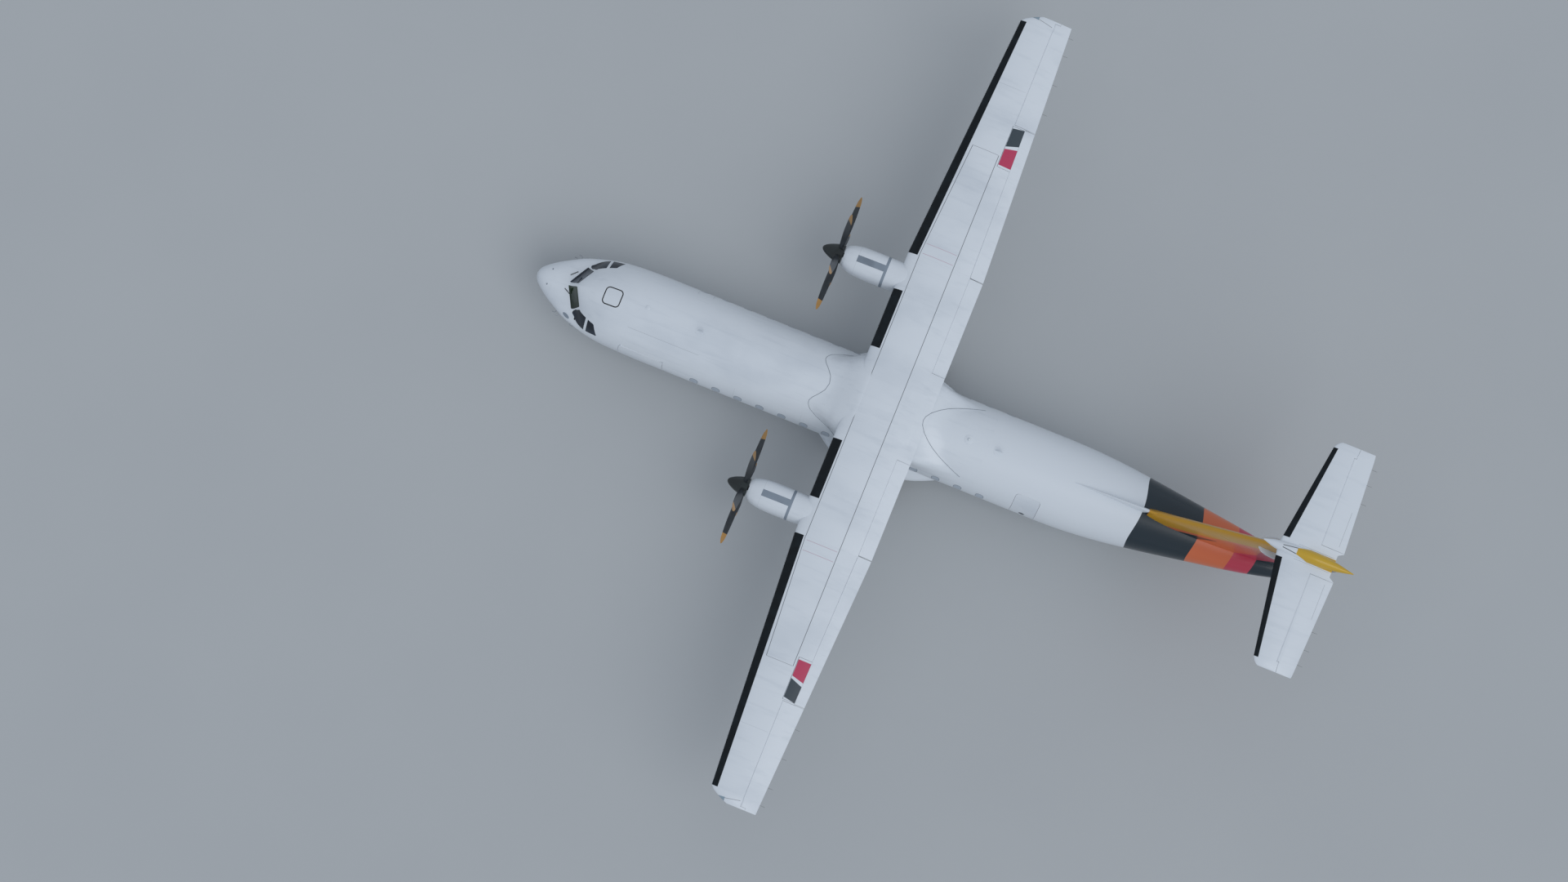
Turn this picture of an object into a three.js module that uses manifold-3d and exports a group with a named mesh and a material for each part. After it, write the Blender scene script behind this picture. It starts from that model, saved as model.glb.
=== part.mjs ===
// Twin-turboprop high-wing airliner with a T-tail, standing on its landing gear.
// Millimetres: +X is the port side, +Y is aft, +Z is up, and the floor is at Z 0.
// A station is the distance aft of the nose tip.
import * as THREE from "three";
import { mergeVertices } from "three/addons/utils/BufferGeometryUtils.js";
import Module from "manifold-3d";

const wasm = await Module();
wasm.setup();

// Overall sizes of the aircraft.
const LENGTH = 27166;
const HALF_SPAN = 13525;
const SEAT_GAP = 0.3;
const MOVING_GAP = 9;
const FAR = 3000;
const OVER_SKIN = 50;
const CUT_OVERLAP = 100;

// Fuselage.
const RADOME_END = 620;
const NOSE_END = 5000;
const CENTRE_END = 15600;
const PANE_THICKNESS = 25;
const HATCH_THICKNESS = 40;
const DOOR_THICKNESS = 90;
const DOOR_GAP = 8;
const DOOR_STOP = 40;
const DOOR_KNUCKLE_RADIUS = 20;
const DOOR_LUG_LENGTH = 60;
const DOOR_WEB_HEIGHT = 50;
const DOOR_HINGE_INSET = 120;
const HATCH_DOOR_THICKNESS = 60;
const HATCH_DOOR_GAP = 5;
const FUSELAGE_SIDES = 36;

// Wing.
const CENTRE_WING_HALF = 4830;
const WING_INCIDENCE_DROP = 45;
const WING_CAMBER = 0.02;
const WING_Z = 3450;
const DIHEDRAL = THREE.MathUtils.degToRad(2.5);
const SKIN_FRACTIONS = [0, 0.012, 0.05, 0.12, 0.24, 0.4, 0.58, 0.78, 1];
const EDGE_HALF_THICKNESS = 4;

// Engines and propellers.
const ENGINE_X = 4050;
const THRUST_Z = 3065;
const PROP_RADIUS = 1965;
const BLADE_COUNT = 6;
const SPINNER_TIP = 8310;
const SPINNER_BACK = 8780;
const HUB_BACK = 9010;
const COWL_FRONT = 9050;
const COWL_END = 10515;
const NACELLE_SIDES = 22;
const ENGINE_FRONT = 9430;
const ENGINE_BACK = 11200;
const ENGINE_HALF_WIDTH = 330;
const ENGINE_HALF_HEIGHT = 370;
const ENGINE_CHAMFER = 190;
const ENGINE_Z = 2840;

// Landing gear.
const MAIN_AXLE_X = 2050;
const MAIN_AXLE_STATION = 12950;
const MAIN_TYRE_RADIUS = 430;
const MAIN_TYRE_WIDTH = 250;
const MAIN_RIM_RADIUS = 215;
const MAIN_TWIN_OFFSET = 210;
const NOSE_AXLE_STATION = 2180;
const NOSE_TYRE_RADIUS = 225;
const NOSE_TYRE_WIDTH = 180;
const NOSE_RIM_RADIUS = 110;
const NOSE_TWIN_OFFSET = 155;
const TYRE_SIDES = 28;
const HUB_SIDES = 20;
const ROUND_SIDES = 14;
const PIN_SIDES = 10;
const NOSE_SIDES = 16;

// Tail.
const TAILPLANE_Z = 7350;
const TAILPLANE_HALF_SPAN = 3655;

const at = (station) => station - LENGTH / 2;
const mix = (a, b, t) => a + (b - a) * t;
const degrees = THREE.MathUtils.degToRad;

// Value of one column of a table at a station, straight between rows.
function column(table, key, station) {
  if (station <= table[0].station) return table[0][key];
  for (let i = 1; i < table.length; i++) {
    const [before, after] = [table[i - 1], table[i]];
    if (station <= after.station) {
      return mix(before[key], after[key], (station - before.station) / (after.station - before.station));
    }
  }
  return table[table.length - 1][key];
}

// Rows of numbers with named columns.
const rows = (names, values) =>
  values.map((row) => Object.fromEntries(names.map((name, i) => [name, row[i]])));

// A closed mesh with merged vertices, as a solid that can be joined and cut.
function solid(geometry) {
  const bare = geometry.clone();
  bare.deleteAttribute("normal");
  bare.deleteAttribute("uv");
  const merged = mergeVertices(bare, 1e-3);
  const index = [];
  for (let i = 0; i < merged.index.count; i += 3) {
    const [a, b, c] = [merged.index.getX(i), merged.index.getX(i + 1), merged.index.getX(i + 2)];
    if (a !== b && b !== c && c !== a) index.push(a, b, c);
  }
  return new wasm.Manifold(new wasm.Mesh({
    numProp: 3,
    vertProperties: merged.attributes.position.array,
    triVerts: new Uint32Array(index),
  }));
}

function geometryOf(body) {
  const mesh = body.getMesh();
  const geometry = new THREE.BufferGeometry();
  geometry.setAttribute("position", new THREE.BufferAttribute(new Float32Array(mesh.vertProperties), 3));
  geometry.setIndex(new THREE.BufferAttribute(new Uint32Array(mesh.triVerts), 1));
  return geometry;
}

const join = (first, ...others) => others.reduce((sum, next) => sum.add(next), first);
const cut = (first, ...others) => others.reduce((left, next) => left.subtract(next), first);
const common = (first, second) => first.intersect(second);

// Joins a row of rings into a closed mesh that faces outwards. Each four-sided face is split the
// other way to starboard, so that the two sides mirror each other.
function loft(rings) {
  const count = rings[0].length;
  const positions = rings.flat().flatMap((p) => [p[0], p[1], p[2]]);
  const index = [];
  for (let i = 0; i + 1 < rings.length; i++) {
    for (let j = 0; j < count; j++) {
      const k = (j + 1) % count;
      const [a, b, c, d] = [i * count + j, i * count + k, (i + 1) * count + k, (i + 1) * count + j];
      const port = [a, b, c, d].reduce((sum, corner) => sum + positions[3 * corner], 0) >= 0;
      index.push(...(port ? [a, b, c, a, c, d] : [a, b, d, b, c, d]));
    }
  }
  const ends = [[rings[0], 0, true], [rings.at(-1), (rings.length - 1) * count, false]];
  for (const [ring, start, turned] of ends) {
    const centre = positions.length / 3;
    for (let k = 0; k < 3; k++) positions.push(ring.reduce((sum, p) => sum + p[k], 0) / count);
    for (let j = 0; j < count; j++) {
      const [a, b] = [start + j, start + ((j + 1) % count)];
      index.push(...(turned ? [centre, b, a] : [centre, a, b]));
    }
  }
  const corner = (i) => new THREE.Vector3().fromArray(positions, 3 * index[i]);
  let volume = 0;
  for (let i = 0; i < index.length; i += 3) volume += corner(i).dot(corner(i + 1).cross(corner(i + 2)));
  if (volume < 0) index.reverse();
  const geometry = new THREE.BufferGeometry();
  geometry.setAttribute("position", new THREE.Float32BufferAttribute(positions, 3));
  geometry.setIndex(index);
  return geometry;
}

// A solid bar between two points, or the seat for it when it is grown all round.
function rod(from, to, radius, { sides = ROUND_SIDES, grow = 0 } = {}) {
  const [a, b] = [new THREE.Vector3(...from), new THREE.Vector3(...to)];
  const beyond = b.clone().sub(a).setLength(grow);
  a.sub(beyond);
  b.add(beyond);
  const along = b.clone().sub(a);
  const geometry = new THREE.CylinderGeometry(radius + grow, radius + grow, along.length(), sides);
  const upright = new THREE.Vector3(0, 1, 0);
  const turn = new THREE.Quaternion().setFromUnitVectors(upright, along.clone().normalize());
  geometry.applyQuaternion(turn).translate(...a.add(b).multiplyScalar(0.5));
  return solid(geometry);
}

// A block between two opposite corners.
function block(low, high) {
  const size = low.map((value, k) => high[k] - value);
  const middle = low.map((value, k) => (value + high[k]) / 2);
  return solid(new THREE.BoxGeometry(...size).translate(...middle));
}

// An outline of [across, up] points pushed along +Z of its own plane, then placed by a matrix.
function plate(outline, depth, matrix) {
  const shape = new THREE.Shape(outline.map(([x, y]) => new THREE.Vector2(x, y)));
  const geometry = new THREE.ExtrudeGeometry(shape, { depth, bevelEnabled: false });
  return solid(geometry.applyMatrix4(matrix));
}

// Matrices that stand an outline's plane up in the aircraft.
const basis = (x, y, z, origin) => new THREE.Matrix4()
  .makeBasis(new THREE.Vector3(...x), new THREE.Vector3(...y), new THREE.Vector3(...z))
  .setPosition(...origin);
const seenFromSide = (x) => basis([0, 1, 0], [0, 0, 1], [1, 0, 0], [x, 0, 0]);
const seenFromAbove = (z) => basis([1, 0, 0], [0, 1, 0], [0, 0, 1], [0, 0, z]);

// A rounded rectangle as outline points.
function roundedOutline(x0, y0, x1, y1, radius, steps = 2) {
  const centres = [[x1 - radius, y1 - radius, 0], [x0 + radius, y1 - radius, 90],
    [x0 + radius, y0 + radius, 180], [x1 - radius, y0 + radius, 270]];
  return centres.flatMap(([cx, cy, start]) => Array.from({ length: steps + 1 }, (_, i) => {
    const angle = degrees(start + (90 * i) / steps);
    return [cx + radius * Math.cos(angle), cy + radius * Math.sin(angle)];
  }));
}

// An outline with its corners moved away from its middle by a margin.
function grown(outline, margin) {
  const middle = [0, 1].map((k) => outline.reduce((sum, p) => sum + p[k], 0) / outline.length);
  return outline.map(([x, y]) => {
    const [dx, dy] = [x - middle[0], y - middle[1]];
    const reach = Math.hypot(dx, dy);
    return [x + (dx / reach) * margin * 1.3, y + (dy / reach) * margin * 1.3];
  });
}

// A ring of points across the body: flat bottoms and sides come from a squareness above 2.
function ringAt(station, section, sides, sweep = 0) {
  const { half, top, middle, bottom, upper = 2, lower = 2, centre = 0 } = section;
  return Array.from({ length: sides }, (_, i) => {
    const angle = (2 * Math.PI * i) / sides;
    const [c, s] = [Math.cos(angle), Math.sin(angle)];
    const power = 2 / (s >= 0 ? upper : lower);
    const x = half * Math.sign(c) * Math.abs(c) ** power;
    const rise = Math.abs(s) ** power;
    const z = s >= 0 ? middle + (top - middle) * rise : middle - (middle - bottom) * rise;
    return [centre + x, at(station) + sweep * Math.abs(x), z];
  });
}

// Fuselage sections. The crown is given along the centreline, and the rings around the
// windscreen are swept back by the sweep column for each unit of half width.
const FUSELAGE = rows(["station", "half", "crown", "keel", "waist", "sweep"], [
  [0, 22, 1775, 1728, 1750, 0],
  [50, 170, 1885, 1590, 1745, 0],
  [150, 300, 1975, 1440, 1735, 0],
  [310, 440, 2055, 1290, 1725, 0],
  [620, 660, 2145, 1110, 1715, 0],
  [900, 820, 2195, 1000, 1715, 0.3],
  [1160, 970, 2235, 925, 1720, 0.56],
  [1450, 1090, 2680, 865, 1730, 0.56],
  [1800, 1200, 2880, 815, 1745, 0.5],
  [2300, 1320, 3050, 755, 1770, 0.38],
  [2800, 1385, 3155, 715, 1795, 0.24],
  [3500, 1420, 3228, 702, 1812, 0.1],
  [4300, 1432.5, 3252, 700, 1820, 0],
  [17900, 1432.5, 3252, 700, 1820, 0],
  [18700, 1413, 3252, 800, 1850, 0],
  [19700, 1345, 3245, 1010, 1940, 0],
  [20900, 1200, 3230, 1290, 2070, 0],
  [22700, 930, 3200, 1740, 2330, 0],
  [24400, 660, 3165, 2170, 2600, 0],
  [25500, 420, 3120, 2440, 2750, 0],
  [26300, 170, 3060, 2690, 2880, 0],
]);

// One fuselage ring: the crown follows the swept ring, the width and keel the true station.
function fuselageRing(station, grow) {
  const sweep = column(FUSELAGE, "sweep", station);
  const crown = column(FUSELAGE, "crown", station);
  return Array.from({ length: FUSELAGE_SIDES }, (_, i) => {
    const angle = (2 * Math.PI * i) / FUSELAGE_SIDES;
    const [c, s] = [Math.cos(angle), Math.sin(angle)];
    let back = station;
    for (let turn = 0; turn < 12; turn++) {
      back = station + sweep * Math.abs(column(FUSELAGE, "half", back) * c);
    }
    const half = column(FUSELAGE, "half", back) + grow;
    const waist = column(FUSELAGE, "waist", back);
    const keel = column(FUSELAGE, "keel", back) - grow;
    const z = s >= 0 ? waist + (crown + grow - waist) * s : waist + (waist - keel) * s;
    return [half * c, at(back), z];
  });
}

// The fuselage between two stations, with its skin moved out by grow.
function fuselage(from, to, grow = 0) {
  const inner = FUSELAGE.map((row) => row.station).filter((s) => s > from + 1 && s < to - 1);
  return solid(loft([from, ...inner, to].map((station) => fuselageRing(station, grow))));
}

// Skin layer of a given thickness between two stations.
const skinLayer = (from, to, thickness) => cut(fuselage(from, to), fuselage(from - 5, to + 5, -thickness));

// Flight-deck panes, as plan outlines of [x, station] and side outlines of [station, z].
const WINDSCREEN = [[60, 1145], [730, 1500], [620, 1765], [60, 1470]];
const SIDE_GLASS = [[1570, 2070], [1840, 2010], [2160, 2080], [2600, 2230],
  [2410, 2560], [2100, 2520], [1810, 2460]];
const GLASS_FROM = RADOME_END + 100;
const GLASS_TO = 3400;
const PANE_GAP = 4;
const toPlan = (outline) => outline.map(([x, station]) => [x, at(station)]);
const toSide = (outline) => outline.map(([station, z]) => [at(station), z]);
const paneLayer = skinLayer(GLASS_FROM, GLASS_TO, PANE_THICKNESS);

// The same stretch of skin with its outside open, down to a depth.
const pocketIn = (from, to, depth) =>
  cut(fuselage(from, to, OVER_SKIN), fuselage(from - CUT_OVERLAP, to + CUT_OVERLAP, -depth));
const paneSeat = pocketIn(GLASS_FROM, GLASS_TO, PANE_THICKNESS + SEAT_GAP);

function windscreenPrism(side, margin) {
  const outline = grown(toPlan(WINDSCREEN), margin).map(([x, y]) => [side * x, y]);
  return plate(side > 0 ? outline : outline.reverse(), 1400, seenFromAbove(2100));
}

function sideGlassPrism(side, margin) {
  return plate(grown(toSide(SIDE_GLASS), margin), 1500, seenFromSide(side > 0 ? 350 : -1850));
}

const HATCH_STATION = 2700;
const HATCH_HALF = 270;
const HATCH_CORNER = 110;
function hatchPrism(margin) {
  const half = HATCH_HALF + margin;
  const y = at(HATCH_STATION);
  const outline = roundedOutline(-half, y - half, half, y + half, HATCH_CORNER + margin);
  return plate(outline, 900, seenFromAbove(2700));
}

// Doors: stations and heights of each opening, which side it is on and how thick it is.
const DOORS = {
  cargo: { from: 3400, to: 4930, sill: 1150, head: 2430, side: 1, corner: 90 },
  passenger: { from: 17010, to: 17830, sill: 1120, head: 2870, side: 1, corner: 90 },
  service: { from: 17180, to: 17790, sill: 1150, head: 2370, side: -1, corner: 90 },
  exit: { from: 5150, to: 5660, sill: 1720, head: 2630, side: -1, corner: 90 },
};

function doorPrism(door, margin) {
  const outline = roundedOutline(at(door.from) - margin, door.sill - margin,
    at(door.to) + margin, door.head + margin, door.corner);
  return plate(outline, 1800, seenFromSide(door.side > 0 ? 500 : -2300));
}

// The door leaf and the pocket in the skin that it lies in.
const DOOR_AHEAD = 700;
const DOOR_BEHIND = 200;
function doorLeaf(door, thickness = DOOR_THICKNESS) {
  return common(skinLayer(door.from - DOOR_AHEAD, door.to + DOOR_BEHIND, thickness), doorPrism(door, 0));
}

function doorPocket(door, depth, margin = DOOR_GAP) {
  return common(pocketIn(door.from - DOOR_AHEAD, door.to + DOOR_BEHIND, depth), doorPrism(door, margin));
}

// The space behind a hinged door, inside its stop.
function doorBay(door, depth) {
  const low = [1400 - depth, at(door.from) + DOOR_STOP, door.sill + 10];
  const high = [1700, at(door.to) - DOOR_STOP, door.head - DOOR_STOP];
  return block(low, high);
}

// Hinge along a door's edge: one moving barrel between two fixed lugs, each on a web that is
// rooted in the frame above or below the opening (rise is 1 or -1).
function doorHinge(door, { x, z }, rise) {
  const [start, end] = [at(door.from) + DOOR_HINGE_INSET, at(door.to) - DOOR_HINGE_INSET];
  const lug = DOOR_LUG_LENGTH;
  const clear = DOOR_KNUCKLE_RADIUS + 6;
  const root = z + rise * DOOR_WEB_HEIGHT;
  const bar = (y0, y1, radius = DOOR_KNUCKLE_RADIUS) => rod([x, y0, z], [x, y1, z], radius, { sides: 12 });
  const web = (y0, y1) => block([x - 45, y0, Math.min(z, root)], [x - 4, y1, Math.max(z, root)]);
  const spans = [[start - lug, start - SEAT_GAP], [end + SEAT_GAP, end + lug]];
  return {
    moving: bar(start, end),
    frameCut: bar(at(door.from) - DOOR_GAP, at(door.to) + DOOR_GAP, clear),
    lugs: spans.flatMap(([y0, y1]) => [bar(y0, y1), web(y0, y1)]),
    leafCuts: [bar(start - lug - DOOR_GAP, start, clear), bar(end, end + lug + DOOR_GAP, clear)],
  };
}

const CARGO_BAY_DEPTH = 2100;
const VESTIBULE_DEPTH = 1500;
const CARGO_HINGE = { x: 1276, z: 2436 };
const PASSENGER_HINGE = { x: 1108, z: 1112 };
const cargoHinge = doorHinge(DOORS.cargo, CARGO_HINGE, 1);
const passengerHinge = doorHinge(DOORS.passenger, PASSENGER_HINGE, -1);

// Room at a bottom hinge for the leaf's inner corners to swing up past the side stops.
function cornerRoom(door, { x, z }) {
  const reach = 136;
  return block([x - reach, at(door.from) - DOOR_GAP, z], [x, at(door.to) + DOOR_GAP, z + reach]);
}

// Treads on the inside of the passenger door, which is the stair when it is open.
const TREAD_COUNT = 5;
const TREAD_PITCH = 260;
const TREAD_DEPTH = 190;
const TREAD_HALF_THICKNESS = 14;
const TREAD_INSET = 110;
const FIRST_TREAD = 300;
const CABIN = { half: 1432.5, waist: 1820, rise: 1432, drop: 1120 };
function stairTreads() {
  return Array.from({ length: TREAD_COUNT }, (_, i) => {
    const z = DOORS.passenger.sill + FIRST_TREAD + i * TREAD_PITCH;
    const height = (z - CABIN.waist) / (z > CABIN.waist ? CABIN.rise : CABIN.drop);
    const inside = CABIN.half * Math.sqrt(1 - height ** 2) - DOOR_THICKNESS;
    const [front, back] = [at(DOORS.passenger.from) + TREAD_INSET, at(DOORS.passenger.to) - TREAD_INSET];
    return block([inside - TREAD_DEPTH, front, z - TREAD_HALF_THICKNESS],
      [inside + 30, back, z + TREAD_HALF_THICKNESS]);
  });
}

const cargoDoor = join(cut(doorLeaf(DOORS.cargo), ...cargoHinge.leafCuts), cargoHinge.moving);
const passengerLeaf = cut(doorLeaf(DOORS.passenger), ...passengerHinge.leafCuts);
const passengerDoor = join(passengerLeaf, passengerHinge.moving, ...stairTreads());

// Nose landing gear sizes that the nose section's bay shares.
const NOSE_BAY = { half: 240, from: 1780, to: 2780, roof: 1180 };
const NOSE_LEG = { foot: 645, radius: 78, rooted: NOSE_BAY.roof + 60 };
const NOSE_DRAG_STAY = { foot: 760, radius: 32, station: 2640 };
const noseBay = block([-NOSE_BAY.half, at(NOSE_BAY.from), 0],
  [NOSE_BAY.half, at(NOSE_BAY.to), NOSE_BAY.roof]);
function noseLegParts(grow) {
  const y = at(NOSE_AXLE_STATION);
  return [
    rod([0, y, NOSE_LEG.foot], [0, y, NOSE_LEG.rooted], NOSE_LEG.radius, { grow }),
    rod([0, y + 20, NOSE_DRAG_STAY.foot], [0, at(NOSE_DRAG_STAY.station), NOSE_LEG.rooted],
      NOSE_DRAG_STAY.radius, { grow }),
  ];
}

const HATCH_FROM = 2000;
const paneHoles = [1, -1]
  .flatMap((side) => [windscreenPrism(side, PANE_GAP), sideGlassPrism(side, PANE_GAP)])
  .map((prism) => common(paneSeat, prism));
const hatchSeat = pocketIn(HATCH_FROM, GLASS_TO, HATCH_THICKNESS + SEAT_GAP);
const hatchHole = common(hatchSeat, hatchPrism(HATCH_DOOR_GAP));
const noseShell = cut(fuselage(RADOME_END + SEAT_GAP, NOSE_END - SEAT_GAP), cargoHinge.frameCut,
  doorPocket(DOORS.cargo, DOOR_THICKNESS + DOOR_GAP));
const noseSection = cut(
  join(noseShell, ...cargoHinge.lugs),
  doorBay(DOORS.cargo, CARGO_BAY_DEPTH),
  ...paneHoles,
  hatchHole,
  noseBay,
  ...noseLegParts(SEAT_GAP),
);

const fuselageCentre = cut(
  fuselage(NOSE_END, CENTRE_END),
  doorPocket(DOORS.exit, HATCH_DOOR_THICKNESS + SEAT_GAP, HATCH_DOOR_GAP),
);

// Belly and landing-gear fairing, wrapped around the underside.
const BELLY = rows(["station", "half", "top", "middle", "bottom"], [
  [9900, 950, 1480, 1150, 760],
  [10500, 1430, 1660, 1180, 660],
  [11050, 1760, 1750, 1200, 622],
  [11600, 1845, 1790, 1210, 605],
  [13000, 1845, 1790, 1210, 605],
  [13600, 1720, 1740, 1200, 622],
  [14400, 1400, 1640, 1180, 660],
  [15100, 950, 1480, 1150, 760],
]);
const GEAR_BAY = { from: 12080, to: 13450, inner: 1230, outer: 1775, roof: 1120 };

// Main landing gear: a forward strut and shock strut in front of the tyres, and a trailing arm.
const MAIN_LEG = {
  knee: 640,
  kneeHalf: 58,
  kneeRadius: 80,
  strut: { station: 12250, top: 1490, radius: 74 },
  shock: { station: 12410, foot: 585, top: 1590, radius: 44 },
  armRadius: 56,
  rooted: GEAR_BAY.roof + 45,
};
function mainLegParts(grow) {
  const { knee, kneeHalf, kneeRadius, strut, shock, armRadius, rooted } = MAIN_LEG;
  const [x, strutY, shockY] = [MAIN_AXLE_X, at(strut.station), at(shock.station)];
  return [
    rod([x, strutY, knee], [strut.top, strutY, rooted], strut.radius, { grow }),
    rod([x, shockY, shock.foot], [shock.top, shockY, rooted], shock.radius, { grow }),
    rod([x, strutY, knee], [x, at(MAIN_AXLE_STATION), MAIN_TYRE_RADIUS], armRadius, { grow }),
    rod([x - kneeHalf, strutY, knee], [x + kneeHalf, strutY, knee], kneeRadius, { grow }),
  ];
}

// The same solid on the other side of the aircraft.
function mirrored(body) {
  const geometry = geometryOf(body);
  geometry.scale(-1, 1, 1);
  geometry.index.array.reverse();
  return solid(geometry);
}

const BELLY_SQUARENESS = 2.5;
const FAIRING_SIDES = 32;
const bellyRings = BELLY.map((row) =>
  ringAt(row.station, { ...row, lower: BELLY_SQUARENESS }, FAIRING_SIDES));
const gearBay = block([GEAR_BAY.inner, at(GEAR_BAY.from), 300],
  [GEAR_BAY.outer, at(GEAR_BAY.to), GEAR_BAY.roof]);
const bellyHoles = [gearBay, ...mainLegParts(SEAT_GAP)];
const bellyFairing = cut(solid(loft(bellyRings)), fuselage(9700, 15300, SEAT_GAP),
  ...bellyHoles, ...bellyHoles.map(mirrored));

// Wing sections: half-span place, leading and trailing stations, height and thickness ratio.
const TIP_START = 13150;
const TIP_CORNER = 13400;
const outboardZ = (x) => WING_Z + Math.max(0, x - CENTRE_WING_HALF) * Math.tan(DIHEDRAL);
const WING = rows(["x", "front", "back", "z", "thickness"], [
  [0, 10920, 13515, WING_Z, 0.18],
  [CENTRE_WING_HALF, 10920, 13515, WING_Z, 0.18],
  [TIP_START, 11480, 13118, outboardZ(TIP_START), 0.13],
  [TIP_CORNER, 11810, 13106, outboardZ(TIP_CORNER), 0.1],
  [HALF_SPAN, 12120, 13100, outboardZ(HALF_SPAN), 0.035],
]);

// Half thickness of a section at a fraction of its chord, as a fraction of the chord.
const halfThickness = (fraction, ratio) => 5 * ratio * (0.2969 * Math.sqrt(fraction) - 0.126 * fraction
  - 0.3516 * fraction ** 2 + 0.2843 * fraction ** 3 - 0.1015 * fraction ** 4);

// Wing row at any place along the half span.
function wingAt(x) {
  const i = Math.max(1, WING.findIndex((row) => row.x >= x));
  const [a, b] = [WING[i - 1], WING[i]];
  const t = (x - a.x) / (b.x - a.x);
  return Object.fromEntries(Object.keys(a).map((key) => [key, mix(a[key], b[key], t)]));
}

// Height of the wing's skin: side 1 is the upper skin and -1 the lower one.
function wingSkin(x, station, side, grow = 0) {
  const row = wingAt(Math.abs(x));
  const chord = row.back - row.front;
  const fraction = THREE.MathUtils.clamp((station - row.front) / chord, 0, 1);
  const camber = 4 * WING_CAMBER * chord * fraction * (1 - fraction);
  const line = row.z + WING_INCIDENCE_DROP * (1 - 2 * fraction) + camber;
  const edge = fraction > 0.5 ? EDGE_HALF_THICKNESS : 0;
  return line + side * (Math.max(halfThickness(fraction, row.thickness) * chord, edge) + grow);
}

// A closed ring around a section, from the trailing edge over the top and back underneath.
function sectionRing(front, back, height) {
  const fractions = [...SKIN_FRACTIONS].reverse();
  const upper = fractions.map((f) => [mix(front, back, f), height(mix(front, back, f), 1)]);
  const lower = SKIN_FRACTIONS.slice(1).map((f) => [mix(front, back, f), height(mix(front, back, f), -1)]);
  return [...upper, ...lower];
}

function wing(xs, grow = 0) {
  return solid(loft(xs.map((x) => {
    const row = wingAt(Math.abs(x));
    const height = (station, side) => wingSkin(x, station, side, grow);
    const ring = sectionRing(row.front - grow, row.back + grow, height);
    return ring.map(([station, z]) => [x, at(station), z]);
  })));
}

// Line of a hinge: its own frame has x along the line, y aft and z across.
function hingeLine(from, to) {
  const origin = new THREE.Vector3(...from);
  const along = new THREE.Vector3(...to).sub(origin);
  const length = along.length();
  along.normalize();
  const across = new THREE.Vector3().crossVectors(along, new THREE.Vector3(0, 1, 0)).normalize();
  const aft = new THREE.Vector3().crossVectors(across, along);
  const matrix = new THREE.Matrix4().makeBasis(along, aft, across).setPosition(origin);
  return { matrix, length };
}

// A round bar along a hinge line between two distances from its start.
function barrel(line, from, to, radius, endRadius = radius, sides = 24) {
  const geometry = new THREE.CylinderGeometry(endRadius, radius, to - from, sides);
  geometry.rotateZ(-Math.PI / 2).translate((from + to) / 2, 0, 0);
  return solid(geometry.applyMatrix4(line.matrix));
}

// A block in a hinge line's frame.
function hingeBlock(line, low, high) {
  const size = low.map((value, k) => high[k] - value);
  const middle = low.map((value, k) => (value + high[k]) / 2);
  return solid(new THREE.BoxGeometry(...size).translate(...middle).applyMatrix4(line.matrix));
}

// The round nose of a control surface: its rows give its radius at places along the hinge line.
function roundNose(line, radii, margin, inset) {
  const places = [inset, ...radii.slice(1, -1).map((row) => row.station), line.length - inset];
  const rings = places.map((place) => {
    const radius = column(radii, "radius", place) + margin;
    return Array.from({ length: NOSE_SIDES }, (_, i) => {
      const angle = (2 * Math.PI * i) / NOSE_SIDES;
      return [place, radius * Math.cos(angle), radius * Math.sin(angle)];
    });
  });
  return solid(loft(rings).applyMatrix4(line.matrix));
}

// Splits a lifting surface at a hinge line into a fixed part and a control surface with a round nose.
// Beyond the line's far end the control surface can reach further, aft of the round that the tip's
// front edge follows. With bothSides the fixed part is cut for the same surface on the other side too.
function splitControl(whole, line, radii, { tip, bothSides } = {}) {
  const gap = MOVING_GAP;
  const length = line.length;
  const aft = (inset) => hingeBlock(line, [inset, 0, -FAR], [length - inset, FAR, FAR]);
  const inner = [roundNose(line, radii, 0, gap), aft(gap)];
  const outer = [roundNose(line, radii, gap, 0), aft(0)];
  if (tip) {
    const beyond = (margin) => cut(
      hingeBlock(line, [length - 2 * gap, 0, -FAR], [length + tip.reach, FAR, FAR]),
      barrel(line, length - 3 * gap, length + tip.reach + gap, tip.aft + margin),
    );
    inner.push(beyond(gap));
    outer.push(beyond(0));
  }
  const pin = Math.min(...radii.map((row) => row.radius)) * 0.45;
  const half = gap / 2;
  const pinBar = (from, to) => barrel(line, from, to, pin, pin, PIN_SIDES);
  const pinEnds = [pinBar(half, gap * 4), pinBar(length - gap * 4, length - half)];
  const moving = join(common(whole, join(...inner)), ...pinEnds);
  const cutter = join(...outer);
  const pins = join(pinBar(-gap * 4, half - SEAT_GAP), pinBar(length - half + SEAT_GAP, length + gap * 4));
  const fixed = bothSides
    ? join(cut(whole, cutter, mirrored(cutter)), pins, mirrored(pins))
    : join(cut(whole, cutter), pins);
  return { moving, fixed };
}

// A prism of the wing between two span places, from an outline of [station, z] at each.
const spanPrism = (xs, outlineAt) =>
  solid(loft(xs.map((x) => outlineAt(x).map(([station, z]) => [x, at(station), z]))));

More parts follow.
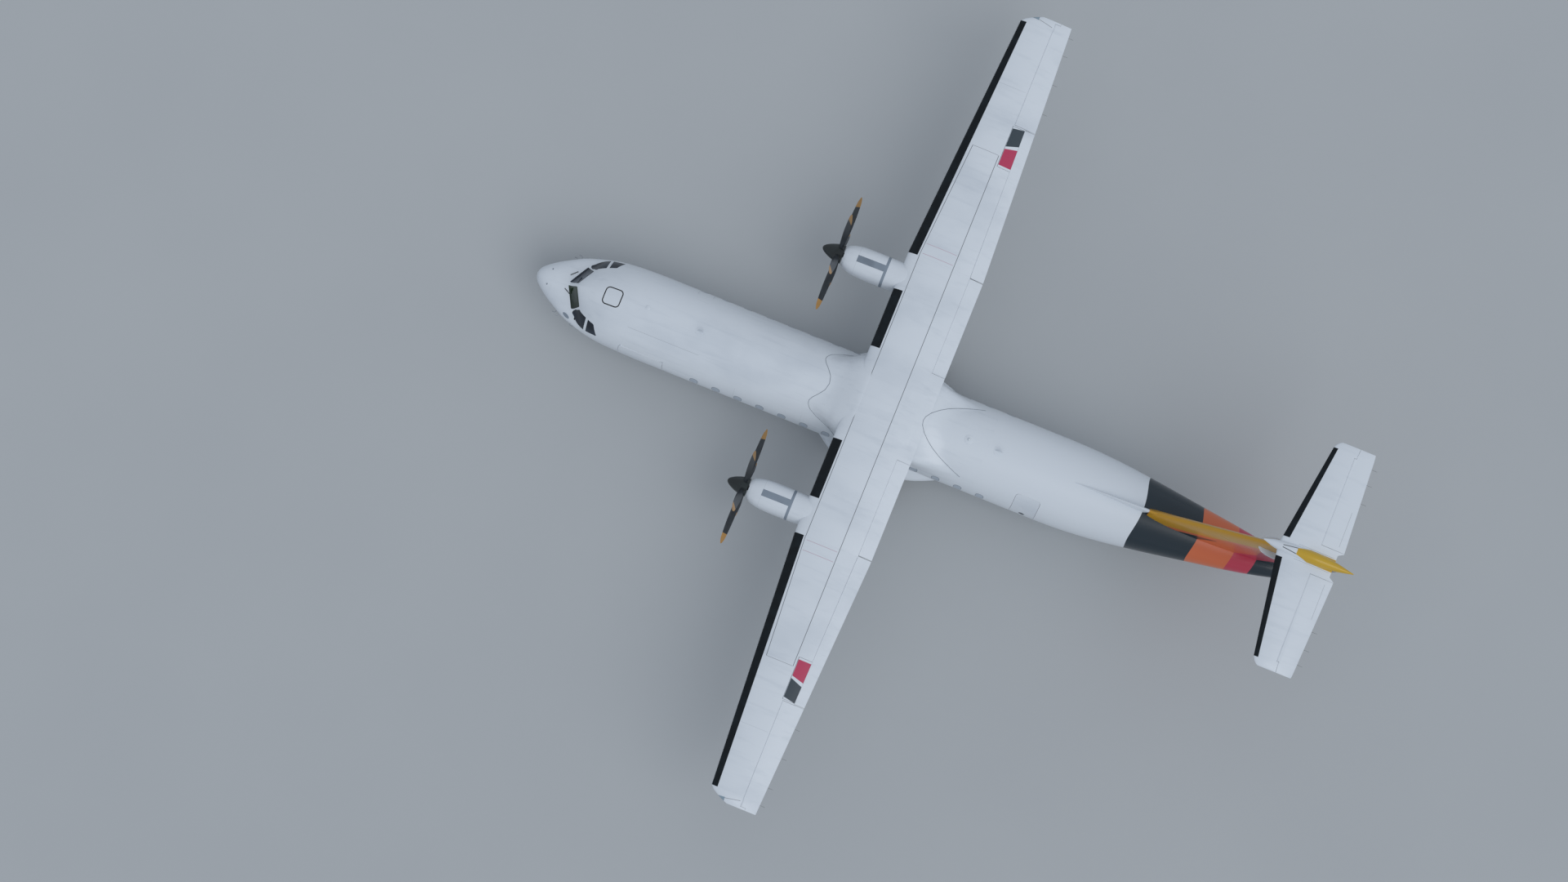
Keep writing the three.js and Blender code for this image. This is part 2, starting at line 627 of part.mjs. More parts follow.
// Where each flap's nose meets the wing: station on the upper and the lower skin.
const FLAP_STATION = 13070;
const FLAP_SWEEP = 0.026;
const BEHIND_WING = 14500;
const flapUpper = (x) => FLAP_STATION - Math.max(0, x - CENTRE_WING_HALF) * FLAP_SWEEP;
function flapLower(x) {
  const share = THREE.MathUtils.clamp((x - CENTRE_WING_HALF) / 5000, 0, 1);
  return flapUpper(x) - mix(255, 200, share);
}
function flapPrism(from, to, forward) {
  const reach = 150;
  const lip = 12;
  return spanPrism([from, to], (x) => {
    const [up, low] = [flapUpper(x), flapLower(x)];
    const [topZ, lowZ] = [wingSkin(x, up, 1), wingSkin(x, low, -1)];
    const slope = (up - low) / (topZ - lowZ);
    const front = up - forward + slope * lip;
    return [[low - forward - slope * reach, lowZ - reach], [BEHIND_WING, lowZ - reach],
      [BEHIND_WING, topZ + reach], [front, topZ + reach], [front, topZ + lip]];
  });
}

// Flap hinges lie under the wing: their arms turn in forked fairings.
const INNER_FLAP = {
  from: 1500,
  to: 4770,
  hinge: hingeLine([1500, at(12880), 3105], [4770, at(12880), 3105]),
  arms: [2100, 3150],
};
const OUTER_FLAP = {
  from: 4805,
  to: 9860,
  hinge: hingeLine([4805, at(12885), 3120], [9860, at(12690), 3120 + 5055 * Math.tan(DIHEDRAL)]),
  arms: [5900, 8600],
};
const FAIRING_HALF = 38;
const FORK_HALF = 19;
const ARM_HALF = 12;
const ARM_EYE = 30;

// Side outlines of [aft, up] about a flap's hinge: the fairing, the slot in it and the flap's arm.
const FLAP_FAIRING = [[-760, 190], [-420, 20], [-60, -52], [38, -46], [52, 0],
  [40, 62], [-112, 96], [-112, 260], [-700, 300]];
const FLAP_FORK = [[-62, -80], [90, -80], [90, 140], [-62, 140]];
const FLAP_ARM = [[-14, -18], [18, -18], [260, 212], [300, 290], [110, 290], [40, 170]];

// Outline in a flap hinge's own frame, pushed a half width each way along the hinge.
function hingePlate(line, place, half, outline) {
  const matrix = line.matrix.clone().multiply(basis([0, 1, 0], [0, 0, 1], [1, 0, 0], [place - half, 0, 0]));
  return plate(outline, 2 * half, matrix);
}

function flapGear(flap) {
  const gear = { fairings: [], forks: [], arms: [] };
  for (const x of flap.arms) {
    const place = ((x - flap.from) / (flap.to - flap.from)) * flap.hinge.length;
    const eyeHalf = FORK_HALF - SEAT_GAP;
    gear.fairings.push(hingePlate(flap.hinge, place, FAIRING_HALF, FLAP_FAIRING));
    gear.forks.push(hingePlate(flap.hinge, place, FORK_HALF, FLAP_FORK));
    gear.arms.push(join(
      hingePlate(flap.hinge, place, ARM_HALF, FLAP_ARM),
      barrel(flap.hinge, place - eyeHalf, place + eyeHalf, ARM_EYE, ARM_EYE, PIN_SIDES),
    ));
  }
  return gear;
}

const innerGear = flapGear(INNER_FLAP);
const outerGear = flapGear(OUTER_FLAP);

const centreHalf = wing([0, CENTRE_WING_HALF - SEAT_GAP]);
const bothCentre = wing([-CENTRE_WING_HALF + SEAT_GAP, CENTRE_WING_HALF - SEAT_GAP]);
const centreCuts = [flapPrism(INNER_FLAP.from - 8, CENTRE_WING_HALF + 20, 9)];
const wingCentre = (() => {
  const bare = cut(bothCentre, ...centreCuts, ...centreCuts.map(mirrored));
  const { fairings, forks } = innerGear;
  return cut(join(bare, ...fairings, ...fairings.map(mirrored)), ...forks, ...forks.map(mirrored));
})();

// A flap: the wing aft of its slanted nose, with an arm down to each hinge.
function flapOf(flap, whole, gear) {
  const leaf = common(whole, flapPrism(flap.from, flap.to, 0));
  return join(leaf, ...gear.arms);
}
const innerFlap = flapOf(INNER_FLAP, centreHalf, innerGear);
const stretchedOuter = wing([OUTER_FLAP.from - 20, CENTRE_WING_HALF, TIP_START]);
const outerFlap = flapOf(OUTER_FLAP, stretchedOuter, outerGear);

// Aileron, split from the outer wing along a straight hinge at mid thickness. Its nose is as round
// as the skin is thick at each place, with an allowance because the skin is flat between sections.
const SKIN_ALLOWANCE = 10;
const AILERON = { from: 9905, to: 13455, front: 12600, tip: { aft: 135, reach: 80 } };
const aileronMiddle = (x) => (wingSkin(x, AILERON.front, 1) + wingSkin(x, AILERON.front, -1)) / 2;
function aileronZ(x) {
  const [start, end] = [aileronMiddle(AILERON.from), aileronMiddle(TIP_START)];
  return mix(start, end, (x - AILERON.from) / (TIP_START - AILERON.from));
}
const aileronLine = hingeLine([AILERON.from, at(AILERON.front), aileronZ(AILERON.from)],
  [AILERON.to, at(AILERON.front), aileronZ(AILERON.to)]);
const aileronRadii = [AILERON.from, 11500, TIP_START, TIP_CORNER, AILERON.to].map((x) => {
  const heights = [1, -1].map((side) => Math.abs(wingSkin(x, AILERON.front, side) - aileronZ(x)));
  const share = (x - AILERON.from) / (AILERON.to - AILERON.from);
  return { station: share * aileronLine.length, radius: Math.max(...heights) + SKIN_ALLOWANCE };
});

// Spoiler: a thin panel let into the upper skin ahead of the outer flap.
const SPOILER = { from: 8450, to: 9850, front: 12535, back: 12915, depth: 26, hingeDrop: 13, frontGap: 17 };
function spoilerPrism(from, to, margin, above) {
  return spanPrism([from, to], (x) => {
    const front = SPOILER.front - (margin ? SPOILER.frontGap : 0);
    const back = SPOILER.back + (margin ? 200 : 0);
    const under = (station, depth) => wingSkin(x, station, 1) - depth - margin;
    return [[front, under(front, SPOILER.depth)], [back, under(back, SPOILER.depth * 0.5)],
      [back, under(back, -above)], [front, under(front, -above)]];
  });
}
const spoilerHinge = (x) =>
  [x, at(SPOILER.front + 14), wingSkin(x, SPOILER.front, 1) - SPOILER.hingeDrop];
const spoilerLine = hingeLine(spoilerHinge(SPOILER.from), spoilerHinge(SPOILER.to));

const outerWing = wing([CENTRE_WING_HALF + SEAT_GAP, TIP_START, TIP_CORNER, HALF_SPAN]);
const aileronSplit = splitControl(outerWing, aileronLine, aileronRadii, { tip: AILERON.tip });
const SPOILER_PIN = { radius: 9, sides: 8, out: 4, root: 60 };
const spoilerPin = (from, to) =>
  barrel(spoilerLine, from, to, SPOILER_PIN.radius, SPOILER_PIN.radius, SPOILER_PIN.sides);
const spoilerEnd = spoilerLine.length;
const spoiler = join(common(outerWing, spoilerPrism(SPOILER.from, SPOILER.to, 0, 40)),
  spoilerPin(-SPOILER_PIN.out, SPOILER_PIN.root),
  spoilerPin(spoilerEnd - SPOILER_PIN.root, spoilerEnd + SPOILER_PIN.out));
const wingPanel = (() => {
  const flapHole = flapPrism(4700, OUTER_FLAP.to + 30, MOVING_GAP);
  const spoilerHole = spoilerPrism(SPOILER.from - 10, SPOILER.to + 10, MOVING_GAP, 60);
  const clear = SPOILER_PIN.out + SEAT_GAP;
  const pins = [spoilerPin(-SPOILER_PIN.root, -clear), spoilerPin(spoilerEnd + clear, spoilerEnd + 45)];
  const bare = cut(aileronSplit.fixed, flapHole, spoilerHole);
  return cut(join(bare, ...outerGear.fairings, ...pins), ...outerGear.forks);
})();

// Fairing between the wing and the top of the fuselage.
const WING_FAIRING = rows(["station", "half", "top", "middle", "bottom"], [
  [9760, 720, 3190, 2700, 2500],
  [10280, 1190, 3345, 2600, 2400],
  [10680, 1340, 3450, 2520, 2300],
  [10920, 1400, 3520, 2450, 2200],
  [11700, 1425, 3600, 2450, 2200],
  [12700, 1420, 3600, 2450, 2200],
  [13500, 1390, 3480, 2500, 2250],
  [14300, 1290, 3375, 2580, 2400],
  [15100, 1000, 3200, 2700, 2500],
]);
const wingFairing = cut(
  solid(loft(WING_FAIRING.map((row) => ringAt(row.station, { ...row, upper: 2.4 }, FAIRING_SIDES)))),
  fuselage(9500, 15400, SEAT_GAP),
  wing([-2000, 2000], SEAT_GAP),
);

// Nacelles: the cowl in front of the firewall and the tail under the wing.
const NACELLE = rows(["station", "half", "top", "middle", "bottom"], [
  [COWL_FRONT, 290, 3400, 3000, 2580],
  [9150, 375, 3450, 2990, 2480],
  [9600, 485, 3530, 2960, 2340],
  [10050, 497, 3570, 2940, 2290],
  [COWL_END, 490, 3590, 2940, 2290],
  [10920, 472, 3590, 2960, 2330],
  [11500, 455, 3580, 3000, 2450],
  [12100, 390, 3560, 3080, 2690],
  [12780, 70, 3420, 3330, 3180],
]);
function nacelle(from, to, grow = 0) {
  const inner = NACELLE.map((row) => row.station).filter((s) => s > from + 1 && s < to - 1);
  return solid(loft([from, ...inner, to].map((station) => {
    const value = (key) => column(NACELLE, key, station);
    const section = { half: value("half") + grow, top: value("top") + grow, middle: value("middle"),
      bottom: value("bottom") - grow, upper: 2.3, lower: 2.2, centre: ENGINE_X };
    return ringAt(station, section, NACELLE_SIDES);
  })));
}
function engineBlock(from, to, grow = 0) {
  const [w, h, c] = [ENGINE_HALF_WIDTH + grow, ENGINE_HALF_HEIGHT + grow, ENGINE_CHAMFER];
  const corners = [[-w, -h + c], [-w + c, -h], [w - c, -h], [w, -h + c]];
  const outline = [...corners, ...corners.map(([x, z]) => [-x, -z])];
  const matrix = basis([-1, 0, 0], [0, 0, 1], [0, 1, 0], [ENGINE_X, at(from), ENGINE_Z]);
  return plate(outline, to - from, matrix);
}
const COWL_WALL = 25;
const INTAKE = { half: 190, low: 2600, high: 2700, depth: 180 };
const intakeSection = { half: INTAKE.half, top: INTAKE.high, middle: (INTAKE.low + INTAKE.high) / 2,
  bottom: INTAKE.low, upper: 3, lower: 3, centre: ENGINE_X };
const intake = solid(loft([COWL_FRONT - 20, COWL_FRONT + INTAKE.depth].map((station) =>
  ringAt(station, intakeSection, 16))));
const cowl = cut(nacelle(COWL_FRONT, COWL_END - SEAT_GAP),
  nacelle(ENGINE_FRONT - 40, COWL_END + 10, -COWL_WALL), intake);
const EXHAUST = { x: ENGINE_X + 470, z: 2860, from: 10960, to: 11420, radius: 105, wall: 12 };
const exhaustRod = (grow) => rod([EXHAUST.x - 15, at(EXHAUST.from), EXHAUST.z + 20],
  [EXHAUST.x + 35, at(EXHAUST.to), EXHAUST.z - 20], EXHAUST.radius, { grow });
const exhaust = cut(exhaustRod(0), rod([EXHAUST.x + 10, at(EXHAUST.from) + 230, EXHAUST.z],
  [EXHAUST.x + 37, at(EXHAUST.to) + 20, EXHAUST.z - 22], EXHAUST.radius - EXHAUST.wall));
const nacelleTail = cut(nacelle(COWL_END, 12780), wing([2500, CENTRE_WING_HALF], SEAT_GAP),
  engineBlock(COWL_END - 10, ENGINE_BACK, SEAT_GAP), exhaustRod(SEAT_GAP));
const engine = engineBlock(ENGINE_FRONT, ENGINE_BACK - SEAT_GAP);

// A profile of [radius, distance] turned about an axis along +Y or +X.
function turned(profile, sides, half = 0) {
  const points = profile.map(([r, d]) => new THREE.Vector2(r, d));
  return new THREE.LatheGeometry(points, sides, half * (Math.PI / sides));
}

// Spinner and hub. The profile is the radius at each distance behind the tip.
const SPINNER_LENGTH = SPINNER_BACK - SPINNER_TIP;
const spinnerProfile = [[0, 0], [62, 26], [128, 90], [196, 205], [252, 340], [290, SPINNER_LENGTH],
  [0, SPINNER_LENGTH]];
const spinner = solid(turned(spinnerProfile, NACELLE_SIDES).translate(ENGINE_X, at(SPINNER_TIP), THRUST_Z));
const BLADE = rows(["radius", "chord", "thickness", "pitch"], [
  [240, 120, 100, 66],
  [420, 165, 72, 62],
  [800, 250, 40, 51],
  [1250, 290, 26, 41],
  [1750, 250, 14, 33],
  [PROP_RADIUS, 120, 6, 29],
]);
const BLADE_STATION = 8870;
const BLADE_POINTS = 6;
function blade(index) {
  const rings = BLADE.map((row) => Array.from({ length: BLADE_POINTS }, (_, i) => {
    const angle = (2 * Math.PI * i) / BLADE_POINTS;
    const [along, thick] = [(row.chord / 2) * Math.cos(angle), (row.thickness / 2) * Math.sin(angle)];
    const [c, s] = [Math.cos(degrees(row.pitch)), Math.sin(degrees(row.pitch))];
    return [along * c - thick * s, along * s + thick * c, row.radius];
  }));
  const turn = (2 * Math.PI * index) / BLADE_COUNT + Math.PI / 2;
  return solid(loft(rings).rotateY(turn).translate(0, at(BLADE_STATION), 0));
}
const HUB_LENGTH = HUB_BACK - SPINNER_BACK;
const hubProfile = [[0, 0], [291, 0], [306, 110], [312, HUB_LENGTH], [0, HUB_LENGTH]];
const PROP_SHAFT_RADIUS = 80;
const propeller = (x) => {
  const hub = solid(turned(hubProfile, NACELLE_SIDES).translate(0, at(SPINNER_BACK) + SEAT_GAP, 0));
  const shaft = rod([0, at(HUB_BACK) - 40, 0], [0, at(COWL_FRONT) - SEAT_GAP, 0], PROP_SHAFT_RADIUS);
  const blades = Array.from({ length: BLADE_COUNT }, (_, i) => blade(i));
  const geometry = geometryOf(join(hub, shaft, ...blades));
  return solid(geometry.translate(x, 0, THRUST_Z));
};

// Vertical tail: horizontal sections at each height.
const FIN = rows(["z", "front", "back", "thickness"], [
  [2900, 20575, 26255, 470],
  [3650, 21300, 26368, 400],
  [7300, 24848, 26915, 232],
]);
function finRing(row, grow) {
  const chord = row.back - row.front;
  const ring = sectionRing(row.front - grow, row.back + grow, (station, side) => {
    const fraction = THREE.MathUtils.clamp((station - row.front) / chord, 0, 1);
    const half = halfThickness(fraction, row.thickness / chord) * chord;
    return side * (Math.max(half, EDGE_HALF_THICKNESS) + grow);
  });
  return ring.map(([station, x]) => [x, at(station), row.z]);
}
const finAt = (z) => {
  const i = z < FIN[1].z ? 1 : 2;
  const [a, b] = [FIN[i - 1], FIN[i]];
  const share = (z - a.z) / (b.z - a.z);
  return Object.fromEntries(Object.keys(a).map((key) => [key, mix(a[key], b[key], share)]));
};
const DORSAL = rows(["station", "half", "top"], [
  [18580, 12, 3262],
  [19800, 48, 3420],
  [20800, 82, 3560],
  [21700, 105, 3760],
]);
const dorsal = solid(loft(DORSAL.map((row) =>
  ringAt(row.station, { ...row, middle: 3150, bottom: 3080 }, 16))));

// Tailplane with the bullet fairing where it crosses the fin.
const TAILPLANE = rows(["x", "front", "back", "thickness"], [
  [0, 24720, 26722, 240],
  [3440, 25245, 26548, 158],
  [TAILPLANE_HALF_SPAN, 25450, 26520, 40],
]);
const BULLET = rows(["station", "half", "top", "middle", "bottom"], [
  [24260, 18, 7392, 7370, 7350],
  [24600, 120, 7490, 7360, 7190],
  [25200, 205, 7600, 7350, 7120],
  [25900, 215, 7650, 7355, 7105],
  [26500, 150, 7590, 7380, 7180],
  [LENGTH, 14, 7425, 7400, 7378],
]);
// Between the elevators the trailing edge is set back beside the bullet, as [x, station].
const TAIL_NOTCH = [[-470, 26720], [-355, 26530], [355, 26530], [470, 26720], [470, 26900], [-470, 26900]];
function tailplaneHalfRing(row, side, grow) {
  const chord = row.back - row.front;
  const ring = sectionRing(row.front - grow, row.back + grow, (station, skin) => {
    const fraction = THREE.MathUtils.clamp((station - row.front) / chord, 0, 1);
    const half = Math.max(halfThickness(fraction, row.thickness / chord) * chord, EDGE_HALF_THICKNESS);
    return TAILPLANE_Z + skin * (half + grow);
  });
  return ring.map(([station, z]) => [side * row.x, at(station), z]);
}
function tailplane(grow = 0) {
  const outward = [...TAILPLANE].reverse().map((row) => tailplaneHalfRing(row, -1, grow));
  const rings = [...outward, ...TAILPLANE.slice(1).map((row) => tailplaneHalfRing(row, 1, grow))];
  const bullet = BULLET.map((row) => ringAt(row.station,
    { ...row, half: row.half + grow, top: row.top + grow, bottom: row.bottom - grow }, 20));
  const notch = plate(toPlan(TAIL_NOTCH), 400, seenFromAbove(TAILPLANE_Z - 200));
  return join(cut(solid(loft(rings)), notch), solid(loft(bullet)));
}
const tailplaneAt = (x) => {
  const [a, b] = [TAILPLANE[0], TAILPLANE[1]];
  return Object.fromEntries(Object.keys(a).map((key) => [key, mix(a[key], b[key], x / b.x)]));
};
const ELEVATOR = { from: 470, to: 3330, front: 25965, tip: { aft: 70, reach: 400 } };
const elevatorHalf = (x) => {
  const row = tailplaneAt(x);
  const chord = row.back - row.front;
  return halfThickness((ELEVATOR.front - row.front) / chord, row.thickness / chord) * chord;
};
const elevatorLine = hingeLine([ELEVATOR.from, at(ELEVATOR.front), TAILPLANE_Z],
  [ELEVATOR.to, at(ELEVATOR.front), TAILPLANE_Z]);
const tail = splitControl(tailplane(), elevatorLine, [
  { station: 0, radius: elevatorHalf(ELEVATOR.from) },
  { station: elevatorLine.length, radius: elevatorHalf(ELEVATOR.to) },
], { tip: ELEVATOR.tip, bothSides: true });

// Rudder, split from the fin along a raked hinge.
const RUDDER = { low: { station: 25090, z: 3480 }, high: { station: 25900, z: 6985 } };
const finHalf = (place) => {
  const row = finAt(place.z);
  const chord = row.back - row.front;
  return halfThickness((place.station - row.front) / chord, row.thickness / chord) * chord;
};
const TAIL_END = 26300;
const rudderLine = hingeLine([0, at(RUDDER.low.station), RUDDER.low.z],
  [0, at(RUDDER.high.station), RUDDER.high.z]);
const finBlank = cut(join(solid(loft(FIN.map((row) => finRing(row, 0)))), dorsal),
  fuselage(18000, TAIL_END, SEAT_GAP), tailplane(SEAT_GAP));
const finSplit = splitControl(finBlank, rudderLine, [
  { station: 0, radius: finHalf(RUDDER.low) },
  { station: rudderLine.length, radius: finHalf(RUDDER.high) },
]);

// Wheels. A tyre's flats, not its corners, touch the floor.
function tyre(radius, width, rim, x, station) {
  const outer = radius / Math.cos(Math.PI / TYRE_SIDES);
  const wall = outer - rim;
  const half = width / 2;
  const profile = [[rim, -0.75 * half], [rim + 0.5 * wall, -half], [outer, -0.6 * half],
    [outer, 0.6 * half], [rim + 0.5 * wall, half], [rim, 0.75 * half], [rim, -0.75 * half]];
  const geometry = turned(profile, TYRE_SIDES, 1).rotateZ(-Math.PI / 2);
  return solid(geometry.translate(x, at(station), radius));
}

// Two rims on one sleeve. The sleeve runs in the leg's eye, between the rims.
function wheelHub({ radius, width, rim, offset, sleeve, eyeHalf }, x, station) {
  const face = 0.36 * width;
  const dish = offset + face * 0.3;
  const shoulder = eyeHalf + SEAT_GAP;
  const seat = (rim - SEAT_GAP) * (Math.cos(Math.PI / TYRE_SIDES));
  const wheel = [[sleeve, shoulder], [sleeve * 1.6, shoulder], [sleeve * 1.6, offset - face],
    [seat, offset - face], [seat, offset + face], [seat * 0.8, dish],
    [sleeve * 1.3, dish], [sleeve * 1.2, offset + face], [0, offset + face]];
  const profile = [...wheel.map(([r, d]) => [r, -d]).reverse(), ...wheel];
  const geometry = turned(profile, HUB_SIDES).rotateZ(-Math.PI / 2);
  return solid(geometry.translate(x, at(station), radius));
}
const MAIN_WHEEL = { radius: MAIN_TYRE_RADIUS, width: MAIN_TYRE_WIDTH, rim: MAIN_RIM_RADIUS,
  offset: MAIN_TWIN_OFFSET, sleeve: 50, eyeHalf: 62 };
const NOSE_WHEEL = { radius: NOSE_TYRE_RADIUS, width: NOSE_TYRE_WIDTH, rim: NOSE_RIM_RADIUS,
  offset: NOSE_TWIN_OFFSET, sleeve: 26, eyeHalf: 45 };
const tyreAt = (wheel, x, station) => tyre(wheel.radius, wheel.width, wheel.rim, x, station);

// The eye that a wheel's sleeve turns in.
const EYE_CLEARANCE = 4;
function eye(wheel, x, station, outer) {
  const [y, z] = [at(station), wheel.radius];
  const along = (half, radius) => rod([x - half, y, z], [x + half, y, z], radius, { sides: HUB_SIDES });
  const bore = along(wheel.eyeHalf + 40, wheel.sleeve + EYE_CLEARANCE);
  return { body: along(wheel.eyeHalf, outer), bore };
}

// The trailing arm is no wider than its eye where the wheels turn beside it.
const WHEEL_ROOM = { wide: 200, along: 180, low: 150, high: 700 };
const wheelRooms = [-MAIN_WHEEL.eyeHalf - WHEEL_ROOM.wide, MAIN_WHEEL.eyeHalf].map((from) => {
  const [x, y] = [MAIN_AXLE_X + from, at(MAIN_AXLE_STATION)];
  return block([x, y - WHEEL_ROOM.along, WHEEL_ROOM.low],
    [x + WHEEL_ROOM.wide, y + WHEEL_ROOM.along, WHEEL_ROOM.high]);
});
const mainEye = eye(MAIN_WHEEL, MAIN_AXLE_X, MAIN_AXLE_STATION, 96);
const mainLeg = cut(join(mainEye.body, ...mainLegParts(0)), mainEye.bore, ...wheelRooms);
const noseEye = eye(NOSE_WHEEL, 0, NOSE_AXLE_STATION, 56);
const noseUpright = (low, high, radius) =>
  rod([0, at(NOSE_AXLE_STATION), low], [0, at(NOSE_AXLE_STATION), high], radius);
const noseFork = cut(join(noseEye.body, noseUpright(NOSE_TYRE_RADIUS, 600, 40),
  noseUpright(540, NOSE_LEG.foot - SEAT_GAP, 70)), noseEye.bore);
const noseLeg = join(...noseLegParts(0));

// Nose-gear doors hang from the edges of the bay.
const NOSE_DOOR = { inner: 262, thickness: 14, from: 1830, to: 2560, bottom: 500 };
const noseDoor = cut(block([NOSE_DOOR.inner, at(NOSE_DOOR.from), NOSE_DOOR.bottom],
  [NOSE_DOOR.inner + NOSE_DOOR.thickness, at(NOSE_DOOR.to), 1000]), fuselage(RADOME_END, 4000, SEAT_GAP));

const rearShell = cut(fuselage(CENTRE_END + SEAT_GAP, TAIL_END), passengerHinge.frameCut,
  doorPocket(DOORS.passenger, DOOR_THICKNESS + DOOR_GAP), cornerRoom(DOORS.passenger, PASSENGER_HINGE));
const fuselageRear = cut(
  join(rearShell, ...passengerHinge.lugs),
  doorBay(DOORS.passenger, VESTIBULE_DEPTH),
  doorPocket(DOORS.service, HATCH_DOOR_THICKNESS + SEAT_GAP, HATCH_DOOR_GAP),
);

// Finishes.
const finish = (color, roughness, metalness = 0) =>
  new THREE.MeshStandardMaterial({ color, roughness, metalness });
const white = finish(0xe6ebf0, 0.35);
const grey = finish(0x8d979e, 0.45);
const dark = finish(0x1b2024, 0.4);
const glass = finish(0x10201f, 0.12);
const yellow = finish(0xe3b62c, 0.35);
const crimson = finish(0xb5203a, 0.35);
const steel = finish(0x9aa0a5, 0.35, 0.9);
const rubber = finish(0x17181a, 0.85);
const engineGrey = finish(0x6c7072, 0.5, 0.8);

const aircraft = new THREE.Group();
function add(name, body, material) {
  const mesh = new THREE.Mesh(geometryOf(body), material);
  mesh.name = name;
  aircraft.add(mesh);
}
function addPair(name, body, material) {
  add(`${name}_left`, body, material);
  add(`${name}_right`, mirrored(body), material);
}

add("radome", fuselage(0, RADOME_END), white);
add("nose_section", noseSection, white);
add("fuselage_centre", fuselageCentre, white);
add("fuselage_rear", fuselageRear, white);
addPair("windshield", common(paneLayer, windscreenPrism(1, 0)), glass);
addPair("side_window", common(paneLayer, sideGlassPrism(1, 0)), glass);
add("roof_hatch", common(skinLayer(HATCH_FROM, GLASS_TO, HATCH_THICKNESS), hatchPrism(0)), white);
add("cargo_door", cargoDoor, white);
add("passenger_door", passengerDoor, white);
add("service_door", doorLeaf(DOORS.service, HATCH_DOOR_THICKNESS), white);
add("emergency_exit", doorLeaf(DOORS.exit, HATCH_DOOR_THICKNESS), white);
add("belly_fairing", bellyFairing, white);
add("wing_fairing", wingFairing, white);
add("wing_centre", wingCentre, white);
addPair("wing", wingPanel, white);
addPair("flap_inner", innerFlap, white);
addPair("flap_outer", outerFlap, white);
addPair("aileron", aileronSplit.moving, white);
addPair("spoiler", spoiler, crimson);
addPair("nacelle_cowl", cowl, white);
addPair("nacelle_tail", nacelleTail, white);
addPair("engine", engine, engineGrey);
addPair("exhaust", exhaust, steel);
add("propeller_left", propeller(ENGINE_X), dark);
add("propeller_right", propeller(-ENGINE_X), dark);
addPair("spinner", spinner, dark);
add("fin", finSplit.fixed, yellow);
add("rudder", finSplit.moving, crimson);
add("tailplane", tail.fixed, white);
addPair("elevator", tail.moving, white);
add("nose_leg", noseLeg, steel);
add("nose_fork", noseFork, steel);
add("nose_hub", wheelHub(NOSE_WHEEL, 0, NOSE_AXLE_STATION), grey);
addPair("nose_tyre", tyreAt(NOSE_WHEEL, NOSE_TWIN_OFFSET, NOSE_AXLE_STATION), rubber);
addPair("main_leg", mainLeg, steel);
addPair("main_hub", wheelHub(MAIN_WHEEL, MAIN_AXLE_X, MAIN_AXLE_STATION), grey);
for (const [name, across] of [["inner", -MAIN_TWIN_OFFSET], ["outer", MAIN_TWIN_OFFSET]]) {
  addPair(`main_tyre_${name}`, tyreAt(MAIN_WHEEL, MAIN_AXLE_X + across, MAIN_AXLE_STATION), rubber);
}
addPair("nose_gear_door", noseDoor, white);

export default aircraft;
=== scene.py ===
"""Looks of a parked twin-turboprop airliner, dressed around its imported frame.

Metres throughout: +X is the port side, +Y is aft, +Z is up and the floor is at Z 0. A station is the
distance aft of the nose tip. Each sub-assembly is a class that holds its sizes, builds its meshes and
dresses them, and each finish is a frozen dataclass that builds its own node material.
"""

import logging
import math
from collections.abc import Callable, Sequence
from dataclasses import dataclass, field
from enum import Enum
from functools import reduce
from itertools import product

import bmesh
import bpy
import numpy as np
from mathutils import Matrix, Vector


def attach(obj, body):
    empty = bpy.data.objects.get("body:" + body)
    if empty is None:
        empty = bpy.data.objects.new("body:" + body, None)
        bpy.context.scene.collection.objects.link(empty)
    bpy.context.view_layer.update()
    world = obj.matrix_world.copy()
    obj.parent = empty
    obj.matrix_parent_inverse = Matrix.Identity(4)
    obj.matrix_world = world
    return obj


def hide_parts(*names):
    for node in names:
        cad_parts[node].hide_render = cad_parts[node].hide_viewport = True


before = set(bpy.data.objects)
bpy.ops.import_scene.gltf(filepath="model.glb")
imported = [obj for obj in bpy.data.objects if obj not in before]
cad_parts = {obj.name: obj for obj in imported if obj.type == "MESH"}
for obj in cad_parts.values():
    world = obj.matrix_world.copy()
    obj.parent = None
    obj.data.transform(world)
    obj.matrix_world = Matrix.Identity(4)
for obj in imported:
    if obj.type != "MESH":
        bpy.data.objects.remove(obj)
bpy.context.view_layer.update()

log = logging.getLogger("airliner")
logging.basicConfig(level=logging.INFO, format="%(name)s: %(message)s")

Point = Sequence[float]
Outline = Sequence[tuple[float, float]]
Span = tuple[float, float]
Material = bpy.types.Material
Socket = bpy.types.NodeSocket
Tree = bpy.types.NodeTree

LENGTH = 27.166
HALF_SPAN = 13.525
HULL_HALF = 1.4325  # half width of the hull's straight part
HULL_MIDDLE = 1.82  # height where that part is widest
NACELLE_X = 4.05
COWL_FRONT = 9.05
PROPELLER_Z = 3.065
SEAT_GAP = 0.0003  # room between parts that are fixed together
MOVING_GAP = 0.009  # room around a control surface
FAR = 3.0  # past the end of anything that is cut
SKIN_DEPTH = 0.004  # how far a strip on the skin reaches into it
BOOT_RISE = 0.0025


class Side(Enum):
    """The two sides of the aircraft, with the sign of their X."""

    PORT = ("left", 1)
    STARBOARD = ("right", -1)

    @property
    def word(self) -> str:
        """The side's ending in node names."""
        return self.value[0]

    @property
    def sign(self) -> int:
        """The sign of the side's X."""
        return self.value[1]


def at(station: float) -> float:
    """Row-frame Y of a station."""
    return station - LENGTH / 2


def mix(first: float, second: float, share: float) -> float:
    """A value between two others."""
    return first + (second - first) * share


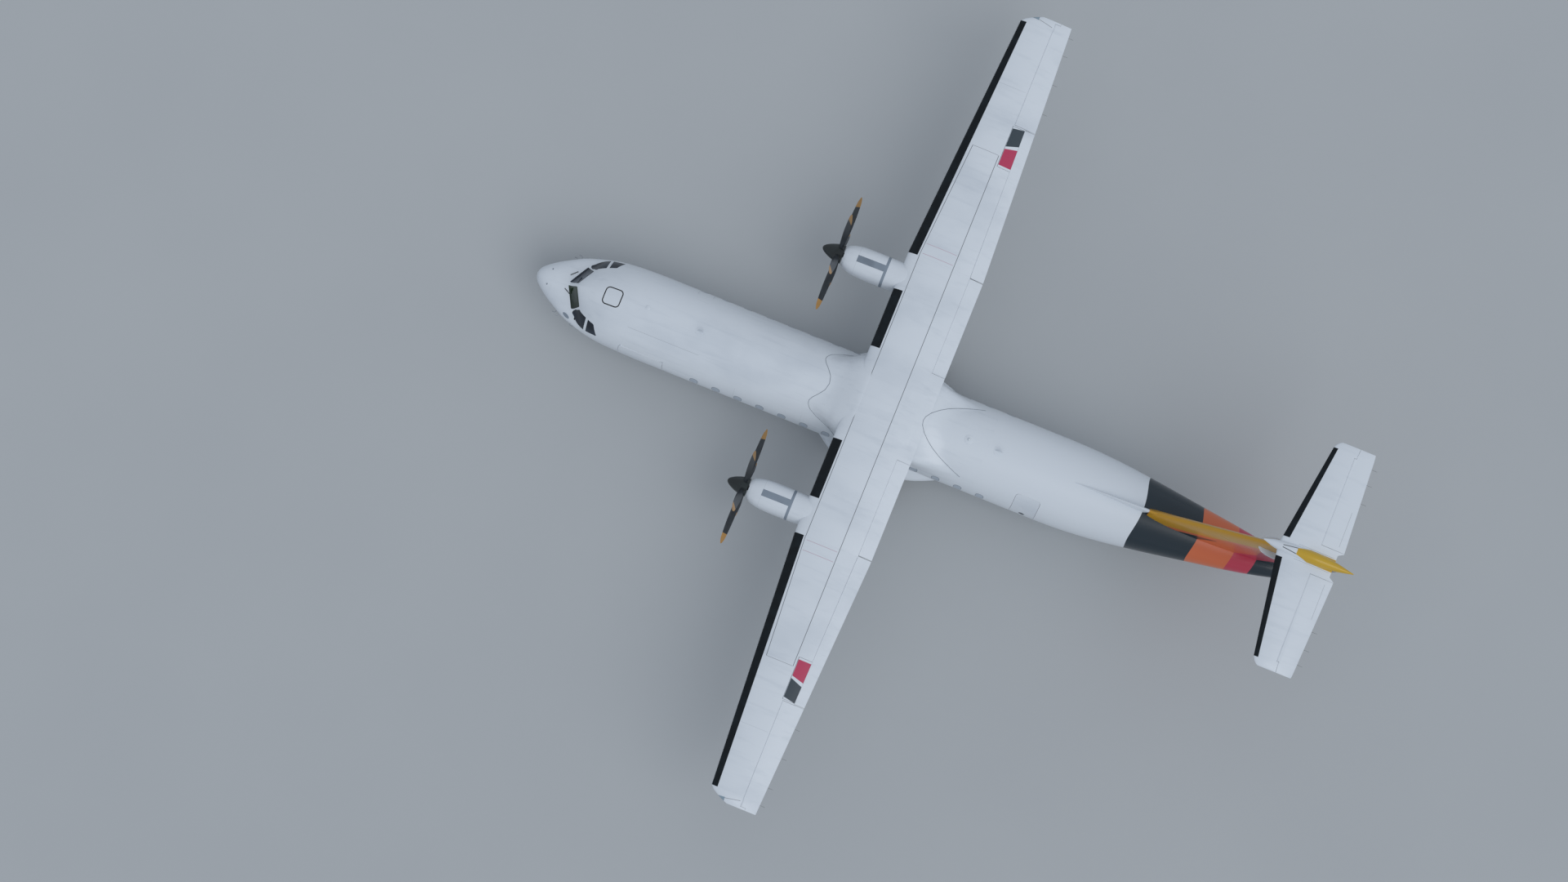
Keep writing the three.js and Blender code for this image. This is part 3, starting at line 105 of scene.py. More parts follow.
class Profile:
    """Columns of sizes at places, smooth between the rows and never past them."""

    def __init__(self, names: str, rows: Sequence[Sequence[float]]) -> None:
        """Keeps the table and works out its slopes.

        Args:
            names: the columns' names, the place first.
            rows: one row of numbers for each place.
        """
        table = np.array(rows, float)
        self.places = table[:, 0]
        self.columns = dict(zip(names.split(), table.T))
        self.slopes = {name: self._slopes(values) for name, values in self.columns.items()}

    def _slopes(self, values: np.ndarray) -> np.ndarray:
        """Slopes at the rows that keep the curve from overshooting.

        Args:
            values: one column of the table.

        Returns:
            A slope for each row.
        """
        step = np.diff(self.places)
        rise = np.diff(values) / step
        slopes = np.zeros(len(values))
        for i in range(1, len(values) - 1):
            before, after = rise[i - 1], rise[i]
            if before * after > 0:
                near, far = 2 * step[i] + step[i - 1], step[i] + 2 * step[i - 1]
                slopes[i] = (near + far) / (near / before + far / after)
        slopes[0], slopes[-1] = rise[0], rise[-1]
        return slopes

    def at(self, name: str, place: float | np.ndarray) -> np.ndarray:
        """The value of a column.

        Args:
            name: the column.
            place: one place or many.

        Returns:
            The value at each place.
        """
        place = np.clip(np.asarray(place, float), self.places[0], self.places[-1])
        i = np.clip(np.searchsorted(self.places, place, side="right") - 1, 0, len(self.places) - 2)
        step = self.places[i + 1] - self.places[i]
        t = (place - self.places[i]) / step
        value, slope = self.columns[name], self.slopes[name]
        start = (2 * t**3 - 3 * t**2 + 1) * value[i] + (t**3 - 2 * t**2 + t) * step * slope[i]
        return start + (3 * t**2 - 2 * t**3) * value[i + 1] + (t**3 - t**2) * step * slope[i + 1]

    def row(self, names: str, place: float) -> list[float]:
        """The values of several columns at one place."""
        return [float(self.at(name, place)) for name in names.split()]

    def between(self, start: float, end: float, step: float) -> list[float]:
        """Places from start to end, no further apart than step, and closer where the rows are close.

        Args:
            start: the first place.
            end: the last place.
            step: the widest distance.

        Returns:
            The places in order.
        """
        marks = [start, *[float(p) for p in self.places if start + 1e-3 < p < end - 1e-3], end]
        places = []
        for a, b in zip(marks, marks[1:]):
            count = max(3 if b - a < 1.5 else 1, math.ceil((b - a) / step))
            places += [mix(a, b, i / count) for i in range(count)]
        return [*places, end]


class Shape:
    """A closed mesh that others can be joined to, cut out of or cropped to."""

    def __init__(self, mesh: bpy.types.Mesh) -> None:
        """Wraps a mesh that is already closed."""
        self.mesh = mesh

    @classmethod
    def of_faces(cls, points: Sequence[Point], faces: Sequence[Sequence[int]]) -> "Shape":
        """A shape from points and faces, turned outwards.

        Args:
            points: the corners.
            faces: the indices of each face's corners.

        Returns:
            The closed shape.
        """
        mesh = bpy.data.meshes.new("shape")
        mesh.from_pydata([tuple(map(float, p)) for p in points], [], faces)
        work = bmesh.new()
        work.from_mesh(mesh)
        bmesh.ops.recalc_face_normals(work, faces=work.faces)
        work.to_mesh(mesh)
        work.free()
        return cls(mesh)

    @classmethod
    def loft(cls, rings: Sequence[np.ndarray], closed: bool = False) -> "Shape":
        """A shape through a row of rings, with flat ends or back to the first as a tyre is.

        Args:
            rings: arrays of points, with the same count in each.
            closed: whether the last ring joins the first.

        Returns:
            The closed shape.
        """
        count, total = len(rings[0]), len(rings) * len(rings[0])
        faces = []
        for a in range(0, total if closed else total - count, count):
            for j in range(count):
                k = (j + 1) % count
                faces.append(tuple(v % total for v in (a + j, a + k, a + count + k, a + count + j)))
        if not closed:
            faces += [tuple(range(count)), tuple(range(total - count, total))]
        return cls.of_faces(np.concatenate(rings), faces)

    @classmethod
    def block(cls, low: Point, high: Point) -> "Shape":
        """A block between two opposite corners."""
        faces = [(0, 1, 3, 2), (4, 6, 7, 5), (0, 4, 5, 1), (2, 3, 7, 6), (0, 2, 6, 4), (1, 5, 7, 3)]
        return cls.of_faces(list(product(*zip(low, high))), faces)

    @classmethod
    def rod(cls, start: Point, end: Point, radius: float, sides: int = 32, grow: float = 0.0) -> "Shape":
        """A round bar between two points.

        Args:
            start: the middle of one end.
            end: the middle of the other end.
            radius: its radius.
            sides: the number of its flats.
            grow: how much wider and longer it is all round.

        Returns:
            The closed bar.
        """
        a, b = Vector(start), Vector(end)
        along = (b - a).normalized()
        turn, size = along.to_track_quat("Z", "Y").to_matrix(), radius + grow
        rings = []
        for centre in (a - along * grow, b + along * grow):
            spots = [turn @ Vector((size * math.cos(t), size * math.sin(t), 0)) for t in _turns(sides)]
            rings.append(np.array([centre + spot for spot in spots]))
        return cls.loft(rings)

    @classmethod
    def plate(cls, outline: Outline, depth: float, place: Matrix) -> "Shape":
        """An outline pushed a depth along its own +Z, stood up by a matrix."""
        return cls.loft([np.array([place @ Vector((x, y, z)) for x, y in outline]) for z in (0, depth)])

    @classmethod
    def turned(cls, profile: Outline, place: Matrix, sides: int = 64) -> "Shape":
        """A profile of (radius, distance) turned about its own Z.

        Args:
            profile: from one end on the axis to the other.
            place: the matrix that puts it in the aircraft.
            sides: the number of flats around it.

        Returns:
            The closed shape.
        """
        rings = []
        for radius, distance in profile:
            size = max(radius, 1e-4)
            rings.append(np.array([place @ Vector((size * math.cos(t), size * math.sin(t), distance))
                                   for t in _turns(sides)]))
        return cls.loft(rings)

    @classmethod
    def tube(cls, points: Sequence[Point], radius: float, sides: int = 12) -> "Shape":
        """A thin pipe, rod or wire through points.

        Args:
            points: where its middle runs.
            radius: its radius.
            sides: its flats.

        Returns:
            The closed pipe.
        """
        path = [Vector(p) for p in points]
        rings = []
        for i, here in enumerate(path):
            along = (path[min(i + 1, len(path) - 1)] - path[max(i - 1, 0)]).normalized()
            side = along.orthogonal() if not i else side - along * side.dot(along)
            side.normalize()
            other = along.cross(side)
            rings.append(np.array([here + (side * math.cos(t) + other * math.sin(t)) * radius
                                   for t in _turns(sides)]))
        return cls.loft(rings)

    def _boolean(self, other: "Shape", operation: str) -> "Shape":
        """Blender's boolean of two closed meshes.

        Args:
            other: the second mesh.
            operation: the modifier's name for what is done.

        Returns:
            The result.
        """
        pair = [bpy.data.objects.new("operand", shape.mesh) for shape in (self, other)]
        for thing in pair:
            bpy.context.scene.collection.objects.link(thing)
        modifier = pair[0].modifiers.new("boolean", "BOOLEAN")
        modifier.operation, modifier.solver, modifier.object = operation, "MANIFOLD", pair[1]
        graph = bpy.context.evaluated_depsgraph_get()
        mesh = bpy.data.meshes.new_from_object(pair[0].evaluated_get(graph), depsgraph=graph)
        for thing in pair:
            bpy.data.objects.remove(thing)
        return Shape(mesh)

    def cut(self, *others: "Shape") -> "Shape":
        """What is left when the others are taken out."""
        return reduce(lambda whole, other: whole._boolean(other, "DIFFERENCE"), others, self)

    def join(self, *others: "Shape") -> "Shape":
        """This shape with the others fused to it."""
        return reduce(lambda whole, other: whole._boolean(other, "UNION"), others, self)

    def common(self, other: "Shape") -> "Shape":
        """What this shape and another both fill."""
        return self._boolean(other, "INTERSECT")

    def with_loose(self, *others: "Shape") -> "Shape":
        """One mesh of this shape and others that don't touch it.

        Args:
            others: the other shapes.

        Returns:
            All of them together.
        """
        work = bmesh.new()
        for shape in (self, *others):
            work.from_mesh(shape.mesh)
        mesh = bpy.data.meshes.new("shape")
        work.to_mesh(mesh)
        work.free()
        return Shape(mesh)

    def moved(self, place: Matrix) -> "Shape":
        """A copy of the shape in another place.

        Args:
            place: the matrix that moves or mirrors it.

        Returns:
            The copy, with its faces outwards.
        """
        mesh = self.mesh.copy()
        mesh.transform(place)
        if place.to_3x3().determinant() < 0:
            mesh.flip_normals()
        return Shape(mesh)

    def mirrored(self) -> "Shape":
        """The same shape on the other side of the aircraft."""
        return self.moved(Matrix.Scale(-1, 4, (1, 0, 0)))

    def on(self, side: Side) -> "Shape":
        """The shape on the side that is asked for, made for port."""
        return self if side is Side.PORT else self.mirrored()


def _turns(sides: int) -> list[float]:
    """Equal angles around a circle."""
    return [math.tau * i / sides for i in range(sides)]


def stand(x: Point, y: Point, z: Point, origin: Point) -> Matrix:
    """A matrix from the directions of an outline's X, Y and Z and its origin."""
    return Matrix.Translation(origin) @ Matrix((x, y, z)).transposed().to_4x4()


def seen_from_side(x: float, y: float = 0.0, z: float = 0.0) -> Matrix:
    """Stands an outline of (y, z) up at an X."""
    return stand((0, 1, 0), (0, 0, 1), (1, 0, 0), (x, y, z))


def seen_from_above(z: float) -> Matrix:
    """Lays an outline of (x, y) down at a Z."""
    return Matrix.Translation((0, 0, z))


def rounded(low: Point, high: Point, radius: float, steps: int = 8) -> list[tuple[float, float]]:
    """A rounded rectangle.

    Args:
        low: its lowest corner.
        high: its highest corner.
        radius: the radius of its corners.
        steps: the flats in each corner.

    Returns:
        Its outline.
    """
    centres = [(high[0] - radius, high[1] - radius), (low[0] + radius, high[1] - radius),
               (low[0] + radius, low[1] + radius), (high[0] - radius, low[1] + radius)]
    points = []
    for corner, (cx, cy) in enumerate(centres):
        for i in range(steps + 1):
            angle = math.radians(90 * corner + 90 * i / steps)
            points.append((cx + radius * math.cos(angle), cy + radius * math.sin(angle)))
    return points


def softened(outline: Outline, radius: float, steps: int = 5) -> list[tuple[float, float]]:
    """An outline with its corners rounded off.

    Args:
        outline: the corners.
        radius: how far from each corner the round starts.
        steps: the flats in each corner.

    Returns:
        The rounder outline.
    """
    points = []
    for i, here in enumerate(outline):
        corner = Vector(here)
        before, after = Vector(outline[i - 1]), Vector(outline[(i + 1) % len(outline)])
        start = corner + (before - corner).normalized() * min(radius, (before - corner).length / 2.2)
        end = corner + (after - corner).normalized() * min(radius, (after - corner).length / 2.2)
        for k in range(steps + 1):
            t = k / steps
            points.append(tuple((1 - t) ** 2 * start + 2 * t * (1 - t) * corner + t**2 * end))
    return points


def swollen(outline: Outline, margin: float) -> list[tuple[float, float]]:
    """An outline with its corners moved away from its middle.

    Args:
        outline: its corners.
        margin: how far its sides move, roughly.

    Returns:
        The larger outline.
    """
    middle = np.mean(np.array(outline), axis=0)
    points = []
    for corner in np.array(outline):
        away = corner - middle
        points.append(tuple(corner + away / np.linalg.norm(away) * margin * 1.3))
    return points


def ring_at(station: float, half: float, top: float, middle: float, bottom: float, sides: int,
            upper: float = 2.0, lower: float = 2.0, centre: float = 0.0) -> np.ndarray:
    """A ring of points across a body, flatter where its squareness is above 2.

    Args:
        station: where it stands.
        half: its half width.
        top: the height of its top.
        middle: the height where it is widest.
        bottom: the height of its underside.
        sides: the number of points.
        upper: the squareness of its upper half.
        lower: the squareness of its lower half.
        centre: the X of its middle.

    Returns:
        The ring's points.
    """
    angle = np.array(_turns(sides))
    c, s = np.cos(angle), np.sin(angle)
    power = 2 / np.where(s >= 0, upper, lower)
    x = half * np.sign(c) * np.abs(c) ** power
    rise = np.abs(s) ** power
    z = np.where(s >= 0, middle + (top - middle) * rise, middle - (middle - bottom) * rise)
    return np.stack([centre + x, np.full(sides, at(station)), z], axis=1)


def body_loft(profile: Profile, step: float, sides: int, grow: float = 0.0, span: Span | None = None,
              upper: float = 2.0, lower: float = 2.0, centre: float = 0.0) -> Shape:
    """A body through the rings of a profile with half, top, middle and bottom columns.

    Args:
        profile: the body's sizes.
        step: the widest distance between rings.
        sides: the points of each ring.
        grow: how much larger the body is all round.
        span: the first and last station, if it isn't the whole profile.
        upper: the squareness of its upper half.
        lower: the squareness of its lower half.
        centre: the X of its middle.

    Returns:
        The closed body.
    """
    start, end = span or (float(profile.places[0]), float(profile.places[-1]))
    rings = []
    for s in profile.between(start, end, step):
        half, top, middle, bottom = profile.row("half top middle bottom", s)
        rings.append(ring_at(s, half + grow, top + grow, middle, bottom - grow, sides, upper, lower, centre))
    return Shape.loft(rings)


def linear(colour: str) -> tuple[float, float, float, float]:
    """An sRGB hex colour as linear light.

    Args:
        colour: six hex digits after a hash.

    Returns:
        Red, green, blue and an alpha of 1.
    """
    values = [int(colour[i:i + 2], 16) / 255 for i in (1, 3, 5)]
    light = [v / 12.92 if v <= 0.04045 else ((v + 0.055) / 1.055) ** 2.4 for v in values]
    return (*light, 1.0)


def feed(tree: Tree, node: bpy.types.Node, inputs: dict) -> None:
    """Sets or links a node's inputs.

    Args:
        tree: the tree that it is in.
        node: the node.
        inputs: a value or another node's output for each input, by name or index.
    """
    for key, value in inputs.items():
        value = value.socket if isinstance(value, Field) else value
        if isinstance(value, Socket):
            tree.links.new(value, node.inputs[key])
        else:
            node.inputs[key].default_value = value


def add_node(tree: Tree, kind: str, inputs: dict | None = None, **settings: str | bool) -> bpy.types.Node:
    """Adds a node with its settings and links.

    Args:
        tree: the tree that it goes in.
        kind: the node's type.
        inputs: a value or another node's output for each input, by name or index.
        settings: the node's own properties.

    Returns:
        The node.
    """
    node = tree.nodes.new(kind)
    for name, value in settings.items():
        setattr(node, name, value)
    feed(tree, node, inputs or {})
    return node


@dataclass
class Field:
    """A number that varies over a surface, with arithmetic that adds the nodes it needs."""

    tree: Tree
    socket: Socket

    def _next(self, kind: str, inputs: dict, **settings: str) -> "Field":
        """The number that a new node gives."""
        return Field(self.tree, add_node(self.tree, kind, inputs, **settings).outputs[0])

    def maths(self, operation: str, *others: "Field | float") -> "Field":
        """One step of arithmetic, with this value first."""
        return self._next("ShaderNodeMath", dict(enumerate([self, *others])), operation=operation)

    def __add__(self, other: "Field | float") -> "Field":
        """The sum."""
        return self.maths("ADD", other)

    def __sub__(self, other: "Field | float") -> "Field":
        """The difference."""
        return self.maths("SUBTRACT", other)

    def __mul__(self, other: "Field | float") -> "Field":
        """The product."""
        return self.maths("MULTIPLY", other)

    def __abs__(self) -> "Field":
        """The size without its sign."""
        return self.maths("ABSOLUTE")

    def ramp(self, start: float, end: float) -> "Field":
        """A smooth step from 0 at start to 1 at end, in either direction."""
        inputs = {0: self, 1: start, 2: end} if start < end else {0: self, 1: end, 2: start, 3: 1.0, 4: 0.0}
        return self._next("ShaderNodeMapRange", inputs, interpolation_type="SMOOTHSTEP")

    def line(self, place: float, width: float, soft: float = 0.004) -> "Field":
        """1 on a line at a place and 0 away from it."""
        return abs(self - place).ramp(width / 2 + soft, width / 2)

    def inside(self, low: float, high: float, soft: float = 0.004) -> "Field":
        """1 between two places and 0 outside them."""
        return self.ramp(low - soft, low + soft) * self.ramp(high + soft, high - soft)


class Canvas:
    """A new node material with its Principled shader and the coordinates that its patterns use."""

    def __init__(self, name: str) -> None:
        """Starts the material.

        Args:
            name: the material's name.
        """
        self.material = bpy.data.materials.new(name)
        self.material.use_nodes = True
        self.tree = self.material.node_tree
        self.tree.nodes.clear()
        self.shader = add_node(self.tree, "ShaderNodeBsdfPrincipled")
        output = add_node(self.tree, "ShaderNodeOutputMaterial", {"Surface": self.shader.outputs[0]})
        output.is_active_output = True
        self.place = add_node(self.tree, "ShaderNodeTexCoord").outputs["Object"]
        split = add_node(self.tree, "ShaderNodeSeparateXYZ", {0: self.place})
        self.x, self.y, self.z = (Field(self.tree, split.outputs[i]) for i in range(3))

    def noise(self, scale: float, detail: float = 3.0, stretch: Point = (1, 1, 1)) -> Field:
        """Cloudy noise of a size, stretched along the axes.

        Args:
            scale: clouds in each metre.
            detail: how many finer layers it has.
            stretch: factors on X, Y and Z before the scale.

        Returns:
            The noise, around 0.5.
        """
        mapping = add_node(self.tree, "ShaderNodeMapping", {"Vector": self.place, "Scale": stretch})
        inputs = {"Vector": mapping.outputs[0], "Scale": scale, "Detail": detail}
        return Field(self.tree, add_node(self.tree, "ShaderNodeTexNoise", inputs).outputs[0])

    def streaks(self) -> Field:
        """Noise drawn out along the airflow: streaks some 20 cm apart and 2.5 m long."""
        return self.noise(5.0, 3.0, (1, 0.08, 1))

    def blend(self, under: Socket | str, over: Socket | str, share: Field) -> Socket:
        """One colour over another.

        Args:
            under: a colour socket or an sRGB hex value.
            over: the same, laid over it.
            share: how much of the upper one shows.

        Returns:
            The mixed colour.
        """
        colours = [linear(c) if isinstance(c, str) else c for c in (under, over)]
        inputs = {"Factor": share, 6: colours[0], 7: colours[1]}
        return add_node(self.tree, "ShaderNodeMix", inputs, data_type="RGBA").outputs[2]

    def bump(self, height: Field, distance: float, strength: float = 1.0) -> None:
        """Raises the shading by a height field, where 1 stands for a distance in metres."""
        inputs = {"Height": height, "Distance": distance, "Strength": strength}
        self.set(Normal=add_node(self.tree, "ShaderNodeBump", inputs).outputs[0])

    def set(self, **values: Socket | Field | float) -> None:
        """Sets or links the shader's inputs, with underscores for the spaces in their names."""
        feed(self.tree, self.shader, {name.replace("_", " "): value for name, value in values.items()})


class Axis(Enum):
    """An axis of the row frame."""

    OUT = "outboard"
    X = "x"
    Y = "y"
    Z = "z"

    def on(self, canvas: Canvas) -> Field:
        """The axis on a canvas, where OUT is the distance from the middle."""
        return abs(canvas.x) if self is Axis.OUT else getattr(canvas, self.value)


@dataclass(frozen=True)
class Seam:
    """A dark joint between two skin panels, where an axis has a value that may slope outboard."""

    axis: Axis
    place: float
    along: Axis
    low: float
    high: float
    slope: float = 0.0
    width: float = 0.012
    strength: float = 0.55

    def mask(self, canvas: Canvas) -> Field:
        """Where the seam shows on a canvas.

        Args:
            canvas: the material that it is drawn in.

        Returns:
            1 on the seam and 0 elsewhere.
        """
        across, along = self.axis.on(canvas), self.along.on(canvas)
        line = across - along * self.slope if self.slope else across
        return line.line(self.place, self.width) * along.inside(self.low, self.high) * self.strength


@dataclass(frozen=True)
class Patch:
    """A painted block between two sloping sides in plan, mirrored to both wings."""

    colour: str
    inner: tuple[float, float]
    outer: tuple[float, float]
    stations: tuple[float, float]

    def mask(self, canvas: Canvas) -> Field:
        """Where the block is painted.

        Args:
            canvas: the material that it is drawn in.

        Returns:
            1 inside the block and 0 outside.
        """
        front, back = (at(s) for s in self.stations)
        share = (canvas.y - front) * (1 / (back - front))
        out = abs(canvas.x)
        inner = out - (share * (self.inner[1] - self.inner[0]) + self.inner[0])
        outer = (share * (self.outer[1] - self.outer[0]) + self.outer[0]) - out
        soft = 0.006
        return inner.ramp(-soft, soft) * outer.ramp(-soft, soft) * canvas.y.inside(front, back, soft)


@dataclass(frozen=True)
class GlossPaint:
    """Two-pack polyurethane aircraft paint, sprayed over riveted alloy.

    It is smooth and glossy, with faint clouding from washing, streaks along the airflow and dark
    joints between the skin panels.
    """

    name: str
    colour: str = "#e3e9ef"
    shade: str = "#c9d1da"
    joint: str = "#3a4048"
    roughness: float = 0.24
    seams: tuple[Seam, ...] = ()
    patches: tuple[Patch, ...] = ()

    def build(self) -> Material:
        """The paint's node material.

        Returns:
            The material.
        """
        canvas = Canvas(self.name)
        cloud, streak = canvas.noise(0.55, 4.0, (1, 0.5, 1)), canvas.streaks()
        grime = (cloud.ramp(0.45, 0.75) * 0.55) + (streak.ramp(0.5, 0.8) * 0.3)
        colour = canvas.blend(self.colour, self.shade, grime)
        for patch in self.patches:
            colour = canvas.blend(colour, patch.colour, patch.mask(canvas))
        height = canvas.noise(1.4, 2.0) * 0.35
        if self.seams:
            masks = [seam.mask(canvas) for seam in self.seams]
            line = reduce(lambda first, second: first.maths("MAXIMUM", second), masks)
            colour = canvas.blend(colour, self.joint, line)
            height = height - line
        canvas.bump(height, 0.004, 0.35)
        canvas.set(Base_Color=colour, Roughness=(streak * 0.12) + self.roughness, Coat_Weight=0.25,
                   Coat_Roughness=0.12)
        return canvas.material


@dataclass(frozen=True)
class TailPaint:
    """Aircraft paint on the tail in slanted bands of navy, orange, crimson and golden yellow."""

    name: str
    on_fin: bool
    base: str = "#e3e9ef"
    navy: str = "#0c232f"
    orange: str = "#da6e40"
    crimson: str = "#c4354f"
    yellow: str = "#cf991a"
    white_end: float = 20.98
    crown: float = 3.1
    slant: float = 0.24
    wave: float = 0.13
    wave_turns: float = 2.6
    band_starts: tuple[float, ...] = (0, 1.95, 3.2, 3.95)
    edge_slope: float = 0.972
    edge_start: Span = (21.3, 3.65)
    edge_reaches: Span = (1.35, 0.95)
    soft: float = 0.012

    def build(self) -> Material:
        """The paint's node material: each band starts on a slanted, gently waved line.

        Returns:
            The material.
        """
        canvas = Canvas(self.name)
        wave = (canvas.z * self.wave_turns).maths("SINE") * self.wave
        slanted = canvas.y - canvas.z * self.slant + wave
        foot, colour = at(self.white_end) - self.crown * self.slant, self.base
        for start, tint in zip(self.band_starts, (self.navy, self.orange, self.crimson, self.navy)):
            colour = canvas.blend(colour, tint, slanted.ramp(foot + start, foot + start + self.soft))
        if self.on_fin:
            station, z = self.edge_start
            behind = canvas.y - canvas.z * self.edge_slope + wave * 0.8 - (at(station) - z * self.edge_slope)
            for reach, tint in zip(self.edge_reaches, (self.orange, self.yellow)):
                share = behind.ramp(reach + self.soft, reach) * canvas.y.ramp(at(21.05), at(21.1))
                colour = canvas.blend(colour, tint, share)
        streak = canvas.streaks()
        canvas.bump(canvas.noise(1.4, 2.0), 0.0015, 0.35)
        canvas.set(Base_Color=colour, Roughness=(streak * 0.12) + 0.24, Coat_Weight=0.3, Coat_Roughness=0.1)
        return canvas.material


@dataclass(frozen=True)
class BootRubber:
    """Moulded neoprene of a de-icing boot: near black, with the faint ribs of its air tubes."""

    name: str = "moulded_neoprene_boot"
    colour: str = "#0b1318"
    worn: str = "#141e24"
    rib_pitch: float = 0.045

    def build(self) -> Material:
        """The boot's node material, whose ribs fold up from the distance aft.

        Returns:
            The material.
        """
        canvas = Canvas(self.name)
        dust = canvas.noise(3.0, 4.0)
        canvas.bump(canvas.y.maths("PINGPONG", self.rib_pitch / 2) * (2 / self.rib_pitch), 0.0015, 0.5)
        colour = canvas.blend(self.colour, self.worn, dust.ramp(0.4, 0.75))
        canvas.set(Base_Color=colour, Roughness=(dust * 0.2) + 0.38, Specular_IOR_Level=0.25)
        return canvas.material


@dataclass(frozen=True)
class TintedGlass:
    """Laminated flight-deck and cabin glazing: glossy and opaque, with the shade of the dark inside painted
    into its deep navy or olive colour.
    """

    name: str
    colour: str
    glow: str

    def build(self) -> Material:
        """The glass's node material, opaque because no cabin is modelled behind it.

        Returns:
            The material.
        """
        canvas = Canvas(self.name)
        # The pane's dark colours are painted shade of the unmodelled inside; the second colour adds lighter
        # clouds at random.
        colour = canvas.blend(self.colour, self.glow, canvas.noise(1.6).ramp(0.35, 0.75))
        canvas.set(Base_Color=colour, Roughness=0.06, Specular_IOR_Level=0.4, Coat_Weight=0.15,
                   Coat_Roughness=0.05)
        return canvas.material


@dataclass(frozen=True)
class PlainFinish:
    """A moulded, cast, machined or sprayed finish with a fine grain and light soiling."""

    name: str
    colour: str
    soiled: str
    roughness: float
    metallic: float = 0.0
    grain_mm: float = 12.0
    relief_mm: float = 0.2
    coat: float = 0.0

    def build(self) -> Material:
        """The finish's node material.

        Returns:
            The material.
        """
        canvas = Canvas(self.name)
        cloud, grain = canvas.noise(1.8, 4.0), canvas.noise(1000 / self.grain_mm, 2.0)
        canvas.bump(grain, self.relief_mm / 1000, 0.6)
        colour = canvas.blend(self.colour, self.soiled, cloud.ramp(0.4, 0.8))
        canvas.set(Base_Color=colour, Metallic=self.metallic, Coat_Weight=self.coat,
                   Roughness=(grain * 0.12) + (self.roughness - 0.06))
        return canvas.material


@dataclass(frozen=True)
class BladeFinish:
    """Lacquered composite propeller blade: dark, with a band of tan at the tip."""

    name: str = "lacquered_blade_composite"
    colour: str = "#23282d"
    worn: str = "#343b40"
    tip: str = "#b88a4a"
    tip_from: float = 1.62

    def build(self) -> Material:
        """The blade's node material, with its tip found by the distance from the hub's axis.

        Returns:
            The material.
        """
        canvas = Canvas(self.name)
        out, up = abs(canvas.x) - NACELLE_X, canvas.z - PROPELLER_Z
        radius = ((out * out) + (up * up)).maths("SQRT")
        dust = canvas.noise(6.0)
        colour = canvas.blend(self.colour, self.worn, dust.ramp(0.4, 0.8))
        colour = canvas.blend(colour, self.tip, radius.ramp(self.tip_from, self.tip_from + 0.01))
        canvas.set(Base_Color=colour, Roughness=(dust * 0.15) + 0.33, Coat_Weight=0.2)
        return canvas.material


@dataclass(frozen=True)
class Concrete:
    """Pale, float-finished concrete of the floor, with faint clouding metres across."""

    name: str = "pale_concrete"
    colour: str = "#bfc3c5"
    damp: str = "#b8bcbf"

    def build(self) -> Material:
        """The floor's node material.

        Returns:
            The material.
        """
        canvas = Canvas(self.name)
        canvas.set(Base_Color=canvas.blend(self.colour, self.damp, canvas.noise(0.12, 4.0)), Roughness=0.9)
        return canvas.material


Finish = GlossPaint | TailPaint | BootRubber | TintedGlass | PlainFinish | BladeFinish


@dataclass(frozen=True)
class Spot:
    """A place for a repeated part, with the directions of the part's Z and X."""

    place: Point
    facing: Point = (0, 0, 1)
    heading: Point = (1, 0, 0)


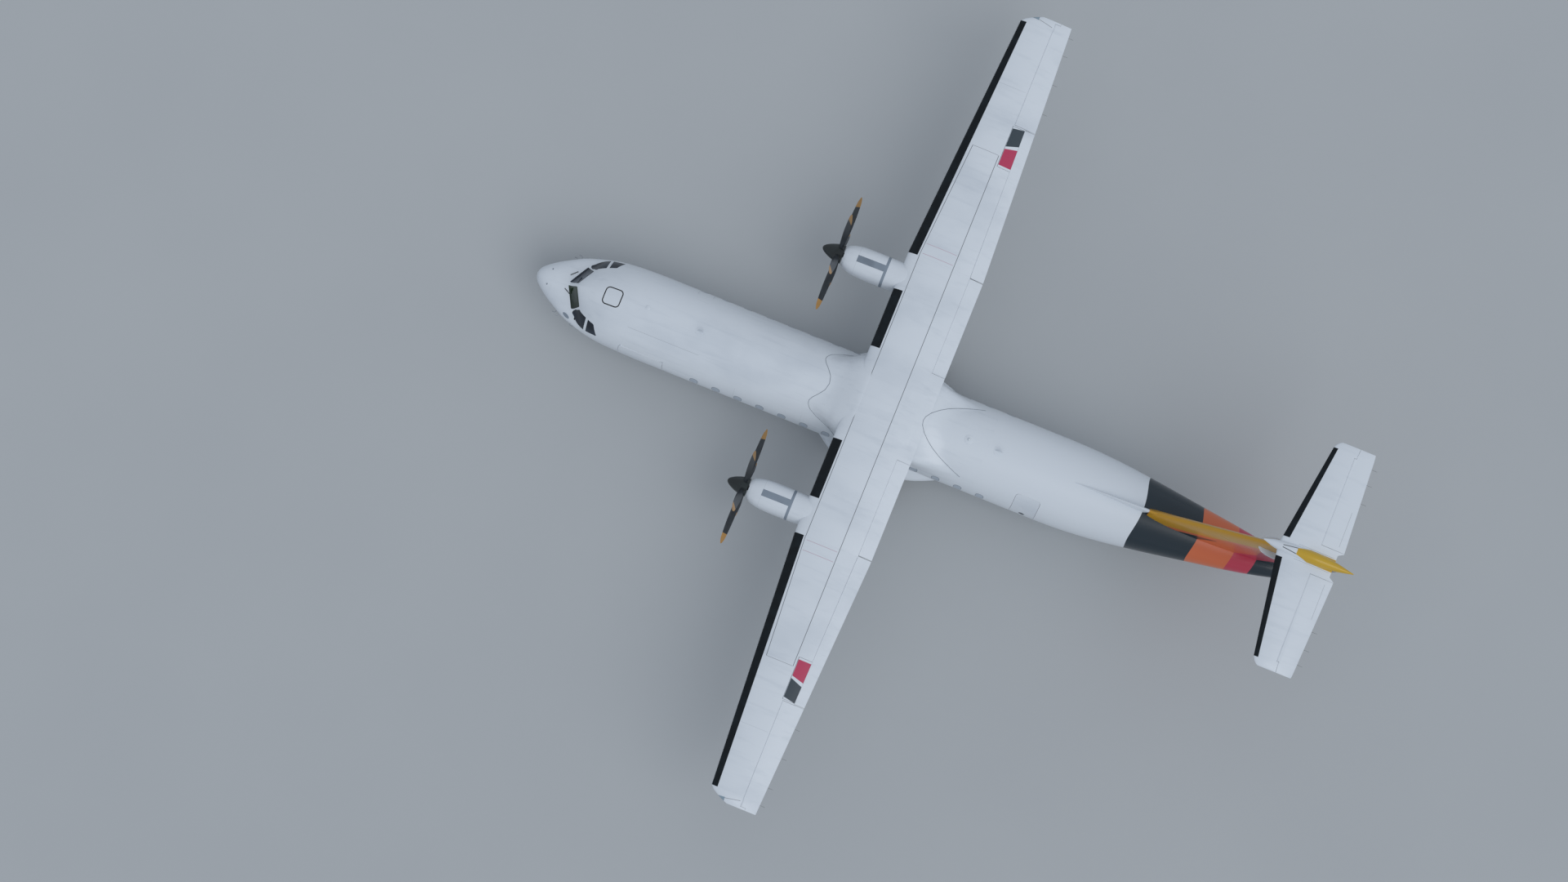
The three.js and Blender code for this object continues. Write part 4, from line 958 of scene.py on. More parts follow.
class Repeater:
    """A Geometry Nodes tree that sets one small part on each point of a mesh."""

    def __init__(self) -> None:
        """Builds the tree: the part is turned by each point's facing and heading, then made real."""
        self.tree = tree = bpy.data.node_groups.new("part_on_points", "GeometryNodeTree")
        kinds = {"Points": "Geometry", "Part": "Object", "Size": "Float", "Finish": "Material"}
        self.keys = {}
        for name, kind in kinds.items():
            socket = tree.interface.new_socket(name, in_out="INPUT", socket_type=f"NodeSocket{kind}")
            self.keys[name] = socket.identifier
        tree.interface.new_socket("Parts", in_out="OUTPUT", socket_type="NodeSocketGeometry")
        given = add_node(tree, "NodeGroupInput").outputs
        part = add_node(tree, "GeometryNodeObjectInfo", {"Object": given["Part"]})
        ways = {}
        for i, name in enumerate(("facing", "heading")):
            way = add_node(tree, "GeometryNodeInputNamedAttribute", {"Name": name}, data_type="FLOAT_VECTOR")
            ways[i] = way.outputs[0]
        turn = add_node(tree, "FunctionNodeAxesToRotation", ways, primary_axis="Z", secondary_axis="X")
        spread = add_node(tree, "GeometryNodeInstanceOnPoints", {
            "Points": given["Points"], "Instance": part.outputs["Geometry"], "Rotation": turn.outputs[0],
            "Scale": given["Size"]})
        real = add_node(tree, "GeometryNodeRealizeInstances", {0: spread.outputs[0]})
        inputs = {"Geometry": real.outputs[0], "Material": given["Finish"]}
        dressed = add_node(tree, "GeometryNodeSetMaterial", inputs)
        add_node(tree, "NodeGroupOutput", {0: dressed.outputs[0]})

    def spread(self, part: Shape, spots: Sequence[Spot], finish: Material | None = None,
               size: float = 1.0) -> Shape:
        """The part at each spot, as one plain mesh.

        Args:
            part: the small part, made at the origin.
            spots: where it stands and how it is turned.
            finish: its material, if it isn't a cutter.
            size: its scale.

        Returns:
            All of the parts together.
        """
        mesh = bpy.data.meshes.new("spots")
        mesh.from_pydata([tuple(spot.place) for spot in spots], [], [])
        for name in ("facing", "heading"):
            values = np.array([getattr(spot, name) for spot in spots], float).ravel()
            mesh.attributes.new(name, "FLOAT_VECTOR", "POINT").data.foreach_set("vector", values)
        holder = bpy.data.objects.new("spots", mesh)
        sample = bpy.data.objects.new("part", part.mesh)
        bpy.context.scene.collection.objects.link(holder)
        modifier = holder.modifiers.new("spread", "NODES")
        modifier.node_group = self.tree
        for name, value in (("Part", sample), ("Size", size), ("Finish", finish)):
            modifier[self.keys[name]] = value
        graph = bpy.context.evaluated_depsgraph_get()
        result = bpy.data.meshes.new_from_object(holder.evaluated_get(graph), depsgraph=graph)
        for thing in (holder, sample):
            bpy.data.objects.remove(thing)
        return Shape(result)


class Workshop:
    """Holds the finishes and the repeater, and ties finished shapes to the frame."""

    def __init__(self, finishes: dict[str, tuple[Finish, str]]) -> None:
        """Builds every finish.

        Args:
            finishes: each finish and the record's slot that it mostly fills, by a short name.
        """
        self.paints = {name: finish.build() for name, (finish, _) in finishes.items()}
        self.slots = {name: slot for name, (_, slot) in finishes.items()}
        self.repeater = Repeater()

    def place(self, name: str, shape: Shape, paint: str, body: str = "airframe", nodes: str = "",
              slot: str = "", sharp: float = 28.0) -> None:
        """Puts a finished shape in the scene and ties it to the frame.

        Args:
            name: the piece's name.
            shape: its mesh, already in place.
            paint: the short name of its finish.
            body: the body that it moves with.
            nodes: the CAD nodes that it stands for, with spaces between them.
            slot: the record's slot, where it isn't the finish's usual one; it is worked out but not used.
            sharp: the angle in degrees from which an edge looks sharp.
        """
        mesh = shape.mesh
        mesh.name = name
        mesh.materials.clear()
        mesh.materials.append(self.paints[paint])
        mesh.shade_smooth()
        mesh.set_sharp_from_angle(angle=math.radians(sharp))
        piece = bpy.data.objects.new(name, mesh)
        bpy.context.scene.collection.objects.link(piece)
        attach(piece, body)
        if nodes:
            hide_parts(*nodes.split())
        slot or self.slots[paint]
        log.info("%s: %d faces on %s", name, len(mesh.polygons), body)

    def pair(self, name: str, shape: Shape, paint: str, body: str = "airframe", nodes: str = "",
             slot: str = "") -> None:
        """Places a piece and its mirror image, where a star in a name stands for left or right.

        Args:
            name: the pieces' name.
            shape: the port piece's mesh.
            paint: the short name of their finish.
            body: the body that each moves with.
            nodes: the CAD nodes that each stands for.
            slot: the record's slot, where it isn't the finish's usual one.
        """
        for side in Side:
            named, moved, stood = (text.replace("*", side.word) for text in (name, body, nodes))
            self.place(named, shape.on(side), paint, moved, stood, slot)


class HingeLine:
    """A hinge line with its own frame: X along the line, Y aft and Z across."""

    def __init__(self, start: Point, end: Point) -> None:
        """Works out the frame and the length of the line.

        Args:
            start: its first point.
            end: its last point.
        """
        along = Vector(end) - Vector(start)
        self.length = along.length
        along.normalize()
        across = along.cross(Vector((0, 1, 0))).normalized()
        self.matrix = stand(along, across.cross(along), across, start)

    def bar(self, start: float, end: float, radius: float, sides: int = 32) -> Shape:
        """A round bar between two distances along the line."""
        return Shape.rod(*[self.matrix @ Vector((spot, 0, 0)) for spot in (start, end)], radius, sides)

    def block(self, low: Point, high: Point) -> Shape:
        """A block in the line's own frame."""
        return Shape.block(low, high).moved(self.matrix)

    def plate(self, spot: float, half: float, outline: Outline) -> Shape:
        """An outline of (aft, up) about the line, pushed a half width each way."""
        return Shape.plate(outline, 2 * half, self.matrix @ seen_from_side(spot - half))

    def nose(self, radii: Sequence[Span], margin: float, inset: float) -> Shape:
        """A round bar whose radius changes along the line.

        Args:
            radii: (distance, radius) pairs.
            margin: how much wider it is than them.
            inset: how far inside each end of the line it stops.

        Returns:
            The closed bar.
        """
        rings = []
        for spot in (inset, *[p for p, _ in radii[1:-1]], self.length - inset):
            radius = float(np.interp(spot, *zip(*radii))) + margin
            rings.append(np.array([self.matrix @ Vector((spot, radius * math.cos(t), radius * math.sin(t)))
                                   for t in _turns(48)]))
        return Shape.loft(rings)


@dataclass
class ControlSplit:
    """Splits a control surface with a round nose from the surface that carries it."""

    line: HingeLine
    radii: Sequence[Span]
    tip_aft: float = 0.0
    tip_reach: float = 0.0
    pin_share: float = 0.45

    def _region(self, moving: bool) -> Shape:
        """The space of the moving surface, or the larger space that is cleared for it.

        Args:
            moving: which of the two.

        Returns:
            The closed space.
        """
        gap, line = MOVING_GAP, self.line
        margin, inset = (0, gap) if moving else (gap, 0)
        region = line.nose(self.radii, margin, inset)
        region = region.join(line.block((inset, 0, -FAR), (line.length - inset, FAR, FAR)))
        if self.tip_reach:
            end = line.length + self.tip_reach
            beyond = line.block((line.length - 2 * gap, 0, -FAR), (end, FAR, FAR))
            round_front = line.bar(line.length - 3 * gap, end + gap, self.tip_aft + inset, 64)
            region = region.join(beyond.cut(round_front))
        return region

    def _pins(self, *spans: Span) -> list[Shape]:
        """Hinge pins along the line."""
        radius = min(r for _, r in self.radii) * self.pin_share
        return [self.line.bar(a, b, radius) for a, b in spans]

    def moving(self, whole: Shape) -> Shape:
        """The control surface.

        Args:
            whole: the surface that it is cut from.

        Returns:
            The moving part with its pins.
        """
        gap, end = MOVING_GAP, self.line.length
        pins = self._pins((gap / 2, 4 * gap), (end - 4 * gap, end - gap / 2))
        return whole.common(self._region(True)).join(*pins)

    def fixed(self, whole: Shape, both_sides: bool = False) -> Shape:
        """What stays of the whole surface.

        Args:
            whole: the surface.
            both_sides: whether it spans the aircraft and is cut on each side.

        Returns:
            The fixed part.
        """
        gap, end, region = MOVING_GAP, self.line.length, self._region(False)
        pins = self._pins((-4 * gap, gap / 2 - SEAT_GAP), (end - gap / 2 + SEAT_GAP, end + 4 * gap))
        if both_sides:
            return whole.cut(region, region.mirrored()).join(*pins, *[pin.mirrored() for pin in pins])
        return whole.cut(region).join(*pins)


def half_thickness(fraction: np.ndarray | float, ratio: float) -> np.ndarray:
    """Half thickness of a wing section at fractions of its chord, as a share of the chord.

    Args:
        fraction: places along the chord, from 0 to 1.
        ratio: the section's thickness as a share of its chord.

    Returns:
        The half thickness at each place, by the usual four-digit section's formula.
    """
    f = np.asarray(fraction, float)
    curve = 0.2969 * np.sqrt(f) - 0.126 * f - 0.3516 * f**2 + 0.2843 * f**3 - 0.1015 * f**4
    return 5 * ratio * curve


def around_chord(count: int) -> list[tuple[float, int]]:
    """Places around a section, from the trailing edge over the top and back underneath."""
    shares = 1 - np.cos(np.linspace(0, 1, count) * math.pi / 2)
    return [*[(s, 1) for s in shares[::-1]], *[(s, -1) for s in shares[1:]]]


def boot_outline(edges: Sequence[tuple[float, float, float]], share: float) -> Outline:
    """A boot's plan to a share of the chord, from the X, front and back stations at its two ends."""
    front = [(x, at(front) - 0.1) for x, front, _ in edges]
    return front + [(x, at(mix(front, back, share))) for x, front, back in edges[::-1]]


@dataclass
class Fuselage:
    """The pressure hull: a round tube with a drooped nose and a tail that sweeps up."""

    sides: int = 144
    ring_step: float = 0.4
    radome_end: float = 0.62
    nose_end: float = 5.0
    centre_end: float = 15.6
    tail_end: float = 26.3
    profile: Profile = field(default_factory=lambda: Profile("station half crown keel waist sweep", [
        (0, 0.022, 1.775, 1.728, 1.75, 0), (0.05, 0.17, 1.885, 1.59, 1.745, 0),
        (0.15, 0.3, 1.975, 1.44, 1.735, 0), (0.31, 0.44, 2.055, 1.29, 1.725, 0),
        (0.62, 0.66, 2.145, 1.11, 1.715, 0), (0.9, 0.82, 2.195, 1.0, 1.715, 0.3),
        (1.16, 0.97, 2.235, 0.925, 1.72, 0.56), (1.45, 1.09, 2.68, 0.865, 1.73, 0.56),
        (1.8, 1.2, 2.88, 0.815, 1.745, 0.5), (2.3, 1.32, 3.05, 0.755, 1.77, 0.38),
        (2.8, 1.385, 3.155, 0.715, 1.795, 0.24), (3.5, 1.42, 3.228, 0.702, 1.812, 0.1),
        (4.3, HULL_HALF, 3.252, 0.7, HULL_MIDDLE, 0), (17.9, HULL_HALF, 3.252, 0.7, HULL_MIDDLE, 0),
        (18.7, 1.413, 3.252, 0.8, 1.85, 0), (19.7, 1.345, 3.245, 1.01, 1.94, 0),
        (20.9, 1.2, 3.23, 1.29, 2.07, 0), (22.7, 0.93, 3.2, 1.74, 2.33, 0),
        (24.4, 0.66, 3.165, 2.17, 2.6, 0), (25.5, 0.42, 3.12, 2.44, 2.75, 0),
        (26.3, 0.17, 3.06, 2.69, 2.88, 0)]))

    def ring(self, station: float, grow: float = 0.0) -> np.ndarray:
        """A ring of the skin: its crown is swept back around the windscreen.

        Args:
            station: where its crown is.
            grow: how far outside the skin it lies.

        Returns:
            The ring's points.
        """
        angle = np.array(_turns(self.sides))
        c, s = np.cos(angle), np.sin(angle)
        sweep, crown = self.profile.row("sweep crown", station)
        back = np.full(self.sides, station)
        for _ in range(12):
            back = station + sweep * np.abs(self.profile.at("half", back) * c)
        half = self.profile.at("half", back) + grow
        waist, keel = self.profile.at("waist", back), self.profile.at("keel", back) - grow
        z = np.where(s >= 0, waist + (crown + grow - waist) * s, waist + (waist - keel) * s)
        return np.stack([half * c, back - LENGTH / 2, z], axis=1)

    def skin(self, start: float, end: float, grow: float = 0.0) -> Shape:
        """The closed hull between two stations, some way outside its skin."""
        return Shape.loft([self.ring(s, grow) for s in self.profile.between(start, end, self.ring_step)])

    def layer(self, start: float, end: float, thickness: float) -> Shape:
        """The outer skin down to a thickness."""
        return self.skin(start, end).cut(self.skin(start - 0.005, end + 0.005, -thickness))

    def pocket(self, start: float, end: float, depth: float) -> Shape:
        """The same stretch with its outside open, down to a depth."""
        return self.skin(start, end, 0.05).cut(self.skin(start - 0.1, end + 0.1, -depth))

    def film(self, start: float, end: float, rise: float, depth: float = SKIN_DEPTH) -> Shape:
        """A layer that stands a little proud of the skin, for trim on it."""
        return self.skin(start, end, rise).cut(self.skin(start - 0.1, end + 0.1, -depth))

    def point(self, station: float, angle: float) -> tuple[Vector, Vector]:
        """A point on the skin and the direction that the skin faces there.

        Args:
            station: where it is along the hull.
            angle: degrees around from port over the top.

        Returns:
            The point and its outward direction.
        """
        c, s = math.cos(math.radians(angle)), math.sin(math.radians(angle))
        half, crown, keel, waist = self.profile.row("half crown keel waist", station)
        rise = crown - waist if s >= 0 else waist - keel
        facing = Vector((c * rise, 0, s * half)).normalized()
        return Vector((half * c, at(station), waist + rise * s)), facing


@dataclass
class Door:
    """A door or hatch in the side of the hull: its leaf, its pocket and any hinge."""

    hull: Fuselage
    start: float
    end: float
    sill: float
    head: float
    side: Side = Side.PORT
    thickness: float = 0.09
    gap: float = 0.008
    corner: float = 0.09
    hinge: Span | None = None
    rise: int = 1
    bay_depth: float = 0.0
    bay_face: float = 1.4
    knuckle: float = 0.02
    knuckle_room: float = 0.026
    lug: float = 0.06
    fold_room: float = 0.136
    stop: float = 0.04

    def prism(self, margin: float) -> Shape:
        """The door's outline pushed through the side of the hull.

        Args:
            margin: how much larger it is all round.

        Returns:
            The closed prism.
        """
        low = at(self.start) - margin, self.sill - margin
        high = at(self.end) + margin, self.head + margin
        foot = 0.5 if self.side is Side.PORT else -2.3
        return Shape.plate(rounded(low, high, self.corner), 1.8, seen_from_side(foot))

    def leaf(self) -> Shape:
        """The door itself, with the hinge barrel that turns with it.

        Returns:
            The closed leaf.
        """
        leaf = self.hull.layer(self.start - 0.7, self.end + 0.2, self.thickness).common(self.prism(0))
        if self.hinge:
            start, end = self._barrel
            lug = self.lug + self.gap
            leaf = leaf.cut(self._bar(start - lug, start, self.knuckle_room),
                            self._bar(end, end + lug, self.knuckle_room))
            leaf = leaf.join(self._bar(start, end, self.knuckle))
        return leaf

    @property
    def _barrel(self) -> Span:
        """The two ends of the turning hinge barrel."""
        return at(self.start) + 2 * self.lug, at(self.end) - 2 * self.lug

    def _bar(self, start: float, end: float, radius: float) -> Shape:
        """A round bar along the hinge."""
        x, z = self.hinge
        return Shape.rod((x, start, z), (x, end, z), radius, 24)

    def open_in(self, hull: Shape) -> Shape:
        """Cuts the door's place out of the hull and adds the fixed hinge lugs.

        Args:
            hull: the section of the hull that carries the door.

        Returns:
            The section with its opening.
        """
        extra = self.gap if self.hinge else SEAT_GAP
        pocket = self.hull.pocket(self.start - 0.7, self.end + 0.2, self.thickness + extra)
        hull = hull.cut(pocket.common(self.prism(self.gap)))
        if not self.hinge:
            return hull
        (x, z), (start, end), reach = self.hinge, self._barrel, self.fold_room
        front, back = at(self.start), at(self.end)
        hull = hull.cut(self._bar(front - self.gap, back + self.gap, self.knuckle_room))
        if self.rise < 0:
            hull = hull.cut(Shape.block((x - reach, front - self.gap, z), (x, back + self.gap, z + reach)))
        root = z + self.rise * 0.05
        for a, b in ((start - self.lug, start - SEAT_GAP), (end + SEAT_GAP, end + self.lug)):
            web = Shape.block((x - 0.045, a, min(z, root)), (x - 0.004, b, max(z, root)))
            hull = hull.join(self._bar(a, b, self.knuckle), web)
        return hull.cut(Shape.block((self.bay_face - self.bay_depth, front + self.stop, self.sill + 0.01),
                                    (1.7, back - self.stop, self.head - self.stop)))


@dataclass
class FlightDeck:
    """The windscreen, the side windows, the roof hatch and the small fittings around them."""

    hull: Fuselage
    pane_thickness: float = 0.025
    pane_gap: float = 0.004
    glass_span: Span = (0.72, 3.4)
    windscreen: Outline = ((0.06, 1.145), (0.73, 1.5), (0.62, 1.765), (0.06, 1.47))
    side_glass: Outline = ((1.57, 2.07), (1.84, 2.01), (2.16, 2.08), (2.6, 2.23), (2.41, 2.56), (2.1, 2.52),
                           (1.81, 2.46))
    side_post: Outline = ((2.115, 2.0), (2.205, 2.0), (2.185, 2.6), (2.1, 2.6))
    wipers: Sequence[tuple[Span, Span]] = (((0.2, 1.07), (0.33, 1.27)), ((-0.29, 1.08), (-0.46, 1.26)))
    wiper_radius: float = 0.012
    hatch_station: float = 2.7
    hatch_half: float = 0.27
    hatch_corner: float = 0.11
    hatch_thickness: float = 0.04
    hatch_span: Span = (2.0, 3.4)
    reach: float = 0.6

    def _screen_prism(self, grow: float) -> Shape:
        """The port windscreen's outline pushed upwards."""
        outline = swollen([(x, at(s)) for x, s in self.windscreen], grow)
        return Shape.plate(softened(outline, 0.03), 1.4, seen_from_above(2.1))

    def _side_plate(self, outline: Outline) -> Shape:
        """An outline pushed through the port side windows."""
        return Shape.plate(outline, 1.5, seen_from_side(0.35))

    def _side_outline(self, grow: float) -> Outline:
        """The port side windows' outline."""
        return swollen([(at(s), z) for s, z in self.side_glass], grow)

    def _hatch_prism(self, grow: float) -> Shape:
        """The roof hatch's outline pushed upwards.

        Args:
            grow: how much larger it is all round.

        Returns:
            The closed prism.
        """
        half, y = self.hatch_half + grow, at(self.hatch_station)
        outline = rounded((-half, y - half), (half, y + half), self.hatch_corner + grow)
        return Shape.plate(outline, 0.9, seen_from_above(2.7))

    def open_in(self, hull: Shape) -> Shape:
        """Cuts the seats of the panes and the hatch.

        Args:
            hull: the nose section.

        Returns:
            The section with the seats cut.
        """
        seat, gap = self.hull.pocket(*self.glass_span, self.pane_thickness + SEAT_GAP), self.pane_gap
        side = self._side_plate(softened(self._side_outline(gap), 0.035))
        holes = [seat.common(prism) for prism in (self._screen_prism(gap), side)]
        hatch = self.hull.pocket(*self.hatch_span, self.hatch_thickness + SEAT_GAP)
        return hull.cut(*holes, *[hole.mirrored() for hole in holes], hatch.common(self._hatch_prism(0.005)))

    def dress(self, shop: Workshop) -> None:
        """Places the panes, the hatch, the posts and the wipers.

        Args:
            shop: what holds the finishes.
        """
        hull, layer = self.hull, self.hull.layer(*self.glass_span, self.pane_thickness)
        screen = layer.common(self._screen_prism(0))
        # The port pane's olive glass is a painted reflection; the same glass on the starboard pane is navy.
        for side, tint in ((Side.PORT, "olive_reflection_glass"), (Side.STARBOARD, "navy_glass")):
            word = side.word
            shop.place(f"windshield_pane_{word}", screen.on(side), tint, nodes=f"windshield_{word}")
        panes = layer.common(self._side_plate(softened(self._side_outline(0), 0.035)))
        shop.pair("side_panes_*", panes, "navy_glass", nodes="side_window_*")
        strip = self._side_plate([(at(s), z) for s, z in self.side_post])
        post = hull.film(0.8, 2.9, 0.003).common(strip).common(self._side_plate(self._side_outline(0.01)))
        shop.pair("side_window_post_*", post, "skin")
        hatch = hull.layer(*self.hatch_span, self.hatch_thickness).common(self._hatch_prism(0))
        shop.place("escape_hatch", hatch, "skin", nodes="roof_hatch")
        seal = hull.film(*self.hatch_span, 0.0012).common(self._hatch_prism(0.032))
        shop.place("escape_hatch_seal", seal.cut(self._hatch_prism(-0.004)), "black")
        arms = []
        for low, high in self.wipers:
            spots = low, [mix(a, b, 0.55) for a, b in zip(low, high)], high
            arms.append(Shape.tube([self._on_nose(x, s, 0.01) for x, s in spots], self.wiper_radius, 8))
        shop.place("windscreen_wipers", arms[0].with_loose(*arms[1:]), "black")

    def _on_nose(self, x: float, station: float, grow: float) -> Point:
        """The point above the nose's skin over a place in plan.

        Args:
            x: the place's X.
            station: the place's station.
            grow: how far above the skin the point is.

        Returns:
            The nearest point of the rings around the place.
        """

        def miss(ring: np.ndarray) -> np.ndarray:
            """How far each point is from the place, where the nose's upper half counts."""
            return np.hypot(ring[:, 0] - x, ring[:, 1] - at(station)) + FAR * (ring[:, 2] <= 1.75)

        rings = [self.hull.ring(station - self.reach * i / 60, grow) for i in range(60)]
        ring = min(rings, key=lambda r: float(np.min(miss(r))))
        return tuple(ring[int(np.argmin(miss(ring)))])


@dataclass
class Fairings:
    """The belly fairing with the main-gear bays, and the fairing that carries the wing."""

    hull: Fuselage
    wing: "Wing"
    belly: Profile = field(default_factory=lambda: Profile("station half top middle bottom", [
        (9.9, 0.95, 1.48, 1.15, 0.76), (10.5, 1.43, 1.66, 1.18, 0.66), (11.05, 1.76, 1.75, 1.2, 0.622),
        (11.6, 1.845, 1.79, 1.21, 0.605), (13.0, 1.845, 1.79, 1.21, 0.605), (13.6, 1.72, 1.74, 1.2, 0.622),
        (14.4, 1.4, 1.64, 1.18, 0.66), (15.1, 0.95, 1.48, 1.15, 0.76)]))
    carrier_top: Profile = field(default_factory=lambda: Profile("station top", [
        (9.6, 3.64), (10.8, 3.63), (11.05, 3.66), (11.29, 3.716), (11.6, 3.7), (12.0, 3.7), (12.5, 3.66),
        (13.0, 3.56), (13.2, 3.512), (13.35, 3.47), (13.51, 3.428), (13.8, 3.36), (14.1, 3.3),
        (14.35, 3.262), (15.3, 3.255)]))
    front_seam: Outline = ((0, 10.165), (0.24, 10.11), (0.45, 9.95), (0.6, 9.81), (0.72, 9.75), (0.82, 9.77),
                           (0.94, 9.87), (1.07, 10.14), (1.16, 10.4), (1.25, 10.68), (1.38, 10.93))
    rear_seam: Outline = ((0, 13.37), (0.14, 13.4), (0.33, 13.53), (0.52, 13.74), (0.68, 13.97),
                          (0.83, 14.26), (0.93, 14.5), (1.04, 14.79), (1.15, 15.12))
    rear_edge: Outline = ((0, 14.35), (0.8, 14.5), (1.15, 15.12))
    carrier_half: float = 1.425
    carrier_middle: float = 2.45
    full_from: float = 11.15
    full_to: float = 13.15
    skirt: float = 0.001
    ring_step: float = 0.07
    seam_radius: float = 0.008
    bay: tuple[Point, Point] = ((1.23, at(12.08), 0.3), (1.775, at(13.45), 1.12))
    lamp: tuple[Span, Span] = ((at(10.16), 0.93), (at(10.44), 1.17))

    def _belly_body(self, grow: float = 0.0) -> Shape:
        """The belly fairing's outer form."""
        return body_loft(self.belly, 0.3, 112, grow, lower=2.5)

    def _both_ways(self, curve: Outline) -> list[Span]:
        """A seam's points from starboard to port."""
        return sorted({(sign * x, s) for x, s in curve for sign in (1, -1)})

    def dress(self, wing: Shape, gear_holes: Sequence[Shape], shop: Workshop) -> None:
        """Places both fairings, the sealant around them and the landing lamps.

        Args:
            wing: the wing's root, grown by the seat gap.
            gear_holes: the port seats of the main leg.
            shop: what holds the finishes.
        """
        holes = [Shape.block(*self.bay), *gear_holes]
        belly = self._belly_body().cut(self.hull.skin(9.7, 15.3, SEAT_GAP))
        belly = belly.cut(*holes, *[hole.mirrored() for hole in holes])
        shop.place("belly_and_gear_fairing", belly, "skin", nodes="belly_fairing")
        front, back = self._both_ways(self.front_seam), self._both_ways(self.rear_edge)
        sides = (front[-1][1], back[-1][1])
        outline = [*front, *[(1.6, s) for s in sides], *back[::-1], *[(-1.6, s) for s in sides[::-1]]]
        prism = Shape.plate([(x, at(s)) for x, s in outline], 2.6, seen_from_above(1.6))
        rings = [self._carrier_ring(float(s)) for s in np.arange(9.6, 15.31, self.ring_step)]
        carrier = Shape.loft(rings).common(prism).cut(self.hull.skin(9.5, 15.4, SEAT_GAP), wing)
        shop.place("wing_root_fairing", carrier, "skin", nodes="wing_fairing", sharp=35)
        beads = []
        for curve in (self.front_seam, self.rear_seam):
            spots = self._both_ways(curve)
            xs = np.linspace(spots[0][0], spots[-1][0], 72)
            path = [self._carrier_point(float(x), float(s)) for x, s in zip(xs, np.interp(xs, *zip(*spots)))]
            beads.append(Shape.tube(path, self.seam_radius, 8))
        shop.place("fairing_seam_sealant", beads[0].with_loose(beads[1]), "sealant", slot="painted_skin")
        window = Shape.plate(rounded(*self.lamp, 0.08), 1.0, seen_from_side(0.9))
        cover = self._belly_body(0.004).cut(self._belly_body(-0.006)).common(window)
        shop.pair("landing_lamp_*", cover, "lamp")

    def _carrier_radius(self, station: float, angle: np.ndarray) -> np.ndarray:
        """How far the fairing's skin is from the middle of the hull.

        Args:
            station: where it is along the hull.
            angle: the direction, from port over the top.

        Returns:
            The distance in each direction.
        """
        c, s = np.abs(np.cos(angle)), np.sin(angle)
        half, top, middle = HULL_HALF, float(self.carrier_top.at("top", station)), self.carrier_middle
        power = 2.6 + 6.4 * float(np.clip((station - 10.5) / 1.5, 0, 1))
        low, high = np.full(len(angle), half - 0.2), np.full(len(angle), half + 1.2)
        for _ in range(26):
            radius = (low + high) / 2
            across, z = radius * c / self.carrier_half, HULL_MIDDLE + radius * s
            up = np.clip((z - middle) / (top - middle), 0, None)
            tuck = 0.08 * (np.clip(middle - z, 0, None) / 0.3) ** 2
            inside = (across + tuck) ** power + up**power < 1
            low, high = np.where(inside, radius, low), np.where(inside, high, radius)
        front, back = (np.interp(half * c, *zip(*edge)) for edge in (self.front_seam, self.rear_edge))
        rise = np.clip((station - front) / (self.full_from - front), 0, 1)
        fall = np.clip((back - station) / (back - self.full_to), 0, 1)
        share = (rise**2 * (3 - 2 * rise)) * (fall**2 * (3 - 2 * fall))
        return half + self.skirt + (low - half) * share

    def _carrier_ring(self, station: float) -> np.ndarray:
        """A closed ring of the fairing: over the top, and back inside the hull.

        Args:
            station: where it is along the hull.

        Returns:
            The ring's points.
        """
        angle = np.linspace(0, math.pi, 121)
        radius = self._carrier_radius(station, angle)
        x, z = [*(radius * np.cos(angle)), -1.0, 1.0], [*(HULL_MIDDLE + radius * np.sin(angle)), 1.7, 1.7]
        return np.stack([np.array(x), np.full(len(x), at(station)), np.array(z)], axis=1)

    def _carrier_point(self, x: float, station: float) -> Point:
        """The point of the fairing's skin above a place in plan, or of the wing's where that is higher.

        Args:
            x: the place's X.
            station: the place's station.

        Returns:
            The point.
        """
        angle = np.linspace(0.02, math.pi - 0.02, 400)
        radius = self._carrier_radius(station, angle)
        spot = int(np.argmin(np.abs(radius * np.cos(angle) - x)))
        z = HULL_MIDDLE + float(radius[spot] * math.sin(angle[spot]))
        front, back, _, _ = self.wing.section(x)
        if mix(front, back, 0.5) < station < back:
            z = max(z, float(self.wing.skin(x, station, 1)))
        return x, at(station), z


